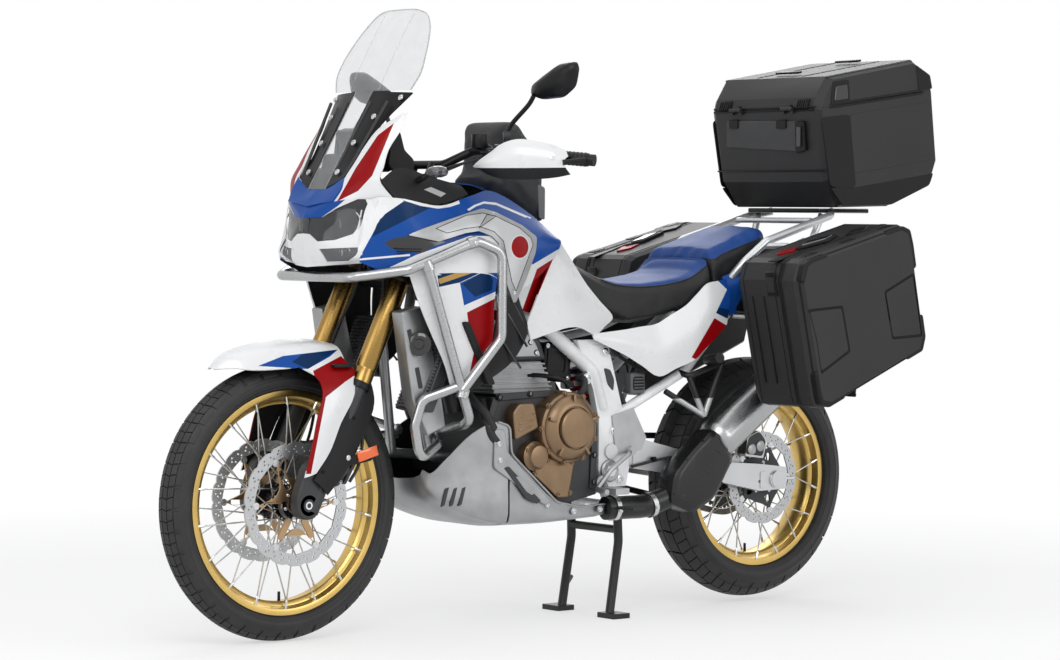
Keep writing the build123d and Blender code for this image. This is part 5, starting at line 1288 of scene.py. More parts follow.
def nose():
    piece = Piece("front_cowl", "chassis", "white_paint", "front_cowl")
    piece.sheet(NOSE_ROWS, "white", NOSE_DECALS, along=7, across=7)
    piece.sheet(WING_ROWS, "white", WING_DECALS, along=6, across=6)
    piece.sheet(BEAK_ROWS, "blue", along=5, across=6)
    piece.make(sharp=40)

    lamps = Piece("headlights", "chassis", "lamp_lens")
    lens = inwards(NOSE_ROWS, y=2.5)
    lamps.sheet(lens, None, [("dark_lens", HEADLIGHT_EDGE)], depth=1.5, along=7, across=7)
    lamps.sheet(lens, None, [("lens", FOG_EDGE)], depth=1.5, along=7, across=7)
    lamps.sheet(inwards(NOSE_ROWS, x=-2, y=44), "gloss", depth=2, along=4, across=4)
    # Projector bowls, light strip and fog reflectors behind the lenses.
    for x, y, z, r in ((84, -764, 1040, 22), (132, -741, 1048, 24)):
        bowl = [(0, 0), (1, r * 0.5), (5, r * 0.85), (14, r), (16, r), (16, r + 2.5), (-4, r + 2.5),
                (-4, 0)]
        lamps.both(lathe(bowl, 32), "bright", pointing((x, y + 6, z), (0.15, -1, 0.02)))
        ball = [(4, r * 0.6), (10, r * 0.55), (14, r * 0.35), (16, 0)]
        lamps.both(lathe(ball, 24), "lens", pointing((x, y + 4, z), (0.15, -1, 0.02)))
    strip = [(44, -788, 1022), (80, -778, 1009), (130, -757, 1010), (150, -748, 1030), (158, -740, 1078)]
    lamps.both(hose(strip, 5, 2.6), "bright")
    for x, y, z in ((86, -772, 968), (108, -764, 970), (128, -755, 974)):
        cup = lathe([(0, 0), (2, 6), (9, 9.5), (9, 11), (-1, 11), (-1, 0)], 20)
        lamps.both(cup, "bright", pointing((x, y, z), (0.12, -1, 0)))
    lamps.add(block((40, 8, 34), 2), "gloss", shift(0, -802, 1040))
    # Fog lamps at the front and indicators at the back, each on an arm from the distance "tip".
    for x, y, z, tip, colour, glass in ((262, -585, 1174, 196, "gloss", "lens"),
                                        (170, 915, 905, 100, "satin", "orange")):
        ahead = y < 0
        body = lathe([(-27, 0), (-27, 9), (-22, 12.5), (-10, 14.4), (12, 14.4), (24, 12), (28, 8),
                      (28, 0)], 28)
        lamps.both(body, colour, shift(x, y, z) @ Matrix.Diagonal((1.0, 1.28, 1.0, 1)))
        cover = lathe([(-24, 0), (-24, 10), (-16, 12.2), (16, 12.2), (24, 9), (24, 0)], 24)
        lamps.both(cover, glass, shift(x, y + (-6 if ahead else 6), z) @ Matrix.Diagonal((1.0, 1.2, 0.95,
            1)))
        if ahead:
            turns = [math.tau * k / 32 for k in range(33)]
            lamps.both(pipe([Vector((x + 23 * math.cos(a), y - 9,
                                     z + 11.5 * math.sin(a))) for a in turns], 1.8, 8), "steel")
            for k in (-9, 0, 9):
                dot = lathe([(0, 0), (0, 3.4), (2, 3.2), (3, 0)], 12)
                lamps.both(dot, "bright", pointing((x + k, y - 15, z), (0, -1, 0)))
        foot = (tip, y - 12, z - 22) if ahead else (tip, y, z)
        bend = ((x + tip) / 2 - 6, y - 6, z - 10) if ahead else ((x + tip) / 2 - 6, y, z)
        lamps.both(hose([foot, bend, (x - 24, y, z)], 6, [8.5] * 6 + [6.5] * 7, 12), "satin")
    lamps.add(block((130, 26, 46), 8, 3), "red_lens", shift(0, 930, 925))
    for k in range(-5, 6):
        lamps.add(block((7, 3, 30), 1), "bright", shift(k * 11, 941, 925))
    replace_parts(lamps.make(sharp=40), "lamps")


def screen():
    piece = Piece("windscreen", "chassis", "clear_screen", "windscreen")
    rows = []
    for z, y, half, sweep_back in SCREEN_ROWS:
        rows.append([(half * share, y + sweep_back * share * share, z) for share in (-1, -0.5, 0, 0.5,
            1)])
    low, high = rows[:4], rows[4:]
    for part in (low, high):
        piece.add(thick(patch(part, 6, 6), 3.5), "screen")
    edge = [Vector(row[-1]) for row in high] + [Vector(row[0]) for row in reversed(high)]
    piece.add(hose(edge, 5, 1.9), "screen_edge")
    for side in (-1, 1):
        rim = [Vector(row[-1 if side > 0 else 0]) + Vector((0, 1, 0)) for row in low]
        piece.add(pipe(rim, 1.3, 6), "screen_edge")
        crease = [Vector((side * 62, y + 3, z)) for z, y, half, sweep_back in SCREEN_ROWS[4:10]]
        piece.add(pipe(crease, 1.0, 6), "screen")
    piece.make(sharp=50)

    dark = Piece("screen_surround", "chassis", "black_plastic", "cockpit")
    dark.sheet(SURROUND_ROWS, "satin", [(None, [(318, 150), (327, 122), (339, 122), (345, 130),
                                                (332, 152)])], depth=5)
    # The pale patch on the trim is a painted highlight.
    dark.sheet(TRIM_ROWS, "grain", [("trim_painted_highlight", TRIM_HIGHLIGHT_EDGE)], depth=4)
    for x, y, z in ((62, -744, 1172), (70, -700, 1246), (92, -654, 1312), (140, -606, 1360)):
        dark.both(bolt(6, 4), "steel", pointing((x, y - 3, z), (0.1, -0.86, 0.5)))
    for x1, x2 in ((44, 50), (92, 122)):
        dark.both(pipe([(x1, -746, 1160), (x2, -636, 1350)], 4.5, 8), "gloss")
    dark.both(side_plate(INNER_COWL, 112, 121, 1.5, 2, 7), "grain")
    face = facing((0, -598, 1236), (0, 0.93, 0.36))
    dark.add(block((176, 112, 34), 8, 3), "satin", face @ shift(0, 0, -17))
    dark.add(block((158, 94, 2), 0.8), "gloss", face @ shift(0, 0, 0.5))
    # Dark bracket behind the clear foot of the screen.
    for x in (-22, 0, 22):
        dark.add(pipe([(x, -686, 1196), (x, -652, 1252), (x, -606, 1322)], 5, 8), "satin")
    dark.add(block((60, 90, 5), 2), "satin", facing((0, -664, 1236), (0, -0.86, 0.5)))
    dark.add(block((90, 90, 16), 5), "grain", shift(0, -670, 1120))
    dark.add(block((120, 100, 54), 10, 3, 0.8), "grain", shift(0, -672, 1192))
    dark.add(block((190, 20, 18), 4), "grain", shift(0, -712, 1172))
    dark.make(sharp=40)


def side_bodywork():
    piece = Piece("side_fairings", "chassis", "blue_paint", "side_fairings")
    piece.sheet(FAIRING_COLUMNS, "blue", FAIRING_DECALS, along=6, across=7)
    piece.sheet(LOWER_ROWS, "white", LOWER_DECALS, along=6, across=6)
    for k in range(5):
        place = shift(236 - 4 * k, -655 + 4 * k, 982 - 6 * k) @ rotation("Z", -14)
        piece.both(block((3, 74 - 9 * k, 2.6), 1), "satin", place)
    piece.make(sharp=40)

    silver = Piece("tank_panels", "chassis", "silver_paint", "tank_panels")
    wide = []
    for column, out in zip(TANK_PANEL_COLUMNS, (12, 7, 0, 0, 0, 0)):
        wide.append([(x + out - less, y, z + rise) for (x, y, z), less,
                     rise in zip(column, (0, 2, 3), (7, 0, -9))])
    decals = [("cast", SILVER_EDGE), ("silver", SILVER_INNER), ("cast", SILVER_STEP),
              ("steel", ellipse(BADGE_MIDDLE, BADGE_SIZE)), ("red",
                  ellipse(BADGE_MIDDLE, BADGE_SIZE, 0.9))]
    silver.sheet(denser(wide), None, decals, depth=8, along=5, across=8)
    for place in ((249, -400, 1072), (271, -346, 872)):
        silver.both(bolt(3.6, 3), "steel", pointing(place, (1, 0, 0.25)))
    panel = silver.make(sharp=40)
    # Thin black lines along the inner plate's edge and step are painted shade where the plate steps down.
    groove = Piece("tank_panel_shade_lines", "chassis", "black_plastic")
    for line in (SILVER_INNER, SILVER_STEP):
        groove.both(pipe(seam_on(panel, corners_of(line), 0.1, 1), 0.9, 6), "satin")
    groove.make(sharp=40)

    cover = Piece("side_covers", "chassis", "white_paint", "side_covers")
    cover.sheet(denser(KNEE_ROWS), "white", TANK_DECALS, along=6, across=7)
    cover.sheet(denser(SIDE_COVER_COLUMNS), "white", COVER_DECALS, along=4, across=7)
    cover.make(sharp=40)

    tail = Piece("tail", "chassis", "black_plastic", "tail")
    tail.sheet(TAIL_COLUMNS, "white", TAIL_DECALS)
    arch = [(415, 690), (500, 778), (640, 838), (800, 868), (905, 838), (980, 700), (1040, 560)]
    curve = [(p.x, p.y) for p in spline([(y, z, 0) for y, z in arch], 6)]
    for x, width, y_step, z_step, edge in ((-88, 176, 3, 6, 1.5), (-86.5, 5, 4, 22, 1.2),
                                           (81.5, 5, 4, 22, 1.2)):
        outline = curve + [(y + y_step, z + z_step) for y, z in reversed(curve)]
        tail.add(flat([outline], width, edge), "grain", shift(x, 0, 0) @ SIDEWAYS)
    tail.add(block((218, 128, 104), 18, 4, 0.8), "grain", shift(0, 864, 932))
    tail.both(block((88, 92, 50), 6, 2), "satin", shift(132, 515, 835))
    plate = facing((0, 1014, 654), (0, 0.905, 0.425))
    hole = [circle(3.5, 12, -60, 0), circle(3.5, 12, 60, 0)]
    tail.add(flat([rounded([(-100, -70), (100, -70), (100, 70), (-100, 70)], 9)] + hole, 4.5, 1), "grey",
             plate)
    tail.add(block((70, 10, 14), 3), "satin", plate @ shift(0, 62, 6))
    tail.make(sharp=40)


def fuel_tank():
    tank = Piece("fuel_tank", "chassis", "blue_paint", "fuel_tank")
    rows = [
        [(0, -338, 1151), (100, -338, 1143), (150, -338, 1121), (194, -338, 1010), (194, -338, 850)],
        [(0, -215, 1106), (96, -215, 1099), (147, -215, 1065), (189, -215, 990), (187, -215, 815)],
        [(0, -108, 1036), (78, -108, 1030), (135, -108, 1003), (149, -108, 940), (149, -108, 818)],
        [(0, -57, 1007), (68, -57, 999), (107, -57, 979), (131, -57, 900), (133, -57, 818)],
    ]
    tank.sheet(rows, "blue", TANK_DECALS, along=8, across=7)
    tank.add(block((120, 60, 70), 12, 3), "grain", shift(0, -330, 1080))
    tank.add(lathe([(0, 0), (0, 36), (4, 36), (6, 30), (6, 0)], 40), "satin",
             pointing((0, -140, 1056), (0, 0.45, 0.9)))
    tank.make(sharp=50)


def controls():
    """Handlebar finish, hand guards, mirrors, cables."""
    dress("handlebar", "satin", 1.2)
    guards = Piece("hand_guards", "steering", "white_paint", "hand_guards")
    rows = [  # x, y, top, middle, low
        (226, -446, 1192, 1190, 1184), (240, -448, 1206, 1194, 1178), (262, -448, 1222, 1198, 1170),
        (296, -436, 1246, 1206, 1160), (330, -412, 1258, 1212, 1157), (372, -374, 1252, 1212, 1158),
        (408, -340, 1238, 1208, 1163), (427, -313, 1218, 1204, 1170)]
    form = [[(x, y + 26, top), (x, y + 8, (top + middle) / 2 + 3), (x, y, middle),
             (x, y + 4, (middle + low) / 2),
             (x, y + 20, low)] for x, y, top, middle, low in rows]
    guards.sheet(form, "grain", [("white", GUARD_EDGE)], depth=4, along=6, across=6)
    guards.both(pipe([(427, -318, 1200), (447, -262, 1206)], 7, 14), "satin")
    guards.both(pipe([(226, -440, 1192), (215, -381, 1228)], 6, 12), "satin")
    guards.both(bolt(5.5, 4), "steel", pointing((411, -341, 1216), (0.5, -0.85, 0.1)))
    guards.make(sharp=40)

    mirrors = Piece("mirrors", "steering", "black_plastic", "mirrors")
    outline = rounded([(-100, -36), (-60, -46), (20, -42), (66, -16), (78, 30), (70, 46), (20, 44),
                       (-46, 14), (-98, -12)], 14, 4)
    middle = Vector((400, -318, 1404))
    shell = ((-26, 0.30), (-24, 0.52), (-18, 0.76), (-8, 0.93), (4, 0.995), (9, 0.995), (12, 0.96))
    mirrors.both(stacked([[middle + Vector((x * share, y, z * share)) for x, z in outline] for y,
                          share in shell]), "satin")
    glass = flat([[(x * 0.93, z * 0.93) for x, z in outline]], 1.6, 0.3)
    mirrors.both(glass, "mirror", Matrix.Translation(middle + Vector((0, 13.0, 0))) @ BACKWARDS)
    foot = Vector((250, -356.6, 1259))
    stem = [foot, foot + Vector((2, 6, 28)), middle + Vector((-92, -13, -56)),
            middle + Vector((-74, -12, -34))]
    mirrors.both(hose(stem, 7, 6, 12), "satin")
    mirrors.both(lathe([(0, 9), (3, 11), (16, 11), (20, 8), (20, 0)], 6), "dark_cast",
                 pointing(foot, (0, 0, 1)))
    mirrors.make(sharp=40)

    cables = Piece("control_cables", "steering", "black_plastic")
    for side in (1, -1):
        for k, (x, z) in enumerate(((205, 1212), (216, 1206), (196, 1226))):
            cables.add(hose([(side * x, -420 - 8 * k, z), (side * (150 - 12 * k), -470 - 10 * k, 1180),
                             (side * (70 - 10 * k), -520, 1150 - 12 * k), (side * (38 - 6 * k), -560,
                                 1110)], 6, 3.6), "rubber")
    # Rubber rings of the grips, along the bar's outer run.
    reach = (280, 162, -26)
    for side in (1, -1):
        for k in range(14):
            x = 316 + k * 9
            share = (x - 175) / reach[0]
            ring = lathe([(-2.6, 17.0), (-2.2, 17.9), (2.2, 17.9), (2.6, 17.0)], 28)
            place = (side * x, -400 + reach[1] * share, 1232 + reach[2] * share)
            cables.add(ring, "rubber", pointing(place, (side * reach[0], *reach[1:])))
    cables.make(sharp=40)


# ---------------------------------------------------------------- engine and underside
M["black_cover"] = surface("black_heat_cover", (0.012, 0.012, 0.013), 0.30, 0.25, grain=700,
                           depth=0.00004, vary=0.2)
M["chain_dark"] = surface("oiled_chain", (0.10, 0.095, 0.085), 0.34, 0.9, grain=900, depth=0.0001,
                          vary=0.25, cloud=40)
M["pale_cast"] = surface("pale_cast_alloy", (0.36, 0.365, 0.37), 0.46, 0.6, grain=800, depth=0.0002,
                         vary=0.12, cloud=16)


def side_plate(outline, low, high, edge=3.0, steps=2, radius=8.0):
    """Plate with a (y, z) outline between two distances from the middle plane."""
    return moved(flat([rounded(outline, radius)], high - low, edge, steps), shift(low, 0, 0) @ SIDEWAYS)


def ribs(y, z, x, inner, outer, angles, width, height):
    """Raised bars that run outwards from a centre on a side face."""
    middle = (inner + outer) / 2
    places = [around(x, (y, z), middle, math.radians(angle)) @ rotation("X", angle) for angle in angles]
    return [moved(block((height, outer - inner, width), 1.2), place) for place in places]


def engine():
    piece = Piece("engine_covers", "chassis", "bronze_case", "engine_covers")
    # Clutch cover: dished steps with radial ribs and a round cap.
    y, z = -92, 517
    steps = [(146, 0), (146, 93), (180, 93), (186, 91), (190, 85), (195, 84), (207, 72), (213, 60),
             (213, 57), (209, 56),
             (209, 53.5), (220, 52), (223, 49), (223.5, 46), (223.5, 0)]
    piece.add(lathe(steps, 96), "bronze", shift(0, y, z))
    for shape in ribs(y, z, 205, 55, 86, (18, 90, 162, 234, 306), 8, 12):
        piece.add(shape, "bronze")
    for k in range(9):
        place = around(0, (y, z), 91, math.radians(20 + 40 * k))
        piece.add(lathe([(150, 0), (150, 7.5), (186, 7.5), (188, 6), (188, 0)], 18), "bronze", place)
        piece.add(bolt(5.5, 5), "bronze", place @ shift(188, 0, 0))
    # Small pump cover, timing block and sump lip.
    y, z = -196, 446
    steps = [(146, 0), (146, 38), (176, 38), (180, 34), (188, 30), (194, 28), (196, 22), (196, 0)]
    piece.add(lathe(steps, 64), "bronze", shift(0, y, z))
    for k in range(3):
        piece.add(bolt(5, 5), "bronze", around(180, (y, z), 33, math.radians(30 + 120 * k)))
    piece.add(side_plate([(-276, 560), (-256, 584), (-206, 584), (-190, 520), (-266, 490)], 145, 184, 5),
              "bronze")
    piece.add(side_plate([(-262, 556), (-250, 570), (-216, 570), (-206, 530), (-254, 510)], 182, 184.4,
                         1.2, 1, 4), "bronze")
    for offset in (0, 16, 32):
        piece.add(block((6, 44, 4), 1.5), "bronze",
                  shift(183, -238 + offset * 0.3, 520 + offset) @ rotation("X", 12))
    piece.add(side_plate([(-205, 404), (-116, 334), (-80, 334), (-60, 430), (-150, 440)], 146, 173.4, 5),
              "bronze")
    piece.add(side_plate([(-186, 404), (-128, 356), (-96, 352), (-84, 416), (-148, 424)], 172, 174, 1, 1,
                         4), "bronze")
    for py, pz in ((-192, 400), (-116, 344), (-76, 346), (-70, 424), (-150, 432)):
        piece.add(bolt(5, 4), "bronze", shift(173, py, pz))
    # Generator cover and drive cover on the far side.
    steps = [(-144, 0), (-144, 84), (-176, 84), (-184, 78), (-190, 60), (-197, 54), (-197, 0)]
    piece.add(lathe(steps, 72), "bronze", shift(0, -190, 452))
    for k in range(8):
        piece.add(bolt(5.5, -4), "steel", around(-177, (-190, 452), 80, math.radians(22 + 45 * k)))
    piece.make(sharp=34)

    dress("engine", "dark_cast", 5)
    bits = Piece("engine_castings", "chassis", "dark_engine")
    for side, turn in SIDES:
        for outline, low in (
                ([(-320, 600), (-346, 520), (-340, 400), (-290, 340), (-276, 352), (-322, 410),
                  (-326, 520), (-300, 590)], 150),
                ([(-300, 610), (-110, 614), (-104, 598), (-300, 590)], 146),
                ([(-30, 596), (28, 520), (22, 350), (6, 352), (12, 515), (-40, 584)], 150)):
            points, faces = side_plate(outline, low, 156, 2.5, 2, 6)
            bits.add((points, [f[::side] for f in faces]), "dark_cast", turn)
        for py, pz in ((-334, 500), (-330, 420), (-286, 352), (-300, 600), (-200, 606), (-60, 600),
                       (18, 440), (16, 370)):
            boss = lathe([(0, 0), (0, 8), (7, 8), (8, 6.5), (8, 0)], 16)
            bits.add(boss, "dark_cast", shift(152 if side > 0 else -160, py, pz))
            bits.add(bolt(5.5, 4), "steel", shift(160, py, pz), side > 0)
    # Starter, hoses and an oil pipe around the covers.
    bits.add(hose([(120, -330, 590), (158, -346, 540), (166, -330, 500), (160, -300, 480)], 8, 13, 14),
             "rubber")
    bits.both(hose([(60, -350, 640), (130, -372, 600), (166, -352, 560), (172, -330, 520)], 8, 11, 14),
              "rubber")
    for place in ((162, -338, 530), (160, -304, 484)):
        ring = lathe([(-4, 15.4), (4, 15.4), (4, 14), (-4, 14)], 24, closed=True)
        bits.add(ring, "steel", pointing(place, (0, 0.3, 1)))
    bits.add(hose([(178, -90, 622), (188, -112, 640), (150, -150, 652), (110, -180, 652)], 6, 6, 10),
             "satin")
    bits.add(hose([(176, -52, 600), (184, -40, 620), (160, -20, 640), (120, -8, 640)], 6, 8, 10),
             "rubber")
    bits.make(sharp=36)

    head = Piece("cylinder_head", "chassis", "raw_aluminium", "cylinder_head")
    head.add(side_plate([(-284, 601), (-96, 601), (-133, 689), (-321, 689)], -120, 120, 2), "pale_cast")
    for k in range(7):
        z = 610 + 12 * k
        back = -98 - (z - 601) * 0.42
        fin = [(back - 194, z - 2), (back + 6, z - 2), (back + 5, z + 2), (back - 195, z + 2)]
        head.add(side_plate(fin, -127, 127, 0.8, 1, 1), "pale_cast")
    head.add(side_plate([(-329, 691), (-129, 691), (-151, 747), (-191, 781), (-317, 781), (-355, 747)],
                        -139, 139, 9, 3, 12), "dark_cast")
    head.add(side_plate([(-330, 702), (-150, 702), (-170, 740), (-200, 764), (-306, 764), (-338, 738)],
                        136, 140, 2, 1), "cast")
    for py, pz in ((-318, 712), (-166, 712), (-186, 740), (-212, 756), (-300, 756), (-326, 736)):
        head.both(bolt(6, 4.5), "steel", shift(139, py, pz))
    for k in range(-2, 3):
        cap = lathe([(0, 0), (0, 13), (8, 12), (10, 9), (10, 0)], 18)
        head.add(cap, "black_cover", shift(k * 50, -250, 776) @ rotation("Y", -90))
    # Air box end with its raised pentagon.
    head.add(side_plate([(-120, 640), (-30, 628), (-24, 700), (-60, 738), (-116, 738)], -118, 113, 8, 3,
                        10), "satin")
    rim = rounded([(-112, 652), (-42, 642), (-36, 694), (-64, 724), (-106, 724)], 8)
    hole = rounded([(-102, 662), (-52, 655), (-47, 690), (-68, 712), (-98, 712)], 6)
    head.add(flat([rim, hole], 5, 1.5), "grain", shift(112, 0, 0) @ SIDEWAYS)
    for py, pz in ((-110, 650), (-40, 642), (-36, 700), (-66, 728), (-108, 728)):
        head.both(bolt(4.5, 3), "steel", shift(116, py, pz))
    # Exhaust headers down the front of the cylinder.
    for x in (34, -34):
        line = [(x, -322, 716), (x * 1.3, -366, 690), (x * 1.6, -384, 620), (x * 1.7, -372, 560)]
        head.add(hose(line, 8, 20, 20), "black_steel")
    for x in (34, -34):
        ring = lathe([(-4, 27), (4, 27), (4, 20), (-4, 20)], 24, closed=True)
        head.add(ring, "steel", pointing((x, -326, 714), (0, -0.9, -0.4)))
    head.make(sharp=34)


# Outlines in the 1060 x 660 picture.
DUCT_EDGE = [(402, 312), (424, 306), (440, 385), (446, 426), (428, 436), (413, 400)]
# Slots of the duct, drawn as dark plates of painted shade.
DUCT_SLOT_SHADES = ([(407, 330), (411, 329), (416, 352), (412, 353)],
              [(415, 368), (419, 367), (423, 388), (419, 389)])
HORN_MIDDLE = (421, 344)


def radiators():
    piece = Piece("radiators", "chassis", "black_plastic", "radiators")
    for _, turn in SIDES:
        piece.add(side_plate([(-484, 806), (-452, 800), (-556, 570), (-588, 578)], 92, 214, 3),
                  "dark_cast", turn)
    # Tubes and fins on the cores' front faces.
    low, high, lean = Vector((0, -586, 582)), Vector((0, -486, 802)), rotation("X", -24.5)
    for k in range(26):
        middle = low.lerp(high, (k + 0.5) / 26) + Vector((0, -2.5, 1))
        piece.both(block((112, 4, 3), 0), "grey", Matrix.Translation(middle + Vector((153, 0, 0))) @ lean)
    for k in range(9):
        middle = low.lerp(high, 0.5) + Vector((104 + 12 * k, -2.4, 1))
        piece.both(block((3, 5, 226), 0), "grey", Matrix.Translation(middle) @ lean)
    rows = [  # outer shroud with its vanes
        [(262, -392, 930), (262, -372, 928), (262, -352, 925)],
        [(268, -396, 850), (270, -360, 848), (264, -318, 840)],
        [(264, -402, 770), (266, -346, 772), (258, -290, 775)],
        [(254, -430, 690), (256, -380, 694), (250, -330, 700)],
        [(242, -475, 622), (244, -448, 630), (240, -420, 640)],
    ]
    piece.sheet(rows, "satin", depth=5)
    piece.both(side_plate([(-500, 800), (-480, 800), (-395, 640), (-420, 640)], 200, 262, 2), "grain")
    for z1, z2, y1, y2 in ((880, 800, -372, -310), (820, 735, -366, -296), (760, 680, -386, -316)):
        piece.both(pipe([(268, y1, z1), (262, y2, z2)], 3.2, 8), "gloss")
    piece.both(hose([(256, -420, 700), (254, -360, 740), (258, -330, 800), (262, -350, 900)], 8, 3),
               "gloss")
    # Oil cooler duct and horn beside the fork.
    piece.both(side_plate(on_pixels(DUCT_EDGE, 196), 150, 196, 4, 2, 6), "cast")
    # Dark plates over the slots are painted shade inside them.
    for outline in DUCT_SLOT_SHADES:
        piece.both(side_plate(on_pixels(outline, 197), 195, 197.5, 0.8, 1, 3), "dark_cast")
    y, z = on_pixels([HORN_MIDDLE], 204)[0]
    horn = lathe([(0, 0), (0, 27), (6, 30), (14, 30), (18, 24), (18, 14), (22, 12), (22, 0)], 36)
    piece.both(horn, "gloss", pointing((200, y, z), (0.7, -0.7, 0)))
    piece.make(sharp=36)


def underside():
    plate = Piece("skid_plate", "chassis", "raw_aluminium", "skid_plate")
    sections = [  # y, then (x, z) from the middle up the side
        (-511, ((0, 391), (70, 397), (100, 407), (109, 419))), (-500,
            ((0, 347), (84, 353), (117, 373), (129, 411))),
        (-470, ((0, 313), (91, 318), (141, 341), (151, 445))), (-392,
            ((0, 283), (100, 286), (157, 303), (163, 511))),
        (-319, ((0, 266), (104, 268), (164, 284), (173, 539))), (-281,
            ((0, 263), (104, 265), (165, 280), (175, 527))),
        (-275, ((0, 263), (104, 265), (165, 280), (175, 455))), (-118,
            ((0, 262), (104, 264), (163, 277), (169, 323))),
        (-39, ((0, 265), (104, 267), (159, 280), (164, 308))), (55,
            ((0, 269), (104, 271), (155, 283), (157, 309)))]
    for part in (sections[:6], sections[6:]):
        rows = []
        for y, row in part:
            a, b, c, d = [Vector((x, y, z)) for x, z in row]
            rows.append([a, b, b.lerp(c, 0.6), c, c.lerp(d, 0.5), d])
        plate.sheet(rows, "cast", depth=4, along=4, across=4)
    edge = [(175, -319, 539), (177, -281, 527), (177, -275, 455), (171, -118, 323), (166, -39, 308),
            (159, 55, 309)]
    plate.both(pipe(filleted(edge, 14), 3.2, 8), "cast")
    # Raised fin along the side with a long slot, its pressings and bolts. The slot is a dark plate,
    # painted shade in the opening.
    plate.both(side_plate([(-330, 520), (-296, 520), (-286, 462), (-140, 326), (-160, 316), (-330, 420)],
                          168, 176, 3, 2, 10), "cast")
    slot = [(-300, 420), (-284, 424), (-176, 330), (-190, 322), (-224, 336)]
    plate.both(side_plate(slot, 175.4, 177, 0.8, 1, 4), "dark_cast")
    plate.both(side_plate([(-262, 396), (-246, 396), (-196, 352), (-208, 346), (-226, 356)], 176.6, 178,
                          0.6, 1, 3), "cast")
    for y, z in ((-316, 482), (-312, 440), (-150, 318), (-60, 296), (30, 298)):
        plate.both(lathe([(0, 0), (0, 9), (3, 9), (4, 7), (4, 0)], 20), "cast",
                   shift(166 if z < 400 else 173, y, z))
        plate.both(bolt(5.5, 4), "steel", shift(170 if z < 400 else 177, y, z))
    for k in range(3):
        outline = [(y + 24 * k, z) for y, z in ((-468, 372), (-456, 376), (-470, 330), (-482, 326))]
        plate.both(side_plate(outline, 146 + 4 * k, 151 + 4 * k, 1.2, 1, 3), "dark_cast")
    plate.make(sharp=36)

    dress("crash_bars", "tube", 0)
    clamps = Piece("crash_bar_clamps", "chassis", "brushed_steel")
    for place, way in (((262, -614, 940), (0.2, 0.4, -1)), ((262, -500, 620), (0, 0.3, 1)),
                       ((90, -449, 510), (1, 0, 0)),
                       ((286, -492, 998), (0.3, 1, 0.3))):
        clamps.both(lathe([(-13, 13), (-12, 15.5), (12, 15.5), (13, 13)], 28), "tube",
                    pointing(place, way))
        clamps.both(bolt(5, 17), "steel", shift(*place))
    clamps.make(sharp=36)


def exhaust_system():
    piece = Piece("exhaust", "chassis", "black_steel", "exhaust")
    front_pipe = [(152, 60, 297), (158, 130, 297), (158, 200, 299), (170, 290, 330), (172, 360, 390),
                  (172, 400, 430)]
    piece.add(hose(front_pipe, 8, 31, 32), "black_cover")
    box = rounded([(242, 302), (322, 271), (402, 308), (475, 420), (398, 503), (319, 443), (254, 380)],
                  22, 4)
    sizes = ((134, 0.86), (144, 0.97), (160, 1.0), (186, 1.0), (203, 0.97), (211, 0.86), (212.6, 0.78))
    points, faces = stacked([[Vector((x, y, z)) for y, z in luggage_ring(box, (358, 388), share)] for x,
                             share in sizes])
    faces[-2] = faces[-2][::-1]
    piece.add((points, faces), "black_cover")
    for z1, y1, z2, y2 in ((330, 252, 292, 330), (420, 300, 352, 428), (470, 356, 404, 458)):
        piece.add(pipe([(206, y1, z1), (212, (y1 + y2) / 2, (z1 + z2) / 2), (206, y2, z2)], 2.2, 8),
                  "black_cover")
    for x, y, z, way in ((154, 84, 297, (0, 1, 0)), (159, 208, 300, (0, 1, 0.2)),
                         (170, 286, 326, (0, 1, 0.6))):
        ring = lathe([(-7, 31), (-7, 34.5), (7, 34.5), (7, 31)], 36, closed=True)
        piece.add(ring, "steel", pointing((x, y, z), way))
        piece.add(bolt(5, 9), "steel", pointing((x + 36, y, z), (0, 0.2, -1)))
    piece.make(sharp=30)

    can = Piece("muffler", "chassis", "brushed_steel", "muffler")
    start, end = Vector((166, 425, 455)), Vector((166, 712, 656))
    way = (end - start).normalized()
    length = (end - start).length
    turn = pointing(start, way)
    shell = [(0, 0), (0, 40), (6, 50), (18, 56.4), (30, 57), (length - 26, 57), (length - 20, 55),
             (length - 8, 48),
             (length - 2, 40), (length - 1, 24), (length - 14, 22), (length - 14, 0)]
    can.add(lathe(shell, 72), "can", turn)
    at = length - 34
    can.add(lathe([(at, 57), (at, 58.6), (at + 12, 58.6), (at + 12, 57)], 72, closed=True), "steel", turn)
    outlet = [(length - 16, 20), (length - 16, 24.5), (length + 6, 24), (length + 6, 20)]
    can.add(lathe(outlet, 40, closed=True), "steel", turn)
    # Heat shields over the front of the silencer.
    for low, high, reach in ((70, 168, 46), (172, 230, 40)):
        turns = [math.radians(-reach + 2 * reach * j / 6) for j in range(7)]
        rows = [[Vector((low + (high - low) * k / 4, *polar(59.0, a))) for a in turns] for k in range(5)]
        can.add(thick(patch(rows, 2, 3), -1.4), "alloy", turn @ rotation("X", 25))
    for x in (82, 156, 184):
        for a in (-14, 62):
            place = turn @ rotation("X", a) @ shift(x, 60, 0) @ rotation("Z", 90)
            can.add(bolt(4.5, 3), "black_steel", place)
    can.add(side_plate([(560, 640), (600, 660), (618, 636), (576, 600)], 206, 214, 2), "satin")
    can.make(sharp=30)


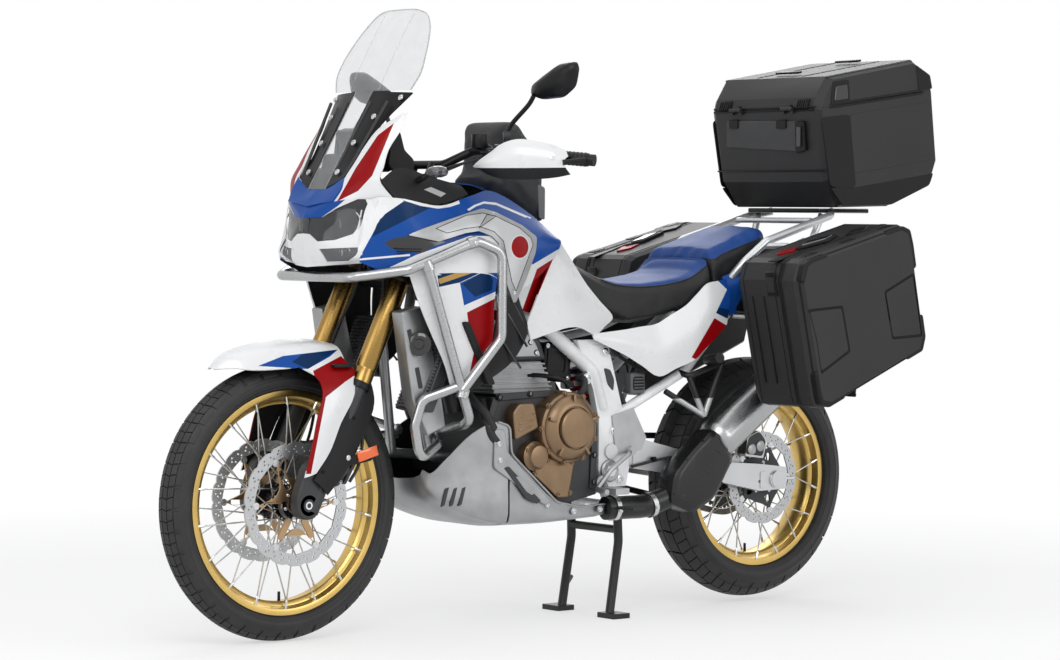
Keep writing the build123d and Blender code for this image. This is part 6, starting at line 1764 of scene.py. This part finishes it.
# ---------------------------------------------------------------- rear end
def rear_suspension():
    dress("chain", "chain_dark")
    dress("swingarm", "alloy", 3)
    piece = Piece("swingarm_details", "chassis", "raw_aluminium")
    for side in (1, -1):
        outer = 126 if side > 0 else 118
        for r, sides in ((24, 32), (15, 6)):
            piece.add(lathe([(0, 0), (0, r), (3, r), (4.4, r - 2), (4.4, 0)], sides), "steel",
                      shift(side * outer, 700, 345) @ rotation("Z", 0 if side > 0 else 180))
        piece.add(side_plate([(640, 322), (660, 322), (660, 368), (640, 368)], side * outer - 2,
                             side * outer + 2, 1, 1, 3), "alloy")
        piece.add(lathe([(0, 0), (0, 5), (34, 5), (34, 0)], 12), "steel",
                  shift(side * (outer - 8), 738, 345) @ rotation("Z", 90))
    # Caliper at the rear disc, and its hose with three clips.
    piece.add(side_plate([(606, 414), (676, 404), (690, 450), (662, 480), (618, 464)], 52, 99, 6, 3, 12),
              "dark_cast")
    for y, z in ((632, 428), (664, 436)):
        piece.add(lathe([(96, 0), (96, 15), (101, 15), (103, 12), (103, 0)], 28), "cast", shift(0, y, z))
    piece.add(hose([(92, 612, 452), (110, 560, 470), (128, 480, 430), (128, 300, 420), (120, 180, 400)],
                   8, 4), "rubber")
    for y in (520, 380, 250):
        clip = lathe([(-5, 7), (5, 7), (5, 4), (-5, 4)], 16, closed=True)
        piece.add(clip, "satin", shift(128, y, 430 - abs(y - 400) * 0.08) @ rotation("Z", 90))
    # Spring and damper behind the engine.
    low, high = Vector((0, 150, 430)), Vector((0, 96, 690))
    way = (high - low).normalized()
    side_one, coil = way.orthogonal().normalized(), []
    side_two = way.cross(side_one)
    count, turn_steps = 140, 20  # seven turns
    for k in range(count + 1):
        a = math.tau * k / turn_steps
        middle = low.lerp(high, 0.12 + 0.72 * k / count)
        coil.append(middle + 34 * (math.cos(a) * side_one + math.sin(a) * side_two))
    piece.add(pipe(coil, 6, 10), "red")
    piece.add(pipe([low, high], 17, 20), "steel")
    piece.add(lathe([(-6, 0), (-6, 42), (6, 42), (6, 0)], 32), "dark_cast",
              pointing(low.lerp(high, 0.88), way))
    piece.add(lathe([(-5, 0), (-5, 40), (5, 40), (5, 0)], 32), "dark_cast",
              pointing(low.lerp(high, 0.09), way))
    piece.add(pipe([(60, 150, 560), (60, 110, 680)], 24, 24), "cast")
    piece.make(sharp=34)


def foot_gear():
    dress("foot_controls", "foot_paint", 1.2)
    dress("centre_stand", "black_steel", 1.5)
    dress("side_stand", "black_steel", 1.5)
    piece = Piece("foot_gear_details", "chassis", "raw_aluminium")
    # Pivot caps, and the teeth of the pegs.
    for _, turn in SIDES:
        piece.add(lathe([(140, 0), (140, 29), (150, 29), (153, 26), (153, 0)], 36), "cast",
                  turn @ shift(0, 80, 395))
        piece.add(lathe([(153, 0), (153, 17), (156, 16), (156, 0)], 6), "steel", turn @ shift(0, 80, 395))
    for k in range(5):
        for side in (1, -1):
            piece.add(block((5, 40, 9), 1), "rubber", shift(side * (190 + 14 * k), 96, 300))
    piece.make(sharp=34)


def white_frame():
    """Frame in white and silver, with its bolts, the box beside it and two hoses."""
    dress("frame", "frame_paint", 2.5)
    piece = Piece("frame_details", "chassis", "frame_white")
    for y, z in ((64, 710), (96, 500), (118, 372), (4, 640)):
        for side in (1, -1):
            place = shift(side * 142, y, z) @ rotation("Z", 0 if side > 0 else 180)
            piece.add(bolt(10, 5), "steel", place)
            piece.add(lathe([(0, 0), (0, 15), (1.6, 15), (1.6, 0)], 28), "white", place)
    # The slot through the casting is a gloss black plate, painted shade in the opening.
    slot = [(60, 668), (84, 662), (98, 634), (94, 604), (74, 622)]
    piece.both(side_plate(slot, 141, 143, 0.8, 1, 8), "gloss")
    piece.both(side_plate([(150, 596), (200, 596), (200, 652), (150, 652)], 118, 150, 6), "grey")
    piece.both(side_plate([(156, 606), (194, 606), (194, 642), (156, 642)], 149, 152, 1.5), "satin")
    for k in range(4):
        piece.both(block((4, 34, 3), 1), "grey", shift(152, 175, 612 + 8 * k))
    piece.both(hose([(128, 40, 700), (132, 110, 620), (128, 160, 540), (120, 190, 470)], 8, 6, 10),
               "rubber")
    piece.both(hose([(112, -20, 700), (120, 60, 740), (112, 150, 690), (116, 230, 650)], 8, 5, 10),
               "rubber")
    piece.make(sharp=34)


def luggage_ring(outline, middle, share):
    return [(middle[0] + (y - middle[0]) * share, middle[1] + (z - middle[1]) * share) for y,
            z in outline]


# Outlines in the side view, (y, z).
SIDE_CASE = [(448, 900), (462, 946), (482, 958), (832, 1050), (860, 1040), (873, 1000), (925, 745),
             (914, 706), (560, 560),
             (528, 566), (518, 592)]
CASE_MIDDLE = (690, 800)


def case_ring(x, share):
    """The side case's outline at x, drawn in to a share of its size."""
    return [(x, y, z) for y, z in luggage_ring(SIDE_CASE, CASE_MIDDLE, share)]


def corner_patch(corner):
    """Protector outline that follows the case's edge round one corner."""
    reach, width = 62, 30
    ring = [Vector(p) for p in luggage_ring(SIDE_CASE, CASE_MIDDLE, 0.985)]
    first, inner, last = ring[corner[0]], [ring[k] for k in corner[1:-1]], ring[corner[-1]]
    start = inner[0] + (first - inner[0]).normalized() * min(reach, (first - inner[0]).length)
    end = inner[-1] + (last - inner[-1]).normalized() * min(reach, (last - inner[-1]).length)
    middle = Vector(CASE_MIDDLE)
    edge = [start, *inner, end]
    back = [p + (middle - p).normalized() * width for p in reversed(edge)]
    return [(p.x, p.y) for p in edge + back]


def on_pixels(outline, value):
    """Points (y, z) where the rays through picture points meet the plane x = value."""
    hits = [EYE + d * ((value - EYE.x) / d.x) for d in (ray(u, v) for u, v in outline)]
    return [(p.y, p.z) for p in hits]


# Outlines in the 1060 x 660 picture.
PANNIER_RECESSES = ([(808, 309), (843, 305), (851, 352), (821, 375), (816, 340)],
                    [(884, 291), (914, 272), (923, 337), (892, 340)])
# Points of SIDE_CASE at each lid corner: the last one before it, its own, the first one after it.
LID_CORNERS = ((0, 1, 2, 3), (2, 3, 4, 5, 6), (5, 6, 7, 8), (7, 8, 9, 10, 0))
TOP_PLATE = [(728, 121), (797, 121), (797, 151), (728, 147)]
TOP_PLATE_CLIPS = ([(731, 120), (740, 120), (740, 128), (731, 128)],
                   [(778, 120), (788, 120), (788, 128), (778, 128)])
TOP_LATCH, LATCH_TONGUE = [(797, 121), (806, 121), (808, 150), (798, 153)], [(800, 126), (804, 126),
    (804, 146), (800, 146)]
CASE_TOP_FITTINGS = (  # carrying handle, lock and its marker: outline, finish, height
    ([(768, 262), (790, 255), (846, 238), (830, 242.5), (776, 262)], "case_dark", 3),
    ([(797, 251), (806, 245.5), (838, 236.5), (830, 242)], "case_dark", 9),
    ([(802, 249), (809, 245), (833, 238.5), (827, 242)], "gloss", 12),
    ([(777, 256), (781, 252.5), (798, 248), (795, 252)], "red", 5),
    ([(846, 236), (851, 232), (868, 228), (864, 232)], "case_dark", 6),
)


def plate_on(outline, place, normal, depth, radius):
    """Plate on a plane, with an outline given in the picture."""
    turn = facing(place, normal)
    back = turn.inverted()
    sink = 1.0
    square = Vector(normal).normalized()
    points = []
    for u, v in outline:
        d = ray(u, v)
        hit = EYE + d * ((Vector(place) - EYE).dot(square) / d.dot(square))
        local = back @ hit
        points.append((local.x, local.y))
    return moved(flat([rounded(points, radius)], depth + sink, min(1.5, depth * 0.4), 1),
                 turn @ shift(0, 0, -sink))


def luggage():
    for node in ("side_cases", "left_lid", "right_lid", "top_case", "top_lid"):
        dress(node, "case", 5)
    dress("luggage_carrier", "alloy", 1)
    lid = Piece("left_lid_fittings", "left_lid", "case_plastic")
    far = Piece("right_lid_fittings", "right_lid", "case_plastic")
    for target, (_, turn) in zip((lid, far), SIDES):
        for outline in PANNIER_RECESSES:
            points = on_pixels(outline, 480)
            middle = (sum(p[0] for p in points) / len(points), sum(p[1] for p in points) / len(points))
            rim = flat([rounded(points, 8), rounded(luggage_ring(points, middle, 0.88), 6)], 2.6, 0.8)
            target.add(moved(rim, shift(477.4, 0, 0) @ SIDEWAYS), "case_dark", turn)
            target.add(side_plate(luggage_ring(points, middle, 0.87), 477.2, 478.8, 0.4, 1, 6), "case",
                       turn)
        for corner in LID_CORNERS:
            target.add(side_plate(corner_patch(corner), 449.9, 479.9, 5, 2, 7), "case_dark", turn)
        target.add(hoop(case_ring(467, 0.968), 12, 2.4), "case_dark", turn)
        target.add(hoop(case_ring(405, 0.999), 12, 3.2), "case_dark", turn)
        for y, z in ((520, 968), (660, 1005), (800, 1041)):
            target.add(block((26, 44, 4), 1.5), "case_dark",
                       turn @ shift(438, y, z) @ rotation("X", 14.7))
    lid.make(sharp=34)
    far.make(sharp=34)

    body = Piece("side_case_fittings", "chassis", "case_plastic")
    deck, up = (330, 657, 1004), (0, -0.2542, 0.9671)
    for _, turn in SIDES:
        body.add(hoop(case_ring(396, 0.999), 12, 3.2), "case_dark", turn)
        for x in (258, 376):
            body.add(hoop(case_ring(x, 0.997), 12, 2.2), "case_dark", turn)
        # Front face: latch over the seam, upright ribs.
        body.add(block((40, 8, 66), 3, 2, 0.9), "case_dark",
                 turn @ shift(368, 451, 890) @ rotation("X", 12))
        body.add(block((26, 6, 40), 2, 2), "case", turn @ shift(368, 448, 888) @ rotation("X", 12))
        for x in (286, 330):
            body.add(block((5, 5, 240), 1.5), "case_dark",
                     turn @ shift(x, 484, 740) @ rotation("X", 12.5))
        for outline, finish, depth in CASE_TOP_FITTINGS:
            body.add(plate_on(outline, deck, up, depth, 3), finish, turn)
    body.make(sharp=34)

    top = Piece("top_case_fittings", "chassis", "case_plastic")
    face, lean = (0, 773, 1265), (0, -200, -38)
    top.add(plate_on(TOP_PLATE, face, lean, 5, 5), "carbon")
    for outline in TOP_PLATE_CLIPS:
        top.add(plate_on(outline, face, lean, 9, 3), "case_dark")
    top.add(plate_on(TOP_LATCH, face, lean, 10, 5), "case_dark")
    top.add(plate_on(LATCH_TONGUE, face, lean, 14, 2), "gloss")
    top.add(block((292, 194, 13), 4), "case_dark", shift(0, 930, 1086))
    foot_y = 792 - (1196 - 1165) * 38 / 200 - 1  # just ahead of the front wall at this height
    top.add(moved(block((440, 5, 5), 1.5), shift(0, foot_y, 1196) @ rotation("X", 10.8)), "case_dark")
    seam = [(-204, 755, 1362), (204, 755, 1362), (222, 800, 1369), (222, 1160, 1419), (205, 1201, 1425),
            (-205, 1201, 1425),
            (-222, 1160, 1419), (-222, 800, 1369)]
    top.add(hoop(seam, 16, 3.2), "case_dark")
    for _, turn in SIDES:
        top.add(side_plate([(800, 1150), (900, 1150), (874, 1352), (764, 1340)], 219, 224.5, 2, 2, 16),
                "case_dark", turn)
        top.add(side_plate([(892, 1190), (1196, 1232), (1178, 1394), (874, 1352)], 220, 223.4, 1.2, 1,
                           12), "case", turn)
        foot = [(850, 1098), (1040, 1104), (1190, 1160), (1206, 1196), (880, 1150), (800, 1150)]
        top.add(side_plate(foot, 214, 222.6, 3, 2, 10), "case_dark", turn)
    top.make(sharp=34)

    cap = Piece("top_lid_fittings", "top_lid", "case_plastic")
    cap.add(hoop([(x, y, z + 8) for x, y, z in seam], 16, 3.2), "case_dark")
    for x in (-158, 158):
        for k in range(5):
            cap.add(moved(block((5, 8, 26), 1.5), shift(x - 16 + 8 * k, 752, 1378) @ rotation("X", -20)),
                    "case_dark")
        cap.add(moved(block((48, 6, 30), 2), shift(x, 755, 1379) @ rotation("X", -20)), "case_dark")
    for _, turn in SIDES:
        cap.add(side_plate([(800, 1376), (874, 1386), (868, 1448), (806, 1440)], 219, 225, 3, 2, 6),
                "case_dark", turn)
        cap.add(side_plate([(812, 1388), (862, 1395), (858, 1434), (816, 1428)], 224, 227, 1.5, 1, 4),
                "gloss", turn)
        cap.add(side_plate([(1140, 1424), (1196, 1432), (1186, 1470), (1128, 1498)], 218, 224, 3, 2, 6),
                "case_dark", turn)
        cap.add(pipe([(205, 800, 1451), (205, 1128, 1507)], 3, 8), "case_dark", turn)
    for x in (-90, 90):
        cap.add(block((10, 300, 5), 2), "case", shift(x, 965, 1483) @ rotation("X", 9.9))
    for y in (850, 1080):
        cap.add(block((90, 20, 6), 2), "case_dark", shift(0, y, 1463 + (y - 800) * 0.174) @ rotation("X",
            9.9))
    cap.make(sharp=34)


# ---------------------------------------------------------------- seats and bag
SEAT_ROWS = [  # y, then (x, z) from the top of the middle round to the bottom
    (-50, ((0, 997), (50, 991), (68, 977), (70, 963), (0, 963))),
    (20, ((0, 951), (64, 944), (96, 917), (110, 851), (0, 851))),
    (80, ((0, 908), (88, 904), (124, 884), (138, 812), (0, 812))),
    (140, ((0, 892), (110, 887), (146, 860), (156, 783), (0, 783))),
    (215, ((0, 890), (122, 886), (154, 858), (160, 794), (0, 796))),
    (290, ((0, 900), (132, 895), (162, 866), (164, 809), (0, 812))),
    (350, ((0, 908), (135, 904), (162, 878), (165, 824), (0, 828))),
    (395, ((0, 922), (136, 917), (162, 891), (166, 839), (0, 842))),
    (420, ((0, 950), (131, 944), (156, 914), (162, 852), (0, 856))),
    (434, ((0, 970), (124, 964), (148, 929), (156, 863), (0, 866)))]
PILLION_ROWS = [
    (442, ((0, 976), (122, 970), (146, 935), (154, 874), (0, 874))), (480,
        ((0, 990), (124, 984), (146, 950), (152, 889), (0, 889))),
    (520, ((0, 1002), (124, 996), (142, 965), (148, 906), (0, 906))), (580,
        ((0, 1023), (117, 1017), (134, 988), (139, 938), (0, 930))),
    (640, ((0, 1042), (110, 1036), (126, 1009), (128, 971), (0, 952))), (686,
        ((0, 1048), (78, 1040), (96, 1019), (98, 987), (0, 968)))]
# Seams in the 1060 x 660 picture. The blue top lies above them.
SEAT_SEAM = [(552, 232), (566, 249), (578, 262), (591, 273.6), (612, 284), (641, 287), (669, 284),
             (690, 278), (704, 268), (714, 258), (722, 250)]
PILLION_SEAM = [(716, 259), (722, 254.5), (760, 238.5), (799, 221)]


def closed_form(rows):
    """Closed solid through half sections that are mirrored."""
    rings = []
    for y, half in rows:
        left = [Vector((x, y, z)) for x, z in half]
        right = [Vector((-x, y, z)) for x, z in reversed(half) if x > 0]
        rings.append(left + right)
    return stacked(rings)


CLOTH_FRAMES, CLOTH_PRESSURE, SMOOTH_PASSES = 20, 4.0, 6
BOX_MARGIN = 0.0005  # metres inside the solid's box


def stuffed(name, shape, node, looks, voxel=6.0, cap=9.0, shrink=3.0):
    """Padded piece: remeshed, pressed from within as cloth, smoothed and kept inside its solid's box."""
    mesh = bpy.data.meshes.new(name)
    mesh.from_pydata([Vector(p) * MM for p in shape[0]], [], shape[1])
    work = bmesh.new()
    work.from_mesh(mesh)
    bmesh.ops.recalc_face_normals(work, faces=work.faces)
    for vert in work.verts:
        vert.co -= vert.normal * shrink * MM
    work.to_mesh(mesh)
    work.free()
    thing = bpy.data.objects.new(name, mesh)
    bpy.context.collection.objects.link(thing)
    remesh = thing.modifiers.new("remesh", "REMESH")
    remesh.mode, remesh.voxel_size = "VOXEL", voxel * MM
    smooth = thing.modifiers.new("smooth", "SMOOTH")
    smooth.factor, smooth.iterations = 0.5, 8
    bake(thing)
    start = [v.co.copy() for v in thing.data.vertices]
    cloth = thing.modifiers.new("cloth", "CLOTH")
    cloth.settings.use_pressure, cloth.settings.uniform_pressure_force = True, CLOTH_PRESSURE
    cloth.settings.effector_weights.gravity = 0
    cloth.settings.quality = 4
    cloth.settings.tension_stiffness, cloth.settings.bending_stiffness = 12, 1.5
    scene = bpy.context.scene
    for step in range(1, CLOTH_FRAMES + 1):
        scene.frame_set(step)
    bake(thing)
    scene.frame_set(1)
    ease = bmesh.new()
    ease.from_mesh(thing.data)
    for _ in range(SMOOTH_PASSES):
        bmesh.ops.smooth_vert(ease, verts=ease.verts, factor=0.5, use_axis_x=True, use_axis_y=True,
                              use_axis_z=True)
    ease.to_mesh(thing.data)
    ease.free()
    low, high = [Vector(corner) for corner in cad_box_of(node)]
    for vert, before in zip(thing.data.vertices, start):
        move = vert.co - before
        if move.length > cap * MM:
            vert.co = before + move.normalized() * cap * MM
        for axis in range(3):
            vert.co[axis] = min(max(vert.co[axis], low[axis] + BOX_MARGIN), high[axis] - BOX_MARGIN)
    thing.data.materials.clear()
    for finish in looks[0]:
        thing.data.materials.append(M[finish])
    for face in thing.data.polygons:
        face.material_index = looks[1](Vector(face.center) / MM, face.normal)
    thing.data.shade_smooth()
    finer = thing.modifiers.new("finer", "SUBSURF")
    finer.levels = finer.render_levels = 1
    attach(thing, "chassis")
    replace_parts(thing, node)
    return thing


def bake(thing):
    """Keeps what the modifiers make and removes them."""
    graph = bpy.context.evaluated_depsgraph_get()
    made = bpy.data.meshes.new_from_object(thing.evaluated_get(graph))
    thing.modifiers.clear()
    thing.data = made


def cad_box_of(node):
    corners = [NODES[node].matrix_world @ Vector(c) for c in NODES[node].bound_box]
    return [[min(c[i] for c in corners) for i in range(3)],
            [max(c[i] for c in corners) for i in range(3)]]


def seam_on(thing, line, lift=0.6, steps=4):
    """Picture line cast on a piece's surface."""
    hits = []
    dense = spline([(u, v, 0) for u, v in line], steps)
    for p in dense:
        found, place, normal, _ = thing.ray_cast(EYE * MM, ray(p.x, p.y))
        if found:
            hits.append(place / MM + normal * lift)
    return hits


def above(seam):
    """Index 0 above a picture line and 1 below it, the same on both sides."""
    (u1, v1), (u2, v2) = seam[0], seam[-1]
    outline = list(seam) + [(u2 + 60, v2 - 60), (u2 + 60, 100), (u1 - 60, 100), (u1 - 60, v1)]

    def look(place, normal):
        u, v = seen((abs(place.x), place.y, place.z))
        return 0 if inside(outline, u, v) and normal.z > -0.2 else 1
    return look


def seats():
    covers = ("seat_blue", "seat_black")
    seat = stuffed("rider_seat_pad", closed_form(SEAT_ROWS), "rider_seat",
                   (covers, above(SEAT_SEAM)), cap=6)
    pillion = stuffed("pillion_seat_pad", closed_form(PILLION_ROWS), "pillion_seat",
                      (covers, above(PILLION_SEAM)), cap=6)
    trim = Piece("seat_seams", "chassis", "seat_cover")
    for thing, line in ((seat, SEAT_SEAM), (pillion, PILLION_SEAM)):
        seam = seam_on(thing, line)
        if len(seam) > 3:
            trim.both(pipe(seam, 1.6, 6), "seat_black")
    trim.make(sharp=40)

    outline = [(-288, 1146), (-258, 1180), (-250, 1240), (-242, 1296), (-226, 1312), (-186, 1310),
               (-118, 1242), (-97, 1172), (-95, 1040),
               (-112, 1052), (-212, 1118)]
    form = moved(flat([rounded(outline, 16, 3)], 172, 12, 3), shift(-86, 0, 0) @ SIDEWAYS)
    looks = (("cloth", "seat_black"), lambda place, normal: 0)
    stuffed("tank_bag_body", form, "tank_bag", looks, voxel=5.0, cap=9.0, shrink=1.5)
    trim = Piece("tank_bag_trim", "chassis", "bag_fabric")
    trim.both(side_plate([(-226, 1266), (-140, 1226), (-132, 1176), (-226, 1190)], 82, 90, 4, 2, 14),
              "cloth")
    trim.both(pipe(filleted([(90.5, -222, 1254), (90.5, -146, 1220)], 3), 1.4, 8), "satin")
    trim.both(side_plate([(-124, 1150), (-98, 1140), (-98, 1056), (-118, 1060)], 83, 88, 2, 2, 6), "grey")
    for x in (-60, 60):
        strap = [(x, -290, 1136), (x * 1.3, -286, 1120), (x * 1.8, -280, 1106)]
        trim.add(pipe(filleted(strap, 8), 4, 8), "cloth")
    trim.add(block((70, 16, 10), 4), "seat_black", shift(0, -170, 1303) @ rotation("X", -38))
    trim.make(sharp=40)


# Foot gear: black from 0.58 to 0.90 m up and alloy elsewhere.
# Frame: silver tubes in front and white castings behind them.
M["foot_paint"] = two_finish("foot_paint", (0.42, 0.425, 0.43), (0.012, 0.012, 0.013), (0, 0, 1),
                             [(0.58, 0.90)],
                             metal=(0.85, 0.3), rough=(0.42, 0.4))
M["frame_paint"] = two_finish("frame_paint", (0.80, 0.81, 0.82), (0.40, 0.41, 0.42), (0, 1, 0),
                              [(-0.80, -0.29)],
                              metal=(0.0, 0.85), rough=(0.32, 0.36))


# ---------------------------------------------------------------- stage and light
NEAR_FLOOR, FAR_FLOOR = 1.9, 3.6  # metres from the middle over which the floor turns plain white
FLOOR_HALF, NEAR_GLOW = 9, 0.55  # half the floor's width, and its glow where it is nearest
FILL_LOW, FILL_HIGH = 0.22, 0.62  # light from the surroundings, from below the horizon up
LAMPS = (  # name, place, aim, size and power in watts
    ("key", (3.6, -3.4, 4.2), (0, 0, 0.7), (3.0, 3.0), 118),
    ("side", (4.8, 1.6, 2.2), (0, 0.2, 0.7), (2.4, 2.4), 50),
    ("front", (0.4, -5.0, 2.0), (0, -0.4, 0.8), (2.4, 2.0), 30),
    ("back", (-3.6, 3.4, 3.4), (0, 0, 0.8), (2.6, 2.6), 60),
    ("top", (0, 0.2, 4.6), (0, 0.1, 0.6), (3.4, 3.4), 30),
)


def add_area(name, place, aim, size, power):
    """Soft rectangular lamp."""
    data = bpy.data.lights.new(name, "AREA")
    data.shape, data.size, data.size_y, data.energy = "RECTANGLE", size[0], size[1], power
    lamp = bpy.data.objects.new(name, data)
    lamp.location = place
    lamp.rotation_mode = "QUATERNION"
    lamp.rotation_quaternion = (Vector(aim) - Vector(place)).to_track_quat("-Z", "Y")
    bpy.context.collection.objects.link(lamp)


def background_rays(tree):
    """1 for a ray that should meet the white background."""
    path = tree.nodes.new("ShaderNodeLightPath")
    value = path.outputs["Is Camera Ray"]
    for name in ("Is Glossy Ray", "Is Transmission Ray"):
        node = tree.nodes.new("ShaderNodeMath")
        node.operation = "MAXIMUM"
        tree.links.new(value, node.inputs[0])
        tree.links.new(path.outputs[name], node.inputs[1])
        value = node.outputs[0]
    return value


def add_stage():
    """Pale floor that turns white with distance, white surroundings and studio lamps."""
    mesh = bpy.data.meshes.new("floor")
    corners = [(x * FLOOR_HALF, y * FLOOR_HALF, 0) for x, y in ((-1, -1), (1, -1), (1, 1), (-1, 1))]
    mesh.from_pydata(corners, [], [(0, 1, 2, 3)])
    floor = bpy.data.objects.new("floor", mesh)
    bpy.context.collection.objects.link(floor)
    n = Nodes("floor")
    n.set(Base_Color=(0.95, 0.95, 0.95, 1), Roughness=0.9, Specular_IOR_Level=0.05)
    radius = n.add("VectorMath", {0: n.place}, operation="LENGTH").outputs["Value"]
    far = n.ramp(radius, NEAR_FLOOR, FAR_FLOOR, NEAR_GLOW, 1.0)
    share = n.math("MULTIPLY", far, background_rays(n.tree))
    glow = n.add("Emission", {"Color": (1, 1, 1, 1), "Strength": 1.0})
    mixed = n.add("MixShader", {0: share, 1: n.shader.outputs[0], 2: glow.outputs[0]})
    n.tree.links.new(mixed.outputs[0], n.tree.nodes["Material Output"].inputs[0])
    mesh.materials.append(n.material)

    world = bpy.data.worlds.new("world")
    bpy.context.scene.world = world
    world.use_nodes = True
    tree = world.node_tree
    tree.nodes.clear()
    fill, white = tree.nodes.new("ShaderNodeBackground"), tree.nodes.new("ShaderNodeBackground")
    fill.inputs["Color"].default_value = (0.97, 0.98, 1.0, 1)
    way = tree.nodes.new("ShaderNodeSeparateXYZ")
    tree.links.new(tree.nodes.new("ShaderNodeTexCoord").outputs["Generated"], way.inputs[0])
    height = tree.nodes.new("ShaderNodeMapRange")
    height.inputs["From Min"].default_value, height.inputs["From Max"].default_value = -0.1, 0.9
    height.inputs["To Min"].default_value, height.inputs["To Max"].default_value = FILL_LOW, FILL_HIGH
    tree.links.new(way.outputs[2], height.inputs["Value"])
    tree.links.new(height.outputs[0], fill.inputs["Strength"])
    white.inputs["Color"].default_value = (1, 1, 1, 1)
    white.inputs["Strength"].default_value = 1.0
    mix, out = tree.nodes.new("ShaderNodeMixShader"), tree.nodes.new("ShaderNodeOutputWorld")
    tree.links.new(background_rays(tree), mix.inputs[0])
    tree.links.new(fill.outputs[0], mix.inputs[1])
    tree.links.new(white.outputs[0], mix.inputs[2])
    tree.links.new(mix.outputs[0], out.inputs[0])
    for lamp in LAMPS:
        add_area(*lamp)


add_camera()
add_stage()
bpy.context.scene.view_settings.view_transform = "Standard"
wheels()
fork()
mudguard()
nose()
screen()
side_bodywork()
fuel_tank()
controls()
engine()
radiators()
underside()
exhaust_system()
rear_suspension()
foot_gear()
white_frame()
seats()
luggage()
